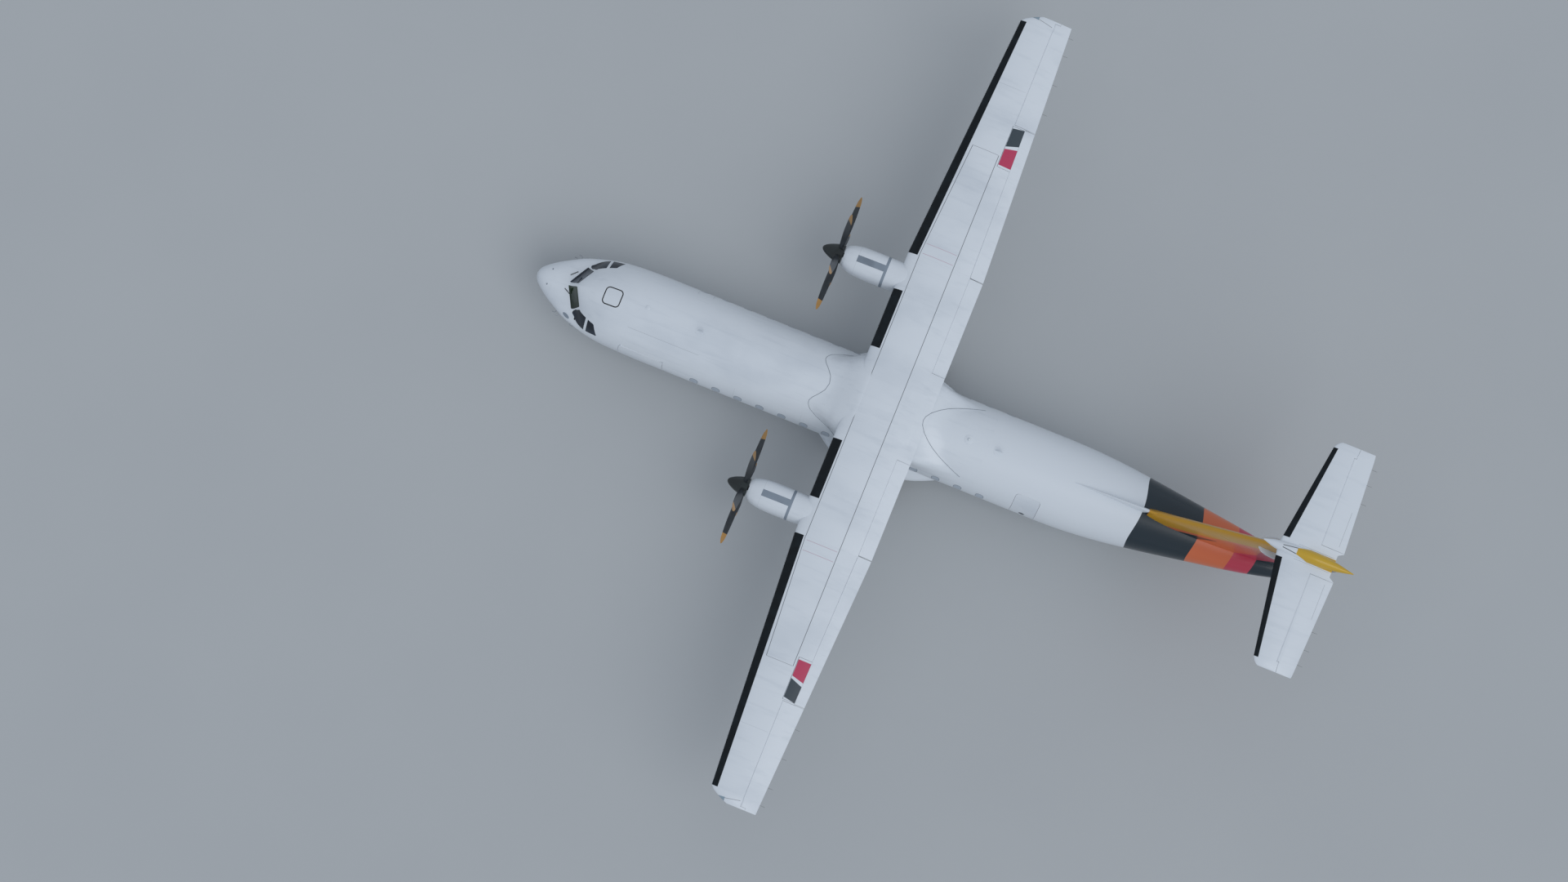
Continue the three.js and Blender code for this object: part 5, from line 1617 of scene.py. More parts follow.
@dataclass
class Wing:
    """The high wing: a straight centre section and tapered outer panels with drooped, rounded tips."""

    centre_half: float = 4.83
    z: float = 3.45
    incidence_drop: float = 0.045
    camber: float = 0.02
    edge: float = 0.004
    dihedral: float = math.tan(math.radians(2.5))
    root: tuple[float, float, float] = (10.92, 13.515, 0.18)
    tip_start: float = 13.15
    flap_station: float = 13.07
    flap_sweep: float = 0.026
    flap_spans: dict[str, Span] = field(
        default_factory=lambda: {"inner": (1.5, 4.77), "outer": (4.805, 9.86)})
    flap_ends: dict[str, Span] = field(
        default_factory=lambda: {"inner": (1.5, 4.77), "outer": (4.805, 9.876)})
    flap_arms: dict[str, Span] = field(default_factory=lambda: {"inner": (2.1, 3.15), "outer": (5.9, 8.6)})
    aileron: tuple[float, float, float] = (9.905, 13.455, 12.6)
    spoiler: tuple[float, float, float, float] = (8.45, 9.85, 12.535, 12.915)
    spoiler_pin: float = 0.009
    fairing: Outline = ((-0.76, 0.19), (-0.42, 0.02), (-0.06, -0.052), (0.038, -0.046), (0.052, 0.0),
                        (0.04, 0.062), (-0.112, 0.096), (-0.112, 0.26), (-0.7, 0.3))
    fork: Outline = ((-0.062, -0.08), (0.09, -0.08), (0.09, 0.14), (-0.062, 0.14))
    arm: Outline = ((-0.014, -0.018), (0.018, -0.018), (0.26, 0.212), (0.3, 0.29), (0.11, 0.29),
                    (0.04, 0.17))
    lens: Outline = ((13.405, 11.5), (13.6, 11.5), (13.6, 12.02), (13.36, 12.01))
    boots: dict[str, Span] = field(default_factory=lambda: {"root": (1.59, 3.58), "outer": (4.835, 13.15)})
    boot_share: float = 0.118

    def __post_init__(self) -> None:
        """Sets out the sections from the root to the tip, and the flaps' hinge lines."""
        tip = [(self.tip_start + 0.375 * t, 11.48 + 0.64 * t**1.5, 13.118 - 0.018 * t, 0.13 - 0.095 * t**2.9)
               for t in (0, 0.3, 0.55, 0.75, 0.9, 1)]
        table = [(0, *self.root), (self.centre_half, *self.root), *tip]
        self.places, self.fronts, self.backs, self.ratios = (np.array(column) for column in zip(*table))
        (a, b), (c, d) = self.flap_spans.values()
        self.hinges = {
            "inner": HingeLine((a, at(12.88), 3.105), (b, at(12.88), 3.105)),
            "outer": HingeLine((c, at(12.885), 3.12), (d, at(12.69), 3.12 + (d - c) * self.dihedral))}

    def section(self, x: float) -> tuple[float, float, float, float]:
        """The wing's section at a place along the span.

        Args:
            x: the place, on either side.

        Returns:
            The front station, the back station, the thickness ratio and the height.
        """
        out = abs(x)
        height = self.z + max(0.0, out - self.centre_half) * self.dihedral
        columns = (self.fronts, self.backs, self.ratios)
        return *[float(np.interp(out, self.places, column)) for column in columns], height

    def skin(self, x: float, station: float | np.ndarray, side: int, grow: float = 0.0) -> np.ndarray:
        """Height of the wing's skin.

        Args:
            x: the place along the span.
            station: one station or many.
            side: 1 for the upper skin and -1 for the lower.
            grow: how far outside the skin it lies.

        Returns:
            The height at each station.
        """
        front, back, ratio, height = self.section(x)
        chord = back - front
        f = np.clip((np.asarray(station, float) - front) / chord, 0, 1)
        line = height + self.incidence_drop * (1 - 2 * f) + 4 * self.camber * chord * f * (1 - f)
        half = np.maximum(half_thickness(f, ratio) * chord, np.where(f > 0.5, self.edge, 0))
        return line + side * (half + grow)

    def ring(self, x: float, grow: float = 0.0) -> np.ndarray:
        """A closed section ring, from the trailing edge over the top and back underneath.

        Args:
            x: the place along the span.
            grow: how far outside the skin it lies.

        Returns:
            The ring's points.
        """
        front, back, _, _ = self.section(x)
        spots = [(mix(front - grow, back + grow, share), side) for share, side in around_chord(30)]
        return np.array([(x, at(s), float(self.skin(x, s, side, grow))) for s, side in spots])

    def panel(self, start: float, end: float, grow: float = 0.0) -> Shape:
        """The whole wing between two places along the span.

        Args:
            start: the first place.
            end: the last place.
            grow: how far outside the skin it lies.

        Returns:
            The closed panel.
        """
        marks = sorted({start, end, *[s * m for m in self.places for s in (1, -1) if start < s * m < end]})
        xs = []
        for a, b in zip(marks, marks[1:]):
            count = max(1, math.ceil((b - a) / 1.1))
            xs += [mix(a, b, i / count) for i in range(count)]
        return Shape.loft([self.ring(x, grow) for x in (*xs, end)])

    def _prism(self, start: float, end: float, outline: Callable[[float], Outline]) -> Shape:
        """A prism along the span from an outline of (station, z) at each end."""
        return Shape.loft([np.array([(x, at(s), z) for s, z in outline(x)]) for x in (start, end)])

    def _flap_nose(self, x: float) -> float:
        """The station where the flap's nose meets the upper skin."""
        return self.flap_station - max(0.0, x - self.centre_half) * self.flap_sweep

    def flap_prism(self, start: float, end: float, forward: float = 0.0) -> Shape:
        """The space of a flap, behind its slanted nose.

        Args:
            start: its first place along the span.
            end: its last place along the span.
            forward: how far ahead of the flap's nose it starts.

        Returns:
            The closed prism.
        """
        reach, lip, behind = 0.15, 0.012, 14.5

        def outline(x: float) -> Outline:
            """The prism's section.

            Args:
                x: the place along the span.

            Returns:
                Its corners.
            """
            up = self._flap_nose(x)
            low = up - mix(0.255, 0.2, min(1.0, max(0.0, (x - self.centre_half) / 5)))
            top, under = float(self.skin(x, up, 1)), float(self.skin(x, low, -1))
            slope = (up - low) / (top - under)
            front = up - forward + slope * lip
            return [(low - forward - slope * reach, under - reach), (behind, under - reach),
                    (behind, top + reach), (front, top + reach), (front, top + lip)]

        return self._prism(start, end, outline)

    def spoiler_prism(self, grow: float, above: float) -> Shape:
        """The space of the spoiler panel in the upper skin.

        Args:
            grow: the room around it, or 0 for the panel itself.
            above: how far it reaches over the skin.

        Returns:
            The closed prism.
        """
        start, end, front, back = self.spoiler
        lead, side = (front - 0.017, 0.01) if grow else (front, 0)

        def outline(x: float) -> Outline:
            """The prism's section, whose rear follows the flap's nose.

            Args:
                x: the place along the span.

            Returns:
                Its corners.
            """
            trail = back + 0.2 if grow else self._flap_nose(x) - 0.008
            foot = trail if grow else trail - 0.024
            fore, aft = (float(self.skin(x, s, 1)) for s in (lead, trail))
            return [(lead, fore - 0.026 - grow), (foot, aft - 0.013 - grow), (trail, aft - grow),
                    (trail, aft + above - grow), (lead, fore + above - grow)]

        return self._prism(start - side, end + side, outline)

    def flap_gear(self, kind: str) -> dict[str, list[Shape]]:
        """The hinges of a flap.

        Args:
            kind: inner or outer.

        Returns:
            Their fairings, the slots of their forks and their arms.
        """
        line, (start, end), eye = self.hinges[kind], self.flap_spans[kind], 0.019 - SEAT_GAP
        spots = [(x - start) / (end - start) * line.length for x in self.flap_arms[kind]]
        return {"fairings": [line.plate(spot, 0.038, self.fairing) for spot in spots],
                "forks": [line.plate(spot, 0.019, self.fork) for spot in spots],
                "arms": [line.plate(spot, 0.012, self.arm).join(line.bar(spot - eye, spot + eye, 0.03))
                         for spot in spots]}

    def aileron_split(self) -> ControlSplit:
        """How the aileron is split from the outer panel.

        Returns:
            The split along its straight hinge line.
        """
        start, end, front = self.aileron

        def middle(x: float) -> float:
            """Height halfway through the wing at the hinge."""
            return float(self.skin(x, front, 1) + self.skin(x, front, -1)) / 2

        ends = middle(start), middle(self.tip_start)

        def height(x: float) -> float:
            """Height of the straight hinge line."""
            return mix(*ends, (x - start) / (self.tip_start - start))

        line = HingeLine((start, at(front), height(start)), (end, at(front), height(end)))
        radii = []
        for x in (start, 11.5, self.tip_start, 13.4, end):
            reach = max(abs(float(self.skin(x, front, side)) - height(x)) for side in (1, -1))
            radii.append(((x - start) / (end - start) * line.length, reach + 0.01))
        return ControlSplit(line, radii, 0.135, 0.08)

    def boot(self, start: float, end: float) -> Shape:
        """A de-icing boot: a thin strip that wraps the leading edge.

        Args:
            start: its first place along the span.
            end: its last place along the span.

        Returns:
            The closed strip.
        """
        outline = boot_outline([(x, *self.section(x)[:2]) for x in (start, end)], self.boot_share)
        band = self.panel(start - 0.1, end + 0.1, BOOT_RISE)
        band = band.cut(self.panel(start - 0.2, end + 0.2, -SKIN_DEPTH))
        return band.common(Shape.plate(outline, FAR, seen_from_above(2.5)))

    def dress(self, shop: Workshop) -> None:
        """Places the wing, its flaps, ailerons, spoilers and boots.

        Args:
            shop: what holds the finishes.
        """
        gear = {kind: self.flap_gear(kind) for kind in self.flap_spans}
        centre = self.panel(-self.centre_half + SEAT_GAP, self.centre_half - SEAT_GAP)
        hole = self.flap_prism(1.492, self.centre_half + 0.02, MOVING_GAP)
        parts = {key: [*group, *[shape.mirrored() for shape in group]]
                 for key, group in gear["inner"].items()}
        centre = centre.cut(hole, hole.mirrored()).join(*parts["fairings"]).cut(*parts["forks"])
        shop.place("wing_centre_box", centre, "wing", nodes="wing_centre")
        outer = self.panel(self.centre_half + SEAT_GAP, HALF_SPAN)
        split, line, pin = self.aileron_split(), self._spoiler_line(), self.spoiler_pin
        room = self.flap_prism(4.7, 9.89, MOVING_GAP), self.spoiler_prism(MOVING_GAP, 0.06)
        pins = line.bar(-0.06, -0.0043, pin), line.bar(line.length + 0.0043, line.length + 0.045, pin)
        panel = split.fixed(outer).cut(*room).join(*gear["outer"]["fairings"], *pins)
        panel = panel.cut(*gear["outer"]["forks"])
        shop.pair("outer_wing_*", panel, "wing", nodes="wing_*")
        wholes = {"inner": self.panel(0.5, self.centre_half - SEAT_GAP),
                  "outer": self.panel(4.785, self.tip_start)}
        for kind, whole in wholes.items():
            flap = whole.common(self.flap_prism(*self.flap_ends[kind])).join(*gear[kind]["arms"])
            shop.pair(f"{kind}_flap_*", flap, "wing", f"flap_{kind}_*", f"flap_{kind}_*", "control_skin")
        shop.pair("aileron_surface_*", split.moving(outer), "wing", "aileron_*", "aileron_*", "control_skin")
        pins = line.bar(-0.004, 0.06, pin), line.bar(line.length - 0.06, line.length + 0.004, pin)
        spoiler = outer.common(self.spoiler_prism(0, 0.04)).join(*pins)
        shop.pair("spoiler_panel_*", spoiler, "spoiler", "spoiler_*", "spoiler_*")
        for name, span in self.boots.items():
            shop.pair(f"wing_boot_{name}_*", self.boot(*span), "boot")
        cover = Shape.plate([(x, at(s)) for x, s in self.lens], 2.0, seen_from_above(3.0))
        cover = self.panel(13.2, HALF_SPAN - 0.004, 0.003).common(cover)
        shop.pair("wing_tip_lens_*", cover, "cover_glass")

    def _spoiler_line(self) -> HingeLine:
        """The spoiler's hinge line, just under the skin at the front of the panel.

        Returns:
            The line from its inner end to its outer end.
        """
        start, end, front, _ = self.spoiler
        depth = 0.013
        return HingeLine(*[(x, at(front + 0.014), float(self.skin(x, front, 1)) - depth)
                           for x in (start, end)])


@dataclass
class Nacelle:
    """An engine nacelle: the cowl ahead of the firewall, the tail under the wing and the exhaust."""

    x: float = NACELLE_X
    cowl_end: float = 10.515
    tail_end: float = 12.78
    profile: Profile = field(default_factory=lambda: Profile("station half top middle bottom", [
        (COWL_FRONT, 0.29, 3.4, 3.0, 2.58), (9.15, 0.375, 3.45, 2.99, 2.48), (9.6, 0.485, 3.53, 2.96, 2.34),
        (10.05, 0.497, 3.57, 2.94, 2.29), (10.515, 0.492, 3.6, 2.94, 2.29), (10.92, 0.485, 3.66, 2.96, 2.33),
        (11.15, 0.475, 3.685, 2.98, 2.38), (11.5, 0.455, 3.68, 3.0, 2.45), (12.1, 0.39, 3.56, 3.08, 2.69),
        (12.78, 0.07, 3.42, 3.33, 3.18)]))
    squareness: Span = (2.7, 2.2)
    strip_half: float = 0.11
    strip: Span = (9.49, 10.425)
    band: Span = (10.425, 10.515)

    def _skin(self, start: float, end: float, grow: float = 0.0) -> Shape:
        """The nacelle between two stations."""
        return body_loft(self.profile, 0.16, 96, grow, (start, end), *self.squareness, self.x)

    def _exhaust(self, grow: float) -> Shape:
        """The outside of the exhaust pipe."""
        start, end = (self.x + 0.455, at(10.96), 2.88), (self.x + 0.505, at(11.42), 2.84)
        return Shape.rod(start, end, 0.105, 48, grow)

    def dress(self, wing: Shape, shop: Workshop) -> None:
        """Places both nacelles.

        Args:
            wing: the centre wing, grown by the seat gap.
            shop: what holds the finishes.
        """
        intake = Shape.loft([
            ring_at(s, half=0.19, top=2.7, middle=2.65, bottom=2.6, sides=48, upper=3.0, lower=3.0,
                    centre=self.x)
            for s in (COWL_FRONT - 0.02, COWL_FRONT + 0.18)])
        cowl = self._skin(COWL_FRONT, self.cowl_end - SEAT_GAP).cut(intake)
        shop.pair("engine_cowl_*", cowl, "cowl", nodes="nacelle_cowl_*")
        tail = self._skin(self.cowl_end, self.tail_end).cut(wing, self._exhaust(SEAT_GAP))
        shop.pair("nacelle_afterbody_*", tail, "cowl", nodes="nacelle_tail_*")
        bore = Shape.rod((self.x + 0.48, at(11.19), 2.86), (self.x + 0.507, at(11.44), 2.838), 0.093, 48)
        shop.pair("exhaust_pipe_*", self._exhaust(0).cut(bore), "exhaust", nodes="exhaust_*")
        band = self._skin(*self.band, 0.0015).cut(self._skin(10.3, 10.7, -SKIN_DEPTH))
        shop.pair("firewall_band_*", band, "grey_band")
        strip = self._skin(*self.strip, 0.0012).cut(self._skin(9.3, 10.6, -SKIN_DEPTH))
        x, half = self.x, self.strip_half
        window = Shape.block((x - half, at(9.0), 3.3), (x + half, at(11.0), 4.0))
        shop.pair("cowl_walkway_*", strip.common(window), "grey_band")


@dataclass
class Propeller:
    """A six-bladed propeller with its hub and pointed spinner."""

    x: float = NACELLE_X
    z: float = PROPELLER_Z
    blade_count: int = 6
    blade_sides: int = 28
    spinner_tip: float = 8.31
    spinner_back: float = 8.78
    hub_back: float = 9.01
    spinner_radius: float = 0.29
    shaft_radius: float = 0.08
    blade_station: float = 8.87
    tip_round: Span = (1.8, 0.165)
    blade: Profile = field(default_factory=lambda: Profile("radius chord thickness pitch", [
        (0.24, 0.12, 0.1, 66), (0.42, 0.165, 0.072, 62), (0.8, 0.25, 0.04, 51), (1.25, 0.29, 0.026, 41),
        (1.75, 0.25, 0.014, 33), (1.965, 0.12, 0.006, 29)]))

    def _blade(self) -> Shape:
        """One blade, standing on its own Z: thin sections that twist towards the tip.

        Returns:
            The closed blade.
        """
        rings = []
        angle, (tip_from, tip_length) = np.array(_turns(self.blade_sides)), self.tip_round
        for radius in self.blade.between(0.24, 1.965, 0.07):
            chord, thickness, pitch = self.blade.row("chord thickness pitch", radius)
            chord *= math.sqrt(max(0.04, 1 - 0.8 * max(0.0, (radius - tip_from) / tip_length) ** 3))
            along = chord / 2 * np.cos(angle)
            across = thickness / 2 * np.sin(angle) * (1 - 0.35 * np.cos(angle))
            c, s = math.cos(math.radians(pitch)), math.sin(math.radians(pitch))
            rings.append(np.stack([along * c - across * s, along * s + across * c,
                                   np.full(self.blade_sides, radius)], axis=1))
        return Shape.loft(rings)

    def dress(self, shop: Workshop) -> None:
        """Places both propellers and spinners, which aren't mirrored because both turn the same way.

        Args:
            shop: what holds the finishes.
        """
        length, depth = self.spinner_back - self.spinner_tip, self.hub_back - self.spinner_back
        shares = np.linspace(0, 1, 22) ** 1.8
        curve = [(self.spinner_radius * share**0.51, share * length) for share in shares]
        hub = [(0, 0), (0.288, 0), (0.291, 0.004), (0.306, 0.11), (0.312, depth - 0.01), (0.3, depth),
               (0, depth)]
        blade = self._blade()
        for side in Side:
            x, word = self.x * side.sign, side.word
            body, aft = f"propeller_{word}", ((0, 0, 1), (1, 0, 0), (0, 1, 0))
            spinner = Shape.turned([*curve, (0, length)], stand(*aft, (x, at(self.spinner_tip), self.z)), 96)
            shop.place(f"spinner_cone_{word}", spinner, "spinner", body, f"spinner_{word}")
            spots = [Spot((x, at(self.blade_station), self.z), (math.cos(t), 0, -math.sin(t)),
                          (-math.sin(t), 0, -math.cos(t))) for t in _turns(self.blade_count)]
            blades = shop.repeater.spread(blade, spots, shop.paints["blade"])
            core = Shape.turned(hub, stand(*aft, (x, at(self.spinner_back) + SEAT_GAP, self.z)), 96)
            front, back = at(self.hub_back) - 0.04, at(COWL_FRONT) - SEAT_GAP
            core = core.join(Shape.rod((x, front, self.z), (x, back, self.z), self.shaft_radius))
            shop.place(f"propeller_hub_{word}", core, "spinner", body, body)
            shop.place(f"propeller_blades_{word}", blades, "blade", body)


@dataclass
class Tail:
    """The fin with its dorsal fin and rudder, and the tailplane with its bullet and elevators."""

    hull: Fuselage
    plane_z: float = 7.35
    edge: float = 0.004
    fin_rows: Sequence[Sequence[float]] = ((2.9, 20.575, 26.255, 0.47), (3.65, 21.3, 26.368, 0.4),
                                           (7.3, 24.848, 26.915, 0.232))
    plane_rows: Sequence[Sequence[float]] = ((0, 24.72, 26.722, 0.24), (3.44, 25.245, 26.548, 0.158),
                                             (3.55, 25.31, 26.54, 0.115), (3.625, 25.39, 26.53, 0.07),
                                             (3.655, 25.45, 26.52, 0.04))
    dorsal: Profile = field(default_factory=lambda: Profile("station half top middle bottom", [
        (18.58, 0.012, 3.262, 3.15, 3.08), (19.8, 0.048, 3.42, 3.15, 3.08), (20.8, 0.082, 3.56, 3.15, 3.08),
        (21.7, 0.105, 3.76, 3.15, 3.08)]))
    bullet: Profile = field(default_factory=lambda: Profile("station half top middle bottom", [
        (24.26, 0.018, 7.392, 7.37, 7.35), (24.6, 0.12, 7.49, 7.36, 7.19), (25.2, 0.205, 7.6, 7.35, 7.12),
        (25.9, 0.215, 7.65, 7.355, 7.105), (26.5, 0.15, 7.59, 7.38, 7.18),
        (LENGTH, 0.014, 7.425, 7.4, 7.378)]))
    notch: Outline = ((-0.47, 26.72), (-0.355, 26.53), (0.355, 26.53), (0.47, 26.72), (0.47, 26.9),
                      (-0.47, 26.9))
    rudder_low: Span = (25.09, 3.48)
    rudder_high: Span = (25.9, 6.985)
    elevator: tuple[float, float, float] = (0.47, 3.33, 25.965)
    boot: tuple[float, float, float] = (0.32, 3.42, 0.1)
    antenna: Outline = ((24.3, 0.03), (24.33, 0.16), (24.42, 0.25), (24.6, 0.31), (24.85, 0.335),
                        (25.1, 0.31), (25.25, 0.22), (25.32, 0.05))
    antenna_z: float = 6.34
    vent: tuple[Point, Point] = ((26.27, 26.312, 0.115), (26.285, 26.4, 0.1))

    def _row(self, rows: Sequence[Sequence[float]], where: float) -> list[float]:
        """Front, back and thickness of a section at a place."""
        columns = list(zip(*rows))
        return [float(np.interp(where, columns[0], column)) for column in columns[1:]]

    def _half(self, rows: Sequence[Sequence[float]], where: float, station: float) -> float:
        """Half thickness of a section at a station.

        Args:
            rows: the sections of the fin or the tailplane.
            where: the section's place among them.
            station: the station.

        Returns:
            The half thickness.
        """
        front, back, thickness = self._row(rows, where)
        chord = back - front
        f = min(1.0, max(0.0, (station - front) / chord))
        return max(float(half_thickness(f, thickness / chord)) * chord, self.edge)

    def _section(self, rows: Sequence[Sequence[float]], where: float, grow: float) -> list[Span]:
        """A closed ring around a section.

        Args:
            rows: the sections of the fin or the tailplane.
            where: the section's place among them.
            grow: how far outside the skin it lies.

        Returns:
            The station of each point and its offset from the middle.
        """
        front, back, _ = self._row(rows, where)
        ring = []
        for share, side in around_chord(26):
            station = mix(front - grow, back + grow, share)
            ring.append((station, side * (self._half(rows, where, station) + grow)))
        return ring

    def plane(self, grow: float = 0.0) -> Shape:
        """The whole tailplane with its bullet fairing.

        Args:
            grow: how much larger it is all round.

        Returns:
            The closed form.
        """
        outs, rows, z = [row[0] for row in self.plane_rows], self.plane_rows, self.plane_z
        rings = [np.array([(x, at(s), z + offset) for s, offset in self._section(rows, abs(x), grow)])
                 for x in (*[-x for x in outs[::-1]], *outs[1:])]
        notch = Shape.plate([(x, at(s)) for x, s in self.notch], 0.4, seen_from_above(z - 0.2))
        return Shape.loft(rings).cut(notch).join(body_loft(self.bullet, 0.1, 64, grow))

    def fin(self) -> Shape:
        """The whole fin with its dorsal fin, seated on the hull and under the tailplane.

        Returns:
            The closed form.
        """
        rings = [np.array([(x, at(s), row[0]) for s, x in self._section(self.fin_rows, row[0], 0)])
                 for row in self.fin_rows]
        whole = Shape.loft(rings).join(body_loft(self.dorsal, 0.2, 64))
        return whole.cut(self.hull.skin(18.0, 26.3, SEAT_GAP), self.plane(SEAT_GAP))

    def plane_boot(self, start: float, end: float, share: float) -> Shape:
        """A de-icing boot around the tailplane's leading edge, as a thin strip.

        Args:
            start: its first place along the span.
            end: its last place along the span.
            share: how much of the chord it covers.

        Returns:
            The closed strip.
        """
        outline = boot_outline([(x, *self._row(self.plane_rows, x)[:2]) for x in (start, end)], share)
        region = Shape.plate(outline, 0.6, seen_from_above(self.plane_z - 0.3))
        return self.plane(BOOT_RISE).cut(self.plane(-SKIN_DEPTH)).common(region)

    def _control(self, rows: Sequence[Sequence[float]], line: HingeLine, low: Span, high: Span,
                 *tip: float) -> ControlSplit:
        """How a control is split off: its nose is as round as the section is thick at each end."""
        radii = [(0, self._half(rows, *low)), (line.length, self._half(rows, *high))]
        return ControlSplit(line, radii, *tip)

    def dress(self, shop: Workshop) -> None:
        """Places the fin, the rudder, the tailplane, the elevators and the boots.

        Args:
            shop: what holds the finishes.
        """
        low, high = self.rudder_low, self.rudder_high
        line = HingeLine((0, at(low[0]), low[1]), (0, at(high[0]), high[1]))
        split, fin = self._control(self.fin_rows, line, low[::-1], high[::-1]), self.fin()
        shop.place("tail_fin", split.fixed(fin), "fin", nodes="fin")
        shop.place("rudder_surface", split.moving(fin), "fin", "rudder", "rudder", "rudder_paint")
        start, end, station = self.elevator
        line = HingeLine(*[(x, at(station), self.plane_z) for x in (start, end)])
        split = self._control(self.plane_rows, line, (start, station), (end, station), 0.07, 0.4)
        plane, moves = self.plane(), "elevator_*"
        shop.place("tailplane_and_bullet", split.fixed(plane, True), "plane", nodes="tailplane")
        shop.pair("elevator_surface_*", split.moving(plane), "plane", moves, moves, "control_skin")
        shop.pair("tailplane_boot_*", self.plane_boot(*self.boot), "boot")
        z = self.antenna_z
        rings = [ring_at(s, half, z + 0.03, z, z - 0.03, 40, 3.0, 3.0) for s, half in self.antenna]
        shop.place("fin_antenna", Shape.loft(rings), "skin")
        vent, bore = (Shape.rod((0, at(a), 2.875), (0, at(b), 2.875), radius, 48)
                      for a, b, radius in self.vent)
        shop.place("tail_cone_vent", vent.cut(bore), "exhaust")


@dataclass
class TwinWheel:
    """Two wheels on one sleeve: their tyres, their rims and the bolts of the rims."""

    repeater: Repeater
    radius: float
    width: float
    rim: float
    offset: float
    sleeve: float
    eye_half: float
    x: float
    station: float
    holes: int = 9
    groove_width: float = 0.008
    groove_depth: float = 0.006

    def __post_init__(self) -> None:
        """Works out the rim's half width, and how far its dish is from the middle of the axle."""
        self.face = 0.36 * self.width
        self.dish = self.offset + self.face * 0.3

    def tyre(self, across: float) -> Shape:
        """A tyre with grooves around its tread.

        Args:
            across: how far it is from the middle of the axle.

        Returns:
            The closed tyre.
        """
        half, wide, floor = self.width / 2, self.groove_width / 2, self.radius - self.groove_depth
        tread, grooves = 0.6 * half, []
        for share in (0.66, 0.22, -0.22, -0.66):
            middle = share * tread
            grooves += [(self.radius, middle + wide), (floor, middle + wide * 0.7),
                        (floor, middle - wide * 0.7), (self.radius, middle - wide)]
        wall = ((0, 0.75), (0.14, 0.8), (0.2, 0.9), (0.5, 1), (0.74, 0.95), (0.9, 0.83))
        shoulder = [*[(mix(self.rim, self.radius, up), out * half) for up, out in wall],
                    (self.radius - 0.002, 0.69 * half), (self.radius, tread)]
        profile = [*shoulder, *grooves, *[(r, -d) for r, d in shoulder[::-1]]]
        x, y, z = self.x + across, at(self.station), self.radius
        rings = [np.array([(x + d, y + r * math.cos(t), z + r * math.sin(t)) for r, d in profile])
                 for t in _turns(96)]
        return Shape.loft(rings, True)

    def _around(self, count: int, across: float, ring: float) -> list[tuple[int, Point]]:
        """Places around the outer faces of both rims.

        Args:
            count: how many there are on each rim.
            across: how far they are from the middle of the axle.
            ring: how far they are from the axle.

        Returns:
            The side, 1 or -1, and the place of each.
        """
        x, y, z = self.x, at(self.station), self.radius
        return [(side, (x + side * across, y + ring * math.cos(t), z + ring * math.sin(t)))
                for t in _turns(count) for side in (1, -1)]

    def hub(self) -> Shape:
        """Both rims on their sleeve, with cooling holes around the dishes.

        Returns:
            The closed hub.
        """
        face, dish, s, seat = self.face, self.dish, self.sleeve, self.rim - SEAT_GAP
        shoulder, lip = self.eye_half + SEAT_GAP, self.offset + face
        wheel = [(s, shoulder), (s * 1.6, shoulder), (s * 1.6, self.offset - face),
                 (seat, self.offset - face), (seat, lip), (seat - 0.012, lip),
                 (seat * 0.86, lip - 0.3 * face), (seat * 0.8, dish + 0.012), (seat * 0.7, dish),
                 (s * 1.75, dish), (s * 1.62, dish + 0.006), (s * 1.3, dish + 0.01),
                 (s * 1.24, lip - 0.008), (s * 1.1, lip), (0, lip)]
        profile = [*[(r, -d) for r, d in wheel[::-1]], *wheel]
        hub = Shape.turned(profile, seen_from_side(self.x, at(self.station), self.radius), 80)
        hole = Shape.rod((-0.08, 0, 0), (0.08, 0, 0), seat * 0.085, 16)
        spots = [Spot(place) for _, place in self._around(self.holes, dish + 0.02, seat * 0.56)]
        return hub.cut(self.repeater.spread(hole, spots))

    def bolts(self, finish: Material) -> Shape:
        """The tie bolts around the outer faces of both rims.

        Args:
            finish: their material.

        Returns:
            All of the bolts.
        """
        bolt = Shape.turned([(0, -0.004), (0.009, -0.004), (0.009, 0.006), (0.007, 0.009), (0, 0.009)],
                            Matrix.Identity(4), 6)
        places = self._around(self.holes * 2, self.dish, self.rim * 0.72)
        spots = [Spot(place, (side, 0, 0), (0, 1, 0)) for side, place in places]
        return self.repeater.spread(bolt, spots, finish)


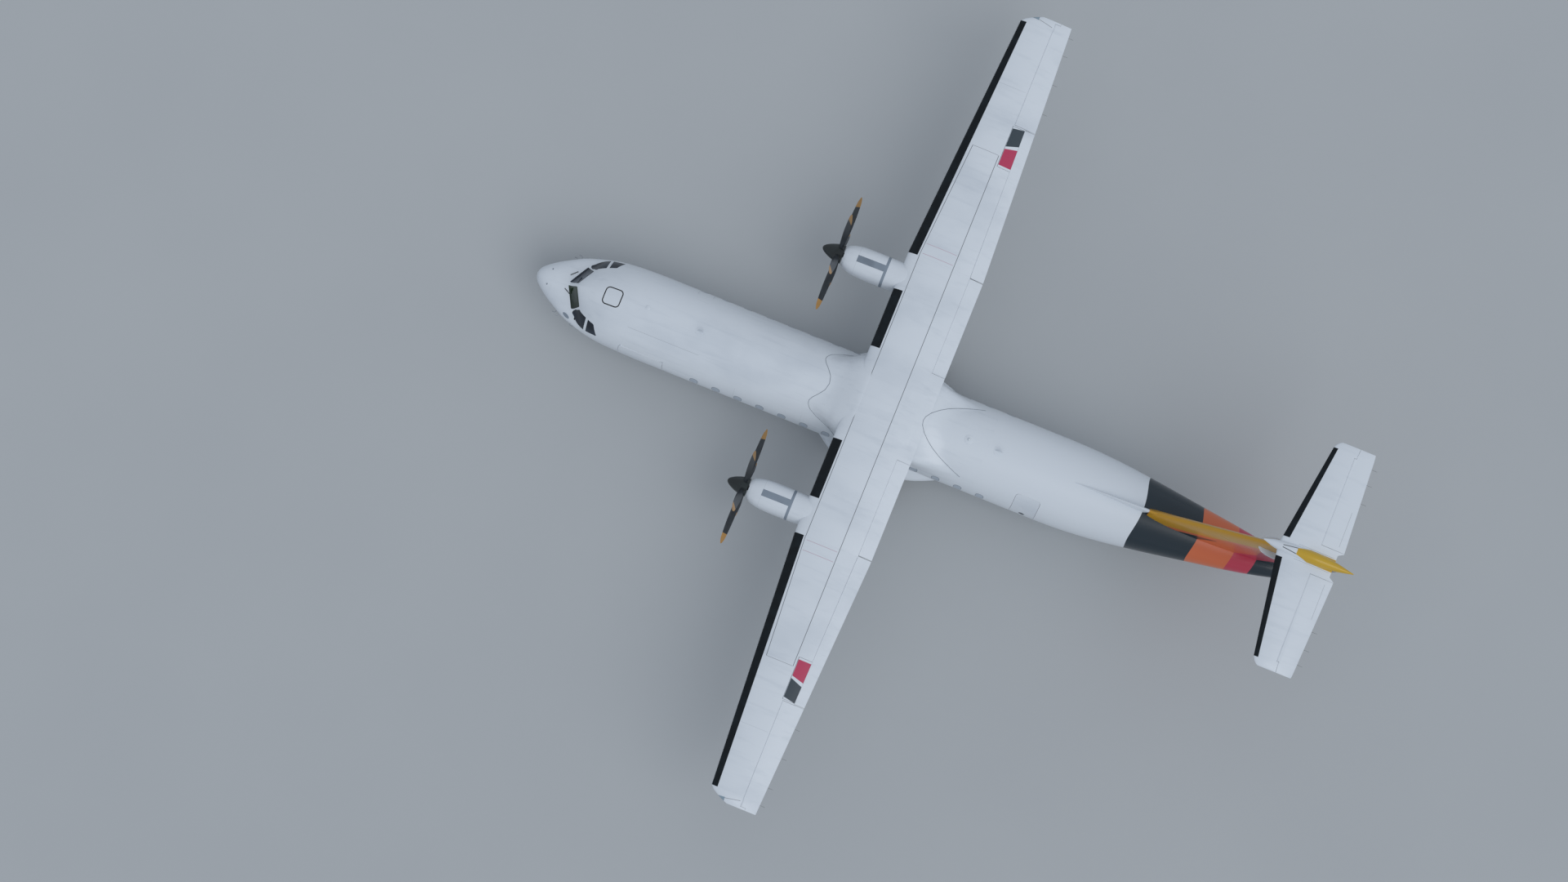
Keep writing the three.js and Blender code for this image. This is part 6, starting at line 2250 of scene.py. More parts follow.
@dataclass
class LandingGear:
    """The steerable nose gear and the main gears that stand out of the belly fairing."""

    hull: Fuselage
    repeater: Repeater
    axle_station: float = 12.95
    main_x: float = 2.05
    strut_y: float = at(12.25)
    strut_top: Span = (1.49, 1.165)
    shock_foot: Point = (2.05, at(12.41), 0.585)
    shock_top: Point = (1.59, at(12.41), 1.165)
    nose_station: float = 2.18
    nose_bay: tuple[Point, Point] = ((-0.24, at(1.78), 0.0), (0.24, at(2.78), 1.18))
    knee_z: float = 0.64
    eye_clearance: float = 0.004
    pipe: Sequence[Point] = ((1.56, at(12.31), 1.1), (1.8, at(12.33), 0.86), (1.986, at(12.34), 0.67),
                             (1.986, at(12.5), 0.63), (1.986, at(12.7), 0.56), (1.986, at(12.82), 0.5))

    def __post_init__(self) -> None:
        """Sets out the wheels."""
        self.main = TwinWheel(self.repeater, radius=0.43, width=0.25, rim=0.215, offset=0.21, sleeve=0.05,
                              eye_half=0.062, x=self.main_x, station=self.axle_station)
        self.nose = TwinWheel(self.repeater, radius=0.225, width=0.18, rim=0.11, offset=0.155, sleeve=0.026,
                              eye_half=0.045, x=0.0, station=self.nose_station, holes=6, groove_width=0.006,
                              groove_depth=0.004)

    def main_rods(self, grow: float) -> list[Shape]:
        """The struts of the port main leg.

        Args:
            grow: how much wider and longer they are all round.

        Returns:
            The forward strut, the shock strut, the trailing arm and the knee's boss.
        """
        x, y, z = self.main_x, self.strut_y, self.knee_z
        rods = (((x, y, z), (self.strut_top[0], y, self.strut_top[1]), 0.074),
                (self.shock_foot, self.shock_top, 0.044),
                ((x, y, z), (x, at(self.axle_station), 0.43), 0.056),
                ((x - 0.058, y, z), (x + 0.058, y, z), 0.08))
        return [Shape.rod(*rod, grow=grow) for rod in rods]

    def nose_rods(self, grow: float) -> list[Shape]:
        """The struts of the nose leg.

        Args:
            grow: how much wider and longer they are all round.

        Returns:
            The upright and its drag strut.
        """
        y = at(self.nose_station)
        rods = ((0, y, 0.645), (0, y, 1.24), 0.078), ((0, y + 0.02, 0.76), (0, at(2.64), 1.24), 0.032)
        return [Shape.rod(*rod, grow=grow) for rod in rods]

    def nose_holes(self) -> list[Shape]:
        """The nose bay and the seats of the nose leg in the hull."""
        return [Shape.block(*self.nose_bay), *self.nose_rods(SEAT_GAP)]

    def _eye(self, wheel: TwinWheel, outer: float) -> tuple[Shape, Shape]:
        """The eye that a pair of wheels turns in, and its bore.

        Args:
            wheel: the pair of wheels.
            outer: the eye's outer radius.

        Returns:
            The eye, and the bar that is cut out of it.
        """
        x, y, z = wheel.x, at(wheel.station), wheel.radius
        sizes = (wheel.eye_half, outer), (wheel.eye_half + 0.04, wheel.sleeve + self.eye_clearance)
        eye, bore = (Shape.rod((x - half, y, z), (x + half, y, z), radius, 64) for half, radius in sizes)
        return eye, bore

    def _main_leg(self) -> Shape:
        """The port main leg: forward strut, trailing arm with its axle eye, and the knee's bosses.

        Returns:
            The closed leg.
        """
        x, y, z = self.main_x, self.strut_y, self.knee_z
        eye, bore = self._eye(self.main, 0.096)
        strut, _, arm, boss = self.main_rods(0)
        collar = Shape.rod((x - 0.066, y, z), (x + 0.066, y, z), 0.045, 40)
        brace = Shape.rod((x - 0.1, y + 0.02, z + 0.1), (1.56, at(12.41), 1.165), 0.03)
        along = Vector((self.strut_top[0] - x, 0, self.strut_top[1] - z)).normalized()
        middle = Vector((x, y, z)) + along * 0.24
        ring = Shape.rod(middle, middle + along * 0.05, 0.082, 40)
        half, axle = self.main.eye_half, at(self.axle_station)
        rooms = [Shape.block((low, axle - 0.18, 0.15), (low + 0.2, axle + 0.18, 0.7))
                 for low in (x - half - 0.2, x + half)]
        return eye.join(strut, arm, boss, collar, brace, ring).cut(*rooms, bore)

    def _shock(self) -> tuple[Shape, Shape]:
        """The port shock strut.

        Returns:
            Its cylinder and its bright piston.
        """
        foot, top = Vector(self.shock_foot), Vector(self.shock_top)
        waist = foot.lerp(top, 0.45)
        cylinder = Shape.rod(waist, top, 0.05, 40).join(Shape.rod(waist, waist.lerp(top, 0.06), 0.056, 40))
        return cylinder, Shape.rod(foot, foot.lerp(top, 0.5), 0.033, 40)

    def _nose_fork(self) -> Shape:
        """The turning part of the nose gear: axle eye, upright and scissor link.

        Returns:
            The closed fork.
        """
        eye, bore = self._eye(self.nose, 0.056)
        y = at(self.nose_station)
        rods = ((0.225, 0.6, 0.04, 40), (0.54, 0.6447, 0.07, 48), (0.565, 0.6, 0.082, 48))
        link = Shape.plate([(-0.03, 0.25), (-0.03, 0.32), (-0.115, 0.46), (-0.1, 0.5), (-0.13, 0.5),
                            (-0.145, 0.45), (-0.06, 0.25)], 0.03, seen_from_side(-0.015, y))
        return eye.join(*[Shape.rod((0, y, a), (0, y, b), *size) for a, b, *size in rods], link).cut(bore)

    def _nose_leg(self) -> Shape:
        """The fixed part of the nose gear with its lamp bracket and steering cylinder.

        Returns:
            The closed leg.
        """
        y = at(self.nose_station)
        upright, drag = self.nose_rods(0)
        steering = Shape.rod((-0.13, y + 0.07, 0.72), (0.13, y + 0.07, 0.72), 0.027)
        collar = Shape.rod((0, y, 0.69), (0, y, 0.75), 0.092, 48)
        bracket = Shape.block((-0.11, y - 0.1, 0.83), (0.11, y - 0.05, 0.86))
        return upright.join(drag, steering, collar, bracket)

    def dress(self, shop: Workshop) -> None:
        """Places the wheels, the legs, the lamps, the pipes and the nose-gear doors.

        Args:
            shop: what holds the finishes.
        """
        main, nose, steel, wheels = self.main, self.nose, shop.paints["gear"], "nose_wheels"
        shop.place("nose_gear_leg", self._nose_leg(), "gear", nodes="nose_leg")
        shop.place("nose_gear_fork", self._nose_fork(), "gear", "nose_steering", "nose_fork")
        shop.place("nose_wheel_rims", nose.hub(), "alloy", wheels, "nose_hub")
        shop.place("nose_wheel_bolts", nose.bolts(steel), "gear", wheels)
        shop.pair("nose_wheel_tyre_*", nose.tyre(nose.offset), "tyre", wheels, "nose_tyre_*")
        door = Shape.block((0.262, at(1.83), 0.5), (0.276, at(2.56), 1.0))
        door = door.cut(self.hull.skin(self.hull.radome_end, 4.0, SEAT_GAP))
        shop.pair("nose_bay_door_*", door, "skin", nodes="nose_gear_door_*")
        front = stand((1, 0, 0), (0, 0, 1), (0, -1, 0), (0.07, at(self.nose_station) - 0.07, 0.9))
        lamp = [(0, 0), (0.02, 0), (0.046, 0.03), (0.05, 0.05), (0.046, 0.054), (0, 0.056)]
        shop.pair("taxi_lamp_*", Shape.turned(lamp, front, 40), "lamp", slot="engine_metal")
        for name, across in (("inner", -main.offset), ("outer", main.offset)):
            tyre = f"tyre_{name}_*"
            shop.pair(f"main_wheel_{tyre}", main.tyre(across), "tyre", "main_wheels_*", f"main_{tyre}")
        shop.pair("main_wheel_rims_*", main.hub(), "alloy", "main_wheels_*", "main_hub_*")
        shop.pair("main_wheel_bolts_*", main.bolts(steel), "gear", "main_wheels_*")
        shop.pair("main_gear_leg_*", self._main_leg(), "gear", nodes="main_leg_*")
        cylinder, piston = self._shock()
        shop.pair("shock_cylinder_*", cylinder, "gear")
        shop.pair("shock_piston_*", piston, "chrome")
        shop.pair("brake_pipe_*", Shape.tube(self.pipe, 0.007), "black")


@dataclass
class Cabin:
    """The doors, the cabin window plugs, the stair treads and the linings behind the doors."""

    hull: Fuselage
    repeater: Repeater
    first_window: float = 6.05
    window_pitch: float = 0.762
    window_count: int = 14
    window_z: float = 2.05
    window_size: Span = (0.25, 0.36)
    window_corner: float = 0.11
    seal_width: float = 0.014
    tread_pitch: float = 0.26
    tread_depth: float = 0.19
    tread_half: float = 0.014
    tread_inset: float = 0.11

    def __post_init__(self) -> None:
        """Sets out the doors."""
        hull = self.hull
        self.cargo = Door(hull, 3.4, 4.93, 1.15, 2.43, hinge=(1.276, 2.436), bay_depth=2.1)
        self.entry = Door(hull, 17.01, 17.83, 1.12, 2.87, hinge=(1.108, 1.112), rise=-1, bay_depth=1.5)
        self.service = Door(hull, 17.18, 17.79, 1.15, 2.37, Side.STARBOARD, 0.06, 0.005)
        self.exit = Door(hull, 5.15, 5.66, 1.72, 2.63, Side.STARBOARD, 0.06, 0.005)

    def _openings(self, side: Side, grow: float) -> Shape:
        """The outlines of a side's windows, pushed through the hull's side.

        Args:
            side: the side, of which starboard has one window more in front.
            grow: how much larger they are all round.

        Returns:
            The closed prisms.
        """
        wide, tall = (size / 2 + grow for size in self.window_size)
        outline = rounded((-wide, -tall), (wide, tall), self.window_corner + grow)
        cutter = Shape.plate(outline, 0.6, seen_from_side(1.0)).on(side)
        first = -1 if side is Side.STARBOARD else 0
        spots = [Spot((0.0, at(self.first_window + i * self.window_pitch), self.window_z))
                 for i in range(first, self.window_count)]
        return self.repeater.spread(cutter, spots)

    def _treads(self) -> Shape:
        """The stair treads on the inside of the entry door.

        Returns:
            The five treads.
        """
        door, half = self.entry, self.tread_half
        front, back = at(door.start) + self.tread_inset, at(door.end) - self.tread_inset
        treads = []
        for i in range(5):
            z = door.sill + 0.3 + i * self.tread_pitch
            height = (z - HULL_MIDDLE) / (1.432 if z > HULL_MIDDLE else 1.12)
            inside = HULL_HALF * math.sqrt(1 - height**2) - door.thickness
            treads.append(Shape.block((inside - self.tread_depth, front, z - half),
                                      (inside + 0.004, back, z + half)))
        return treads[0].with_loose(*treads[1:])

    def _porthole(self, station: float, z: float, side: Side, radius: float) -> Shape:
        """A round part of the skin's outside, for a door's small window or its frame.

        Args:
            station: where its middle is.
            z: the height of its middle.
            side: the side that it is on.
            radius: its radius.

        Returns:
            The closed disc.
        """
        low, high = sorted((0.9 * side.sign, 1.6 * side.sign))
        shell = self.hull.film(station - 0.3, station + 0.3, 0.002, 0.006)
        return shell.common(Shape.rod((low, at(station), z), (high, at(station), z), radius, 40))

    def _lining(self, door: Door, inner: float, outer: float, floor: bool) -> Shape:
        """The lining of the space behind a door, or the mat on its floor.

        Args:
            door: the door.
            inner: the X of its inboard wall.
            outer: the X where it stops behind the door.
            floor: whether it is the mat.

        Returns:
            The closed thin shell.
        """
        low = (inner + SEAT_GAP, at(door.start) + door.stop + SEAT_GAP, door.sill + 0.01 + SEAT_GAP)
        high = (outer, at(door.end) - door.stop - SEAT_GAP, door.head - door.stop - SEAT_GAP)
        if floor:
            return Shape.block((low[0] + 0.005, low[1] + 0.005, low[2]),
                               (outer, high[1] - 0.005, low[2] + 0.004))
        return Shape.block(low, high).cut(Shape.block((low[0] + 0.004, low[1] + 0.004, low[2] - 0.1),
                                                      (outer + 0.1, high[1] - 0.004, high[2] - 0.004)))

    def _dress_openings(self, shop: Workshop) -> None:
        """Places the linings and mats behind the doors and the doors' small round windows.

        Args:
            shop: what holds the finishes.
        """
        for name, door, inner, outer in (("cargo", self.cargo, -0.7, 0.98),
                                         ("entry", self.entry, -0.1, 0.85)):
            shop.place(f"{name}_bay_lining", self._lining(door, inner, outer, False), "liner")
            shop.place(f"{name}_bay_floor_mat", self._lining(door, inner, outer, True), "grip")
        for name, station, side, body in (("entry", 17.42, Side.PORT, "passenger_door"),
                                          ("service", 17.485, Side.STARBOARD, "airframe")):
            rim, pane = (self._porthole(station, 2.0, side, radius) for radius in (0.105, 0.085))
            shop.place(f"{name}_door_window_frame", rim.cut(pane), "frame", body)
            shop.place(f"{name}_door_window", pane, "navy_glass", body)

    def dress(self, shop: Workshop) -> None:
        """Places the doors, the window plugs, the treads and the linings.

        Args:
            shop: what holds the finishes.
        """
        shop.place("cargo_door_leaf", self.cargo.leaf(), "skin", "cargo_door", "cargo_door")
        shop.place("entry_door_leaf", self.entry.leaf(), "skin", "passenger_door", "passenger_door")
        shop.place("entry_stair_treads", self._treads(), "grip", "passenger_door")
        shop.place("service_door_leaf", self.service.leaf(), "skin", nodes="service_door")
        shop.place("exit_hatch_leaf", self.exit.leaf(), "skin", nodes="emergency_exit")
        self._dress_openings(shop)
        span = self.first_window - 1.1, self.first_window + self.window_count * self.window_pitch
        plug, seal = (self.hull.film(*span, rise, 0.006) for rise in (0.002, 0.0035))
        for side in Side:
            panes, seals = (self._openings(side, grow) for grow in (0, self.seal_width))
            shop.place(f"window_plugs_{side.word}", plug.common(panes), "plug")
            shop.place(f"window_plug_seals_{side.word}", seal.common(seals).cut(panes), "sealant")


@dataclass
class Fittings:
    """Small fittings on the skin: antennas, beacons, probes, flush plates and static wicks."""

    hull: Fuselage
    wing: Wing
    tail: Tail
    repeater: Repeater

    def _foot(self, station: float, up: int) -> Matrix:
        """The place of a fitting that stands on the crown (up is 1) or hangs from the keel (up is -1)."""
        height = float(self.hull.profile.at("crown" if up > 0 else "keel", station))
        return stand((up, 0, 0), (0, 1, 0), (0, 0, up), (0, at(station), height - 0.01 * up))

    def _antenna(self, station: float, height: float, chord: float, up: int = 1) -> Shape:
        """A swept blade antenna on its round pad.

        Args:
            station: where its middle is.
            height: the blade's height.
            chord: the blade's length at its foot.
            up: 1 on the crown and -1 under the keel.

        Returns:
            The blade and the pad.
        """
        rings = [np.array([(0.013 * size * math.sin(t), (chord * size * 0.5 * math.cos(t)) + back * height,
                            share * height) for t in _turns(24)])
                 for share, size, back in ((0, 1, 0), (0.25, 0.92, 0.18), (0.85, 0.62, 0.5), (1, 0.45, 0.6))]
        pad = Shape.turned([(0, -0.02), (0.14, -0.02), (0.14, 0.004), (0.128, 0.014), (0, 0.02)],
                           Matrix.Identity(4), 40)
        return pad.with_loose(Shape.loft(rings)).moved(self._foot(station, up))

    def _beacon(self, station: float, up: int) -> tuple[Shape, Shape]:
        """A flashing light on the crown or under the keel.

        Args:
            station: where it is.
            up: 1 on the crown and -1 under the keel.

        Returns:
            Its lens and its round base.
        """
        foot = self._foot(station, up)
        lens = [(0, 0.02), (0.045, 0.02), (0.047, 0.05), (0.042, 0.075), (0.028, 0.093), (0, 0.1)]
        base = [(0, 0), (0.15, 0), (0.14, 0.018), (0.075, 0.028), (0, 0.028)]
        return Shape.turned(lens, foot, 40), Shape.turned(base, foot, 48)

    def _dress_nose(self, shop: Workshop) -> None:
        """Places the air-data probes, the vanes and the flush plates around the nose.

        Args:
            shop: what holds the finishes.
        """
        hull = self.hull
        tubes, plates = [], []
        for station, angle in ((1.02, -12), (1.16, -2)):
            foot, facing = hull.point(station, angle)
            ahead = [foot + facing * 0.09 + Vector((0, y, 0)) for y in (-0.03, -0.12)]
            tubes.append(Shape.tube([foot - facing * 0.02, foot + facing * 0.05, *ahead], 0.011, 10))
        vane, facing = hull.point(1.62, 3)
        path = [vane - facing * 0.02, vane + facing * 0.05, vane + facing * 0.055 + Vector((0, 0.12, -0.01))]
        tubes.append(Shape.tube(path, 0.012, 8))
        for angle in (62.0, 118.0):
            foot, facing = hull.point(0.47, angle)
            plates.append(Shape.rod(foot - facing * 0.01, foot + facing * 0.004, 0.028, 20))
        probes = tubes[0].with_loose(*tubes[1:], *[shape.mirrored() for shape in tubes])
        shop.place("air_data_probes", probes, "frame")
        shop.place("radome_studs", plates[0].with_loose(plates[1]), "sealant")
        shell = hull.skin(0.75, 2.2, 0.0015).cut(hull.skin(0.7, 2.3, -SKIN_DEPTH))
        oval = [(at(1.41) + 0.125 * math.cos(t), 1.93 + 0.05 * math.sin(t)) for t in _turns(40)]
        port = Shape.rod((0.6, at(1.72), 2.02), (1.6, at(1.72), 2.02), 0.026, 24)
        plate = shell.common(Shape.plate(oval, 1.2, seen_from_side(0.5)))
        shop.place("flush_nose_plate", plate, "grey_band")
        shop.place("temperature_port", shell.common(port), "black")

    def _wicks(self, spots: Sequence[Point]) -> Shape:
        """Static wicks: thin rods that trail from an edge."""
        wick = Shape.tube([(0, -0.02, 0), (0, 0.05, 0), (0, 0.17, 0)], 0.0028, 8)
        return self.repeater.spread(wick, [Spot(spot) for spot in spots])

    def dress(self, shop: Workshop) -> None:
        """Places the fittings.

        Args:
            shop: what holds the finishes.
        """
        for number, sizes in enumerate(((5.7, 0.24, 0.2), (15.93, 0.27, 0.22)), 1):
            shop.place(f"blade_antenna_{number}", self._antenna(*sizes), "skin")
        for name, station, up, lens_paint in (("upper", 14.95, 1, "lamp"), ("lower", 9.3, -1, "red_lens")):
            lens, base = self._beacon(station, up)
            shop.place(f"beacon_lens_{name}", lens, lens_paint)
            shop.place(f"beacon_base_{name}", base, "skin")
        belly = [self._antenna(station, 0.2, 0.2, -1) for station in (6.9, 16.6)]
        shop.place("belly_antennas", belly[0].with_loose(belly[1]), "skin")
        foot = Matrix.Translation((-0.08, at(3.89), float(self.hull.profile.at("crown", 3.89))))
        disc = Shape.turned([(0, -0.02), (0.07, -0.02), (0.07, 0.008), (0.05, 0.016), (0, 0.018)], foot, 40)
        shop.place("satellite_antenna_disc", disc, "skin")
        self._dress_nose(shop)
        wing, tail = self.wing, self.tail
        ends = [(x, wing.section(x)[1]) for x in (10.6, 11.6, 12.6, 13.2)]
        spots = [(x, at(back), float(wing.skin(x, back, 1)) - wing.edge) for x, back in ends]
        shop.pair("wing_wicks_*", self._wicks(spots), "black", "aileron_*")
        (_, _, root, _), (end, _, tip, _) = tail.plane_rows[:2]
        spots = [(x, at(float(np.interp(x, (0, end), (root, tip)))), tail.plane_z) for x in (2.1, 2.7, 3.2)]
        shop.pair("elevator_wicks_*", self._wicks(spots), "black", "elevator_*")


@dataclass
class Studio:
    """The pale floor, the soft light and the camera at the photograph's viewing angle."""

    eye: Point = (13.13, -1.29, 99.45)
    forward: Point = (-0.1123, -0.0287, -0.9933)
    right: Point = (-0.3748, 0.9270, 0.0156)
    lens: float = 69.99
    sensor: float = 36.0
    far: float = 1000
    floor_half: float = 90.0
    sky: str = "#dfe7f2"
    sky_strength: float = 0.6
    sun_strength: float = 0.75
    sun_angle: float = 50.0
    sun_turn: Span = (38.0, 150.0)

    def set_camera(self) -> None:
        """Makes the camera."""
        data = bpy.data.cameras.new("camera")
        data.lens, data.sensor_width, data.clip_end = self.lens, self.sensor, self.far
        camera = bpy.data.objects.new("camera", data)
        bpy.context.scene.collection.objects.link(camera)
        ahead, right = Vector(self.forward).normalized(), Vector(self.right).normalized()
        up = right.cross(ahead).normalized()
        camera.matrix_world = stand(ahead.cross(up).normalized(), up, -ahead, self.eye)
        bpy.context.scene.camera = camera

    def light(self) -> None:
        """Makes the floor, the sky and the sun."""
        half = self.floor_half
        mesh = bpy.data.meshes.new("floor")
        corners = [(-half, -half, 0), (half, -half, 0), (half, half, 0), (-half, half, 0)]
        mesh.from_pydata(corners, [], [(0, 1, 2, 3)])
        mesh.materials.append(Concrete().build())
        floor = bpy.data.objects.new("floor", mesh)
        bpy.context.scene.collection.objects.link(floor)
        world = bpy.data.worlds.new("soft_sky")
        world.use_nodes = True
        feed(world.node_tree, world.node_tree.nodes["Background"],
             {"Color": linear(self.sky), "Strength": self.sky_strength})
        bpy.context.scene.world = world
        lamp = bpy.data.lights.new("soft_sun", "SUN")
        lamp.energy, lamp.angle = self.sun_strength, math.radians(self.sun_angle)
        sun = bpy.data.objects.new("soft_sun", lamp)
        bpy.context.scene.collection.objects.link(sun)
        tilt, turn = (math.radians(a) for a in self.sun_turn)
        sun.matrix_world = Matrix.Rotation(turn, 4, "Z") @ Matrix.Rotation(tilt, 4, "X")
        bpy.context.scene.view_settings.view_transform = "Standard"


def white_paints() -> dict[str, tuple[Finish, str]]:
    """The white paints with the joints and the small marks that they carry.

    Returns:
        Each paint and its usual slot, by a short name.
    """
    rings = tuple(Seam(Axis.Y, at(s), Axis.Z, 0.0, 2.6, width=0.006, strength=0.16)
                  for s in (7.4, 9.7, 12.2, 18.0, 19.6))
    laps = (Seam(Axis.Z, 1.3, Axis.Y, at(3.2), at(18.4), width=0.006, strength=0.16),
            Seam(Axis.X, 0.708, Axis.Y, at(3.5), at(5.95), width=0.009, strength=0.26))
    slope = 0.0677
    wing_seams = (
        Seam(Axis.Y, at(11.29), Axis.OUT, 0.0, 4.83, width=0.016, strength=0.75),
        Seam(Axis.Y, at(12.45), Axis.OUT, 0.0, 8.79, width=0.017, strength=0.75),
        Seam(Axis.Y, at(11.29) - 4.95 * slope, Axis.OUT, 4.83, 8.79, slope, 0.016, 0.75),
        Seam(Axis.OUT, 8.79, Axis.Y, at(11.55), at(12.43), strength=0.5),
        Seam(Axis.OUT, 11.0, Axis.Y, at(11.5), at(12.5), width=0.008, strength=0.16),
        Seam(Axis.OUT, 13.44 + 0.196 * at(11.73), Axis.Y, at(11.6), at(12.5), -0.196, 0.014, 0.6))
    cowl_seams = (Seam(Axis.Y, at(9.5), Axis.Z, 2.0, 4.0, width=0.008, strength=0.13),
                  Seam(Axis.Y, at(11.25), Axis.Z, 2.0, 3.3, strength=0.3))
    plane_seams = (Seam(Axis.OUT, 0.04 - 0.13 * at(24.9), Axis.Y, at(24.85), at(25.3), 0.13, 0.02, 0.9),
                   Seam(Axis.OUT, 0.235, Axis.Y, at(25.3), at(26.45), width=0.01, strength=0.3),
                   Seam(Axis.Y, at(26.47), Axis.OUT, 0.62, 1.75, width=0.01, strength=0.35))
    blocks = (Patch("#c2315b", (8.52, 8.52), (9.07, 9.188), (12.54, 13.0)),
              Patch("#2f3e48", (9.15, 9.318), (9.78, 9.87), (12.54, 13.0)))
    walkway = tuple(Patch("#cfbfc9", (x, x), (x + 0.02, x + 0.02), (11.36, 12.4)) for x in (4.93, 5.27))
    bullet = (Patch("#d2aa2c", (-1.0, -1.0), (0.1, 0.2), (25.3, 25.7)),
              Patch("#d2aa2c", (-1.0, -1.0), (0.2, 0.2), (25.69, 27.2)))
    slot = "painted_skin"
    return {
        "skin": (GlossPaint("bluish_white_paint", seams=(*rings, *laps)), slot),
        "wing": (GlossPaint("wing_white_paint", seams=wing_seams, patches=walkway), slot),
        "spoiler": (GlossPaint("spoiler_white_paint", patches=blocks), "spoiler_paint"),
        "cowl": (GlossPaint("cowl_white_paint", seams=cowl_seams), slot),
        "plane": (GlossPaint("tailplane_white_paint", seams=plane_seams, patches=bullet), slot),
    }


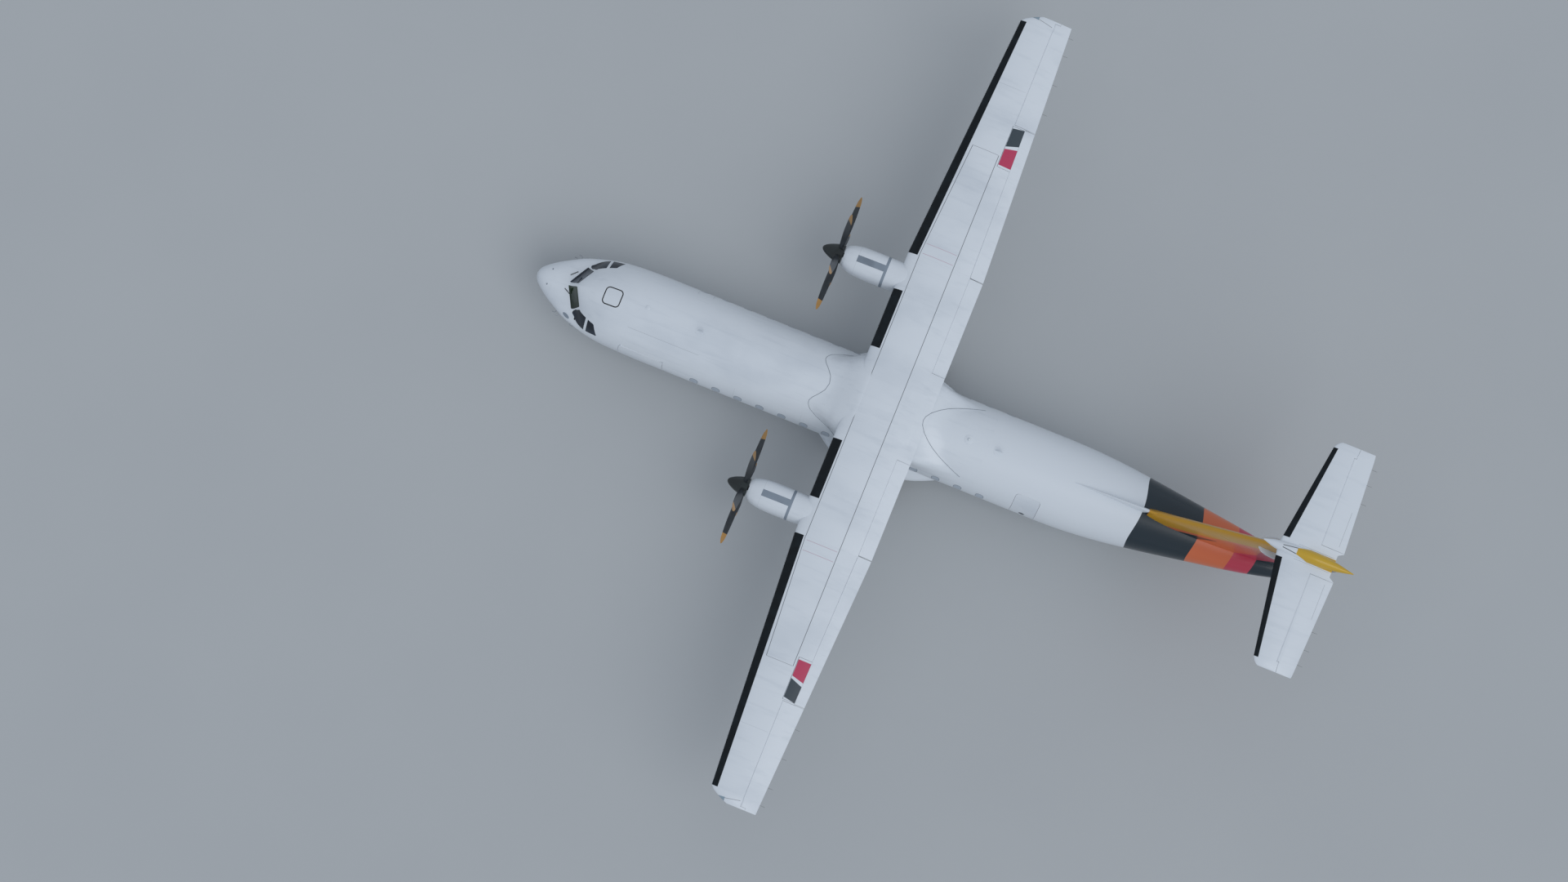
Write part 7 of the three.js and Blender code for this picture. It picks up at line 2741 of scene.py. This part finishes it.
def all_finishes() -> dict[str, tuple[Finish, str]]:
    """Every finish of the aircraft.

    Returns:
        Each finish and its usual slot, by a short name.
    """
    skin, rubber, metal, steel, pane = "painted_skin", "tyre_rubber", "engine_metal", "gear_steel", "pane"
    return {
        **white_paints(),
        "rear": (TailPaint("tail_cone_banded_paint", False), skin),
        "fin": (TailPaint("fin_banded_paint", True), "fin_paint"),
        "boot": (BootRubber(), rubber),
        # Laminated panes over a dark inside: a deep colour of painted shade, the olive one also a painted
        # reflection, with hard, bright reflections.
        "olive_reflection_glass": (TintedGlass("dark_olive_painted_reflection_glass", "#1c2a20", "#33452f"), pane),
        "navy_glass": (TintedGlass("dark_navy_laminated_glass", "#161f2b", "#2c3a4a"), pane),
        # Sprayed, heat-resistant enamel and a trowelled joint: even, dull blue-greys.
        "grey_band": (PlainFinish("grey_heat_resistant_paint", "#8d99a6", "#7a8591", 0.45), metal),
        "sealant": (PlainFinish("grey_joint_sealant", "#8a939c", "#7c858e", 0.6), metal),
        # Rolled steel stained brown by hot gas, and sand-cast alloy: broad, soft highlights.
        "exhaust": (PlainFinish("heat_stained_steel", "#8a8078", "#4a423c", 0.42, 0.9), "exhaust_steel"),
        "engine": (PlainFinish("cast_engine_casing", "#6c7074", "#4b4e52", 0.5, 0.7), metal),
        # Sprayed and clear-coated: nearly black, with a thin, sharp shine.
        "spinner": (PlainFinish("dark_green_spinner_paint", "#10191a", "#1c2828", 0.3, coat=0.3),
                    "spinner_paint"),
        "blade": (BladeFinish(), "propeller_blade"),
        # Stoved enamel on forged steel, the polished chrome of a piston, and machined cast alloy.
        "gear": (PlainFinish("grey_enamelled_steel", "#c3c8cc", "#8e9296", 0.4), steel),
        "chrome": (PlainFinish("hard_chromed_piston", "#c9ccce", "#a9adb0", 0.15, 1.0, relief_mm=0.02),
                   steel),
        "alloy": (PlainFinish("cast_wheel_alloy", "#b4b8bb", "#7f8386", 0.42, 0.5), "wheel_alloy"),
        # Moulded rubbers: matt and soft-edged, greyer where they are dusty.
        "tyre": (PlainFinish("tyre_tread_rubber", "#1b1c1e", "#2e3032", 0.78, relief_mm=0.5), rubber),
        "black": (PlainFinish("black_nylon_and_rubber", "#16181a", "#26282b", 0.6), rubber),
        "grip": (PlainFinish("stair_grip_rubber", "#34373b", "#25272a", 0.8, grain_mm=6.0, relief_mm=0.8),
                 rubber),
        # Anodised alloy has a satin sheen, and the plugs' enamel is a shade greyer than the skin.
        "frame": (PlainFinish("satin_anodised_alloy", "#a9afb5", "#868c92", 0.4, 0.3), metal),
        "plug": (PlainFinish("window_plug_enamel", "#b7c2ce", "#a8b4c0", 0.34, coat=0.3), skin),
        # Pressed laminate: a warm, dull grey with a faint grain.
        "liner": (PlainFinish("cabin_lining_laminate", "#b9b7ae", "#a19f96", 0.55, grain_mm=8.0), skin),
        # Moulded, polished covers, opaque here: bright, hard highlights on white, blue-grey or red.
        "cover_glass": (PlainFinish("clear_light_cover", "#93a8b6", "#7f95a4", 0.12, coat=0.5), pane),
        "lamp": (PlainFinish("lamp_lens_glass", "#e6ecf0", "#c6ced6", 0.12, coat=0.5), pane),
        "red_lens": (PlainFinish("red_lens_glass", "#8d1518", "#6d0d10", 0.15, coat=0.5), pane),
    }


def build_hull(hull: Fuselage, cabin: Cabin, deck: FlightDeck, gear: LandingGear, shop: Workshop) -> None:
    """Places the four sections of the fuselage with the openings of the doors, panes and nose bay.

    Args:
        hull: the fuselage's shape.
        cabin: the doors.
        deck: the windscreen, side windows and hatch.
        gear: the landing gear, for the nose bay.
        shop: what holds the finishes.
    """
    shop.place("radome_cap", hull.skin(0, hull.radome_end), "skin", nodes="radome")
    nose = hull.skin(hull.radome_end + SEAT_GAP, hull.nose_end - SEAT_GAP)
    nose = deck.open_in(cabin.cargo.open_in(nose)).cut(*gear.nose_holes())
    shop.place("nose_fuselage", nose, "skin", nodes="nose_section")
    centre = cabin.exit.open_in(hull.skin(hull.nose_end, hull.centre_end))
    shop.place("centre_fuselage", centre, "skin", nodes="fuselage_centre")
    rear = hull.skin(hull.centre_end + SEAT_GAP, hull.tail_end)
    rear = cabin.service.open_in(cabin.entry.open_in(rear))
    shop.place("rear_fuselage", rear, "rear", nodes="fuselage_rear")


def main() -> None:
    """Builds and dresses the aircraft."""
    studio = Studio()
    studio.set_camera()
    studio.light()
    shop, hull = Workshop(all_finishes()), Fuselage()
    cabin, deck, gear = Cabin(hull, shop.repeater), FlightDeck(hull), LandingGear(hull, shop.repeater)
    wing, tail = Wing(), Tail(hull)
    build_hull(hull, cabin, deck, gear, shop)
    root = wing.panel(-wing.centre_half, wing.centre_half, SEAT_GAP)
    Fairings(hull, wing).dress(root, gear.main_rods(SEAT_GAP), shop)
    Nacelle().dress(root, shop)
    for assembly in (cabin, deck, wing, Propeller(), tail, gear, Fittings(hull, wing, tail, shop.repeater)):
        assembly.dress(shop)
    for side in Side:
        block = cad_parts[f"engine_{side.word}"]
        block.data.materials.clear()
        block.data.materials.append(shop.paints["engine"])
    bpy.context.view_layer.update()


if __name__ == "__main__":
    main()
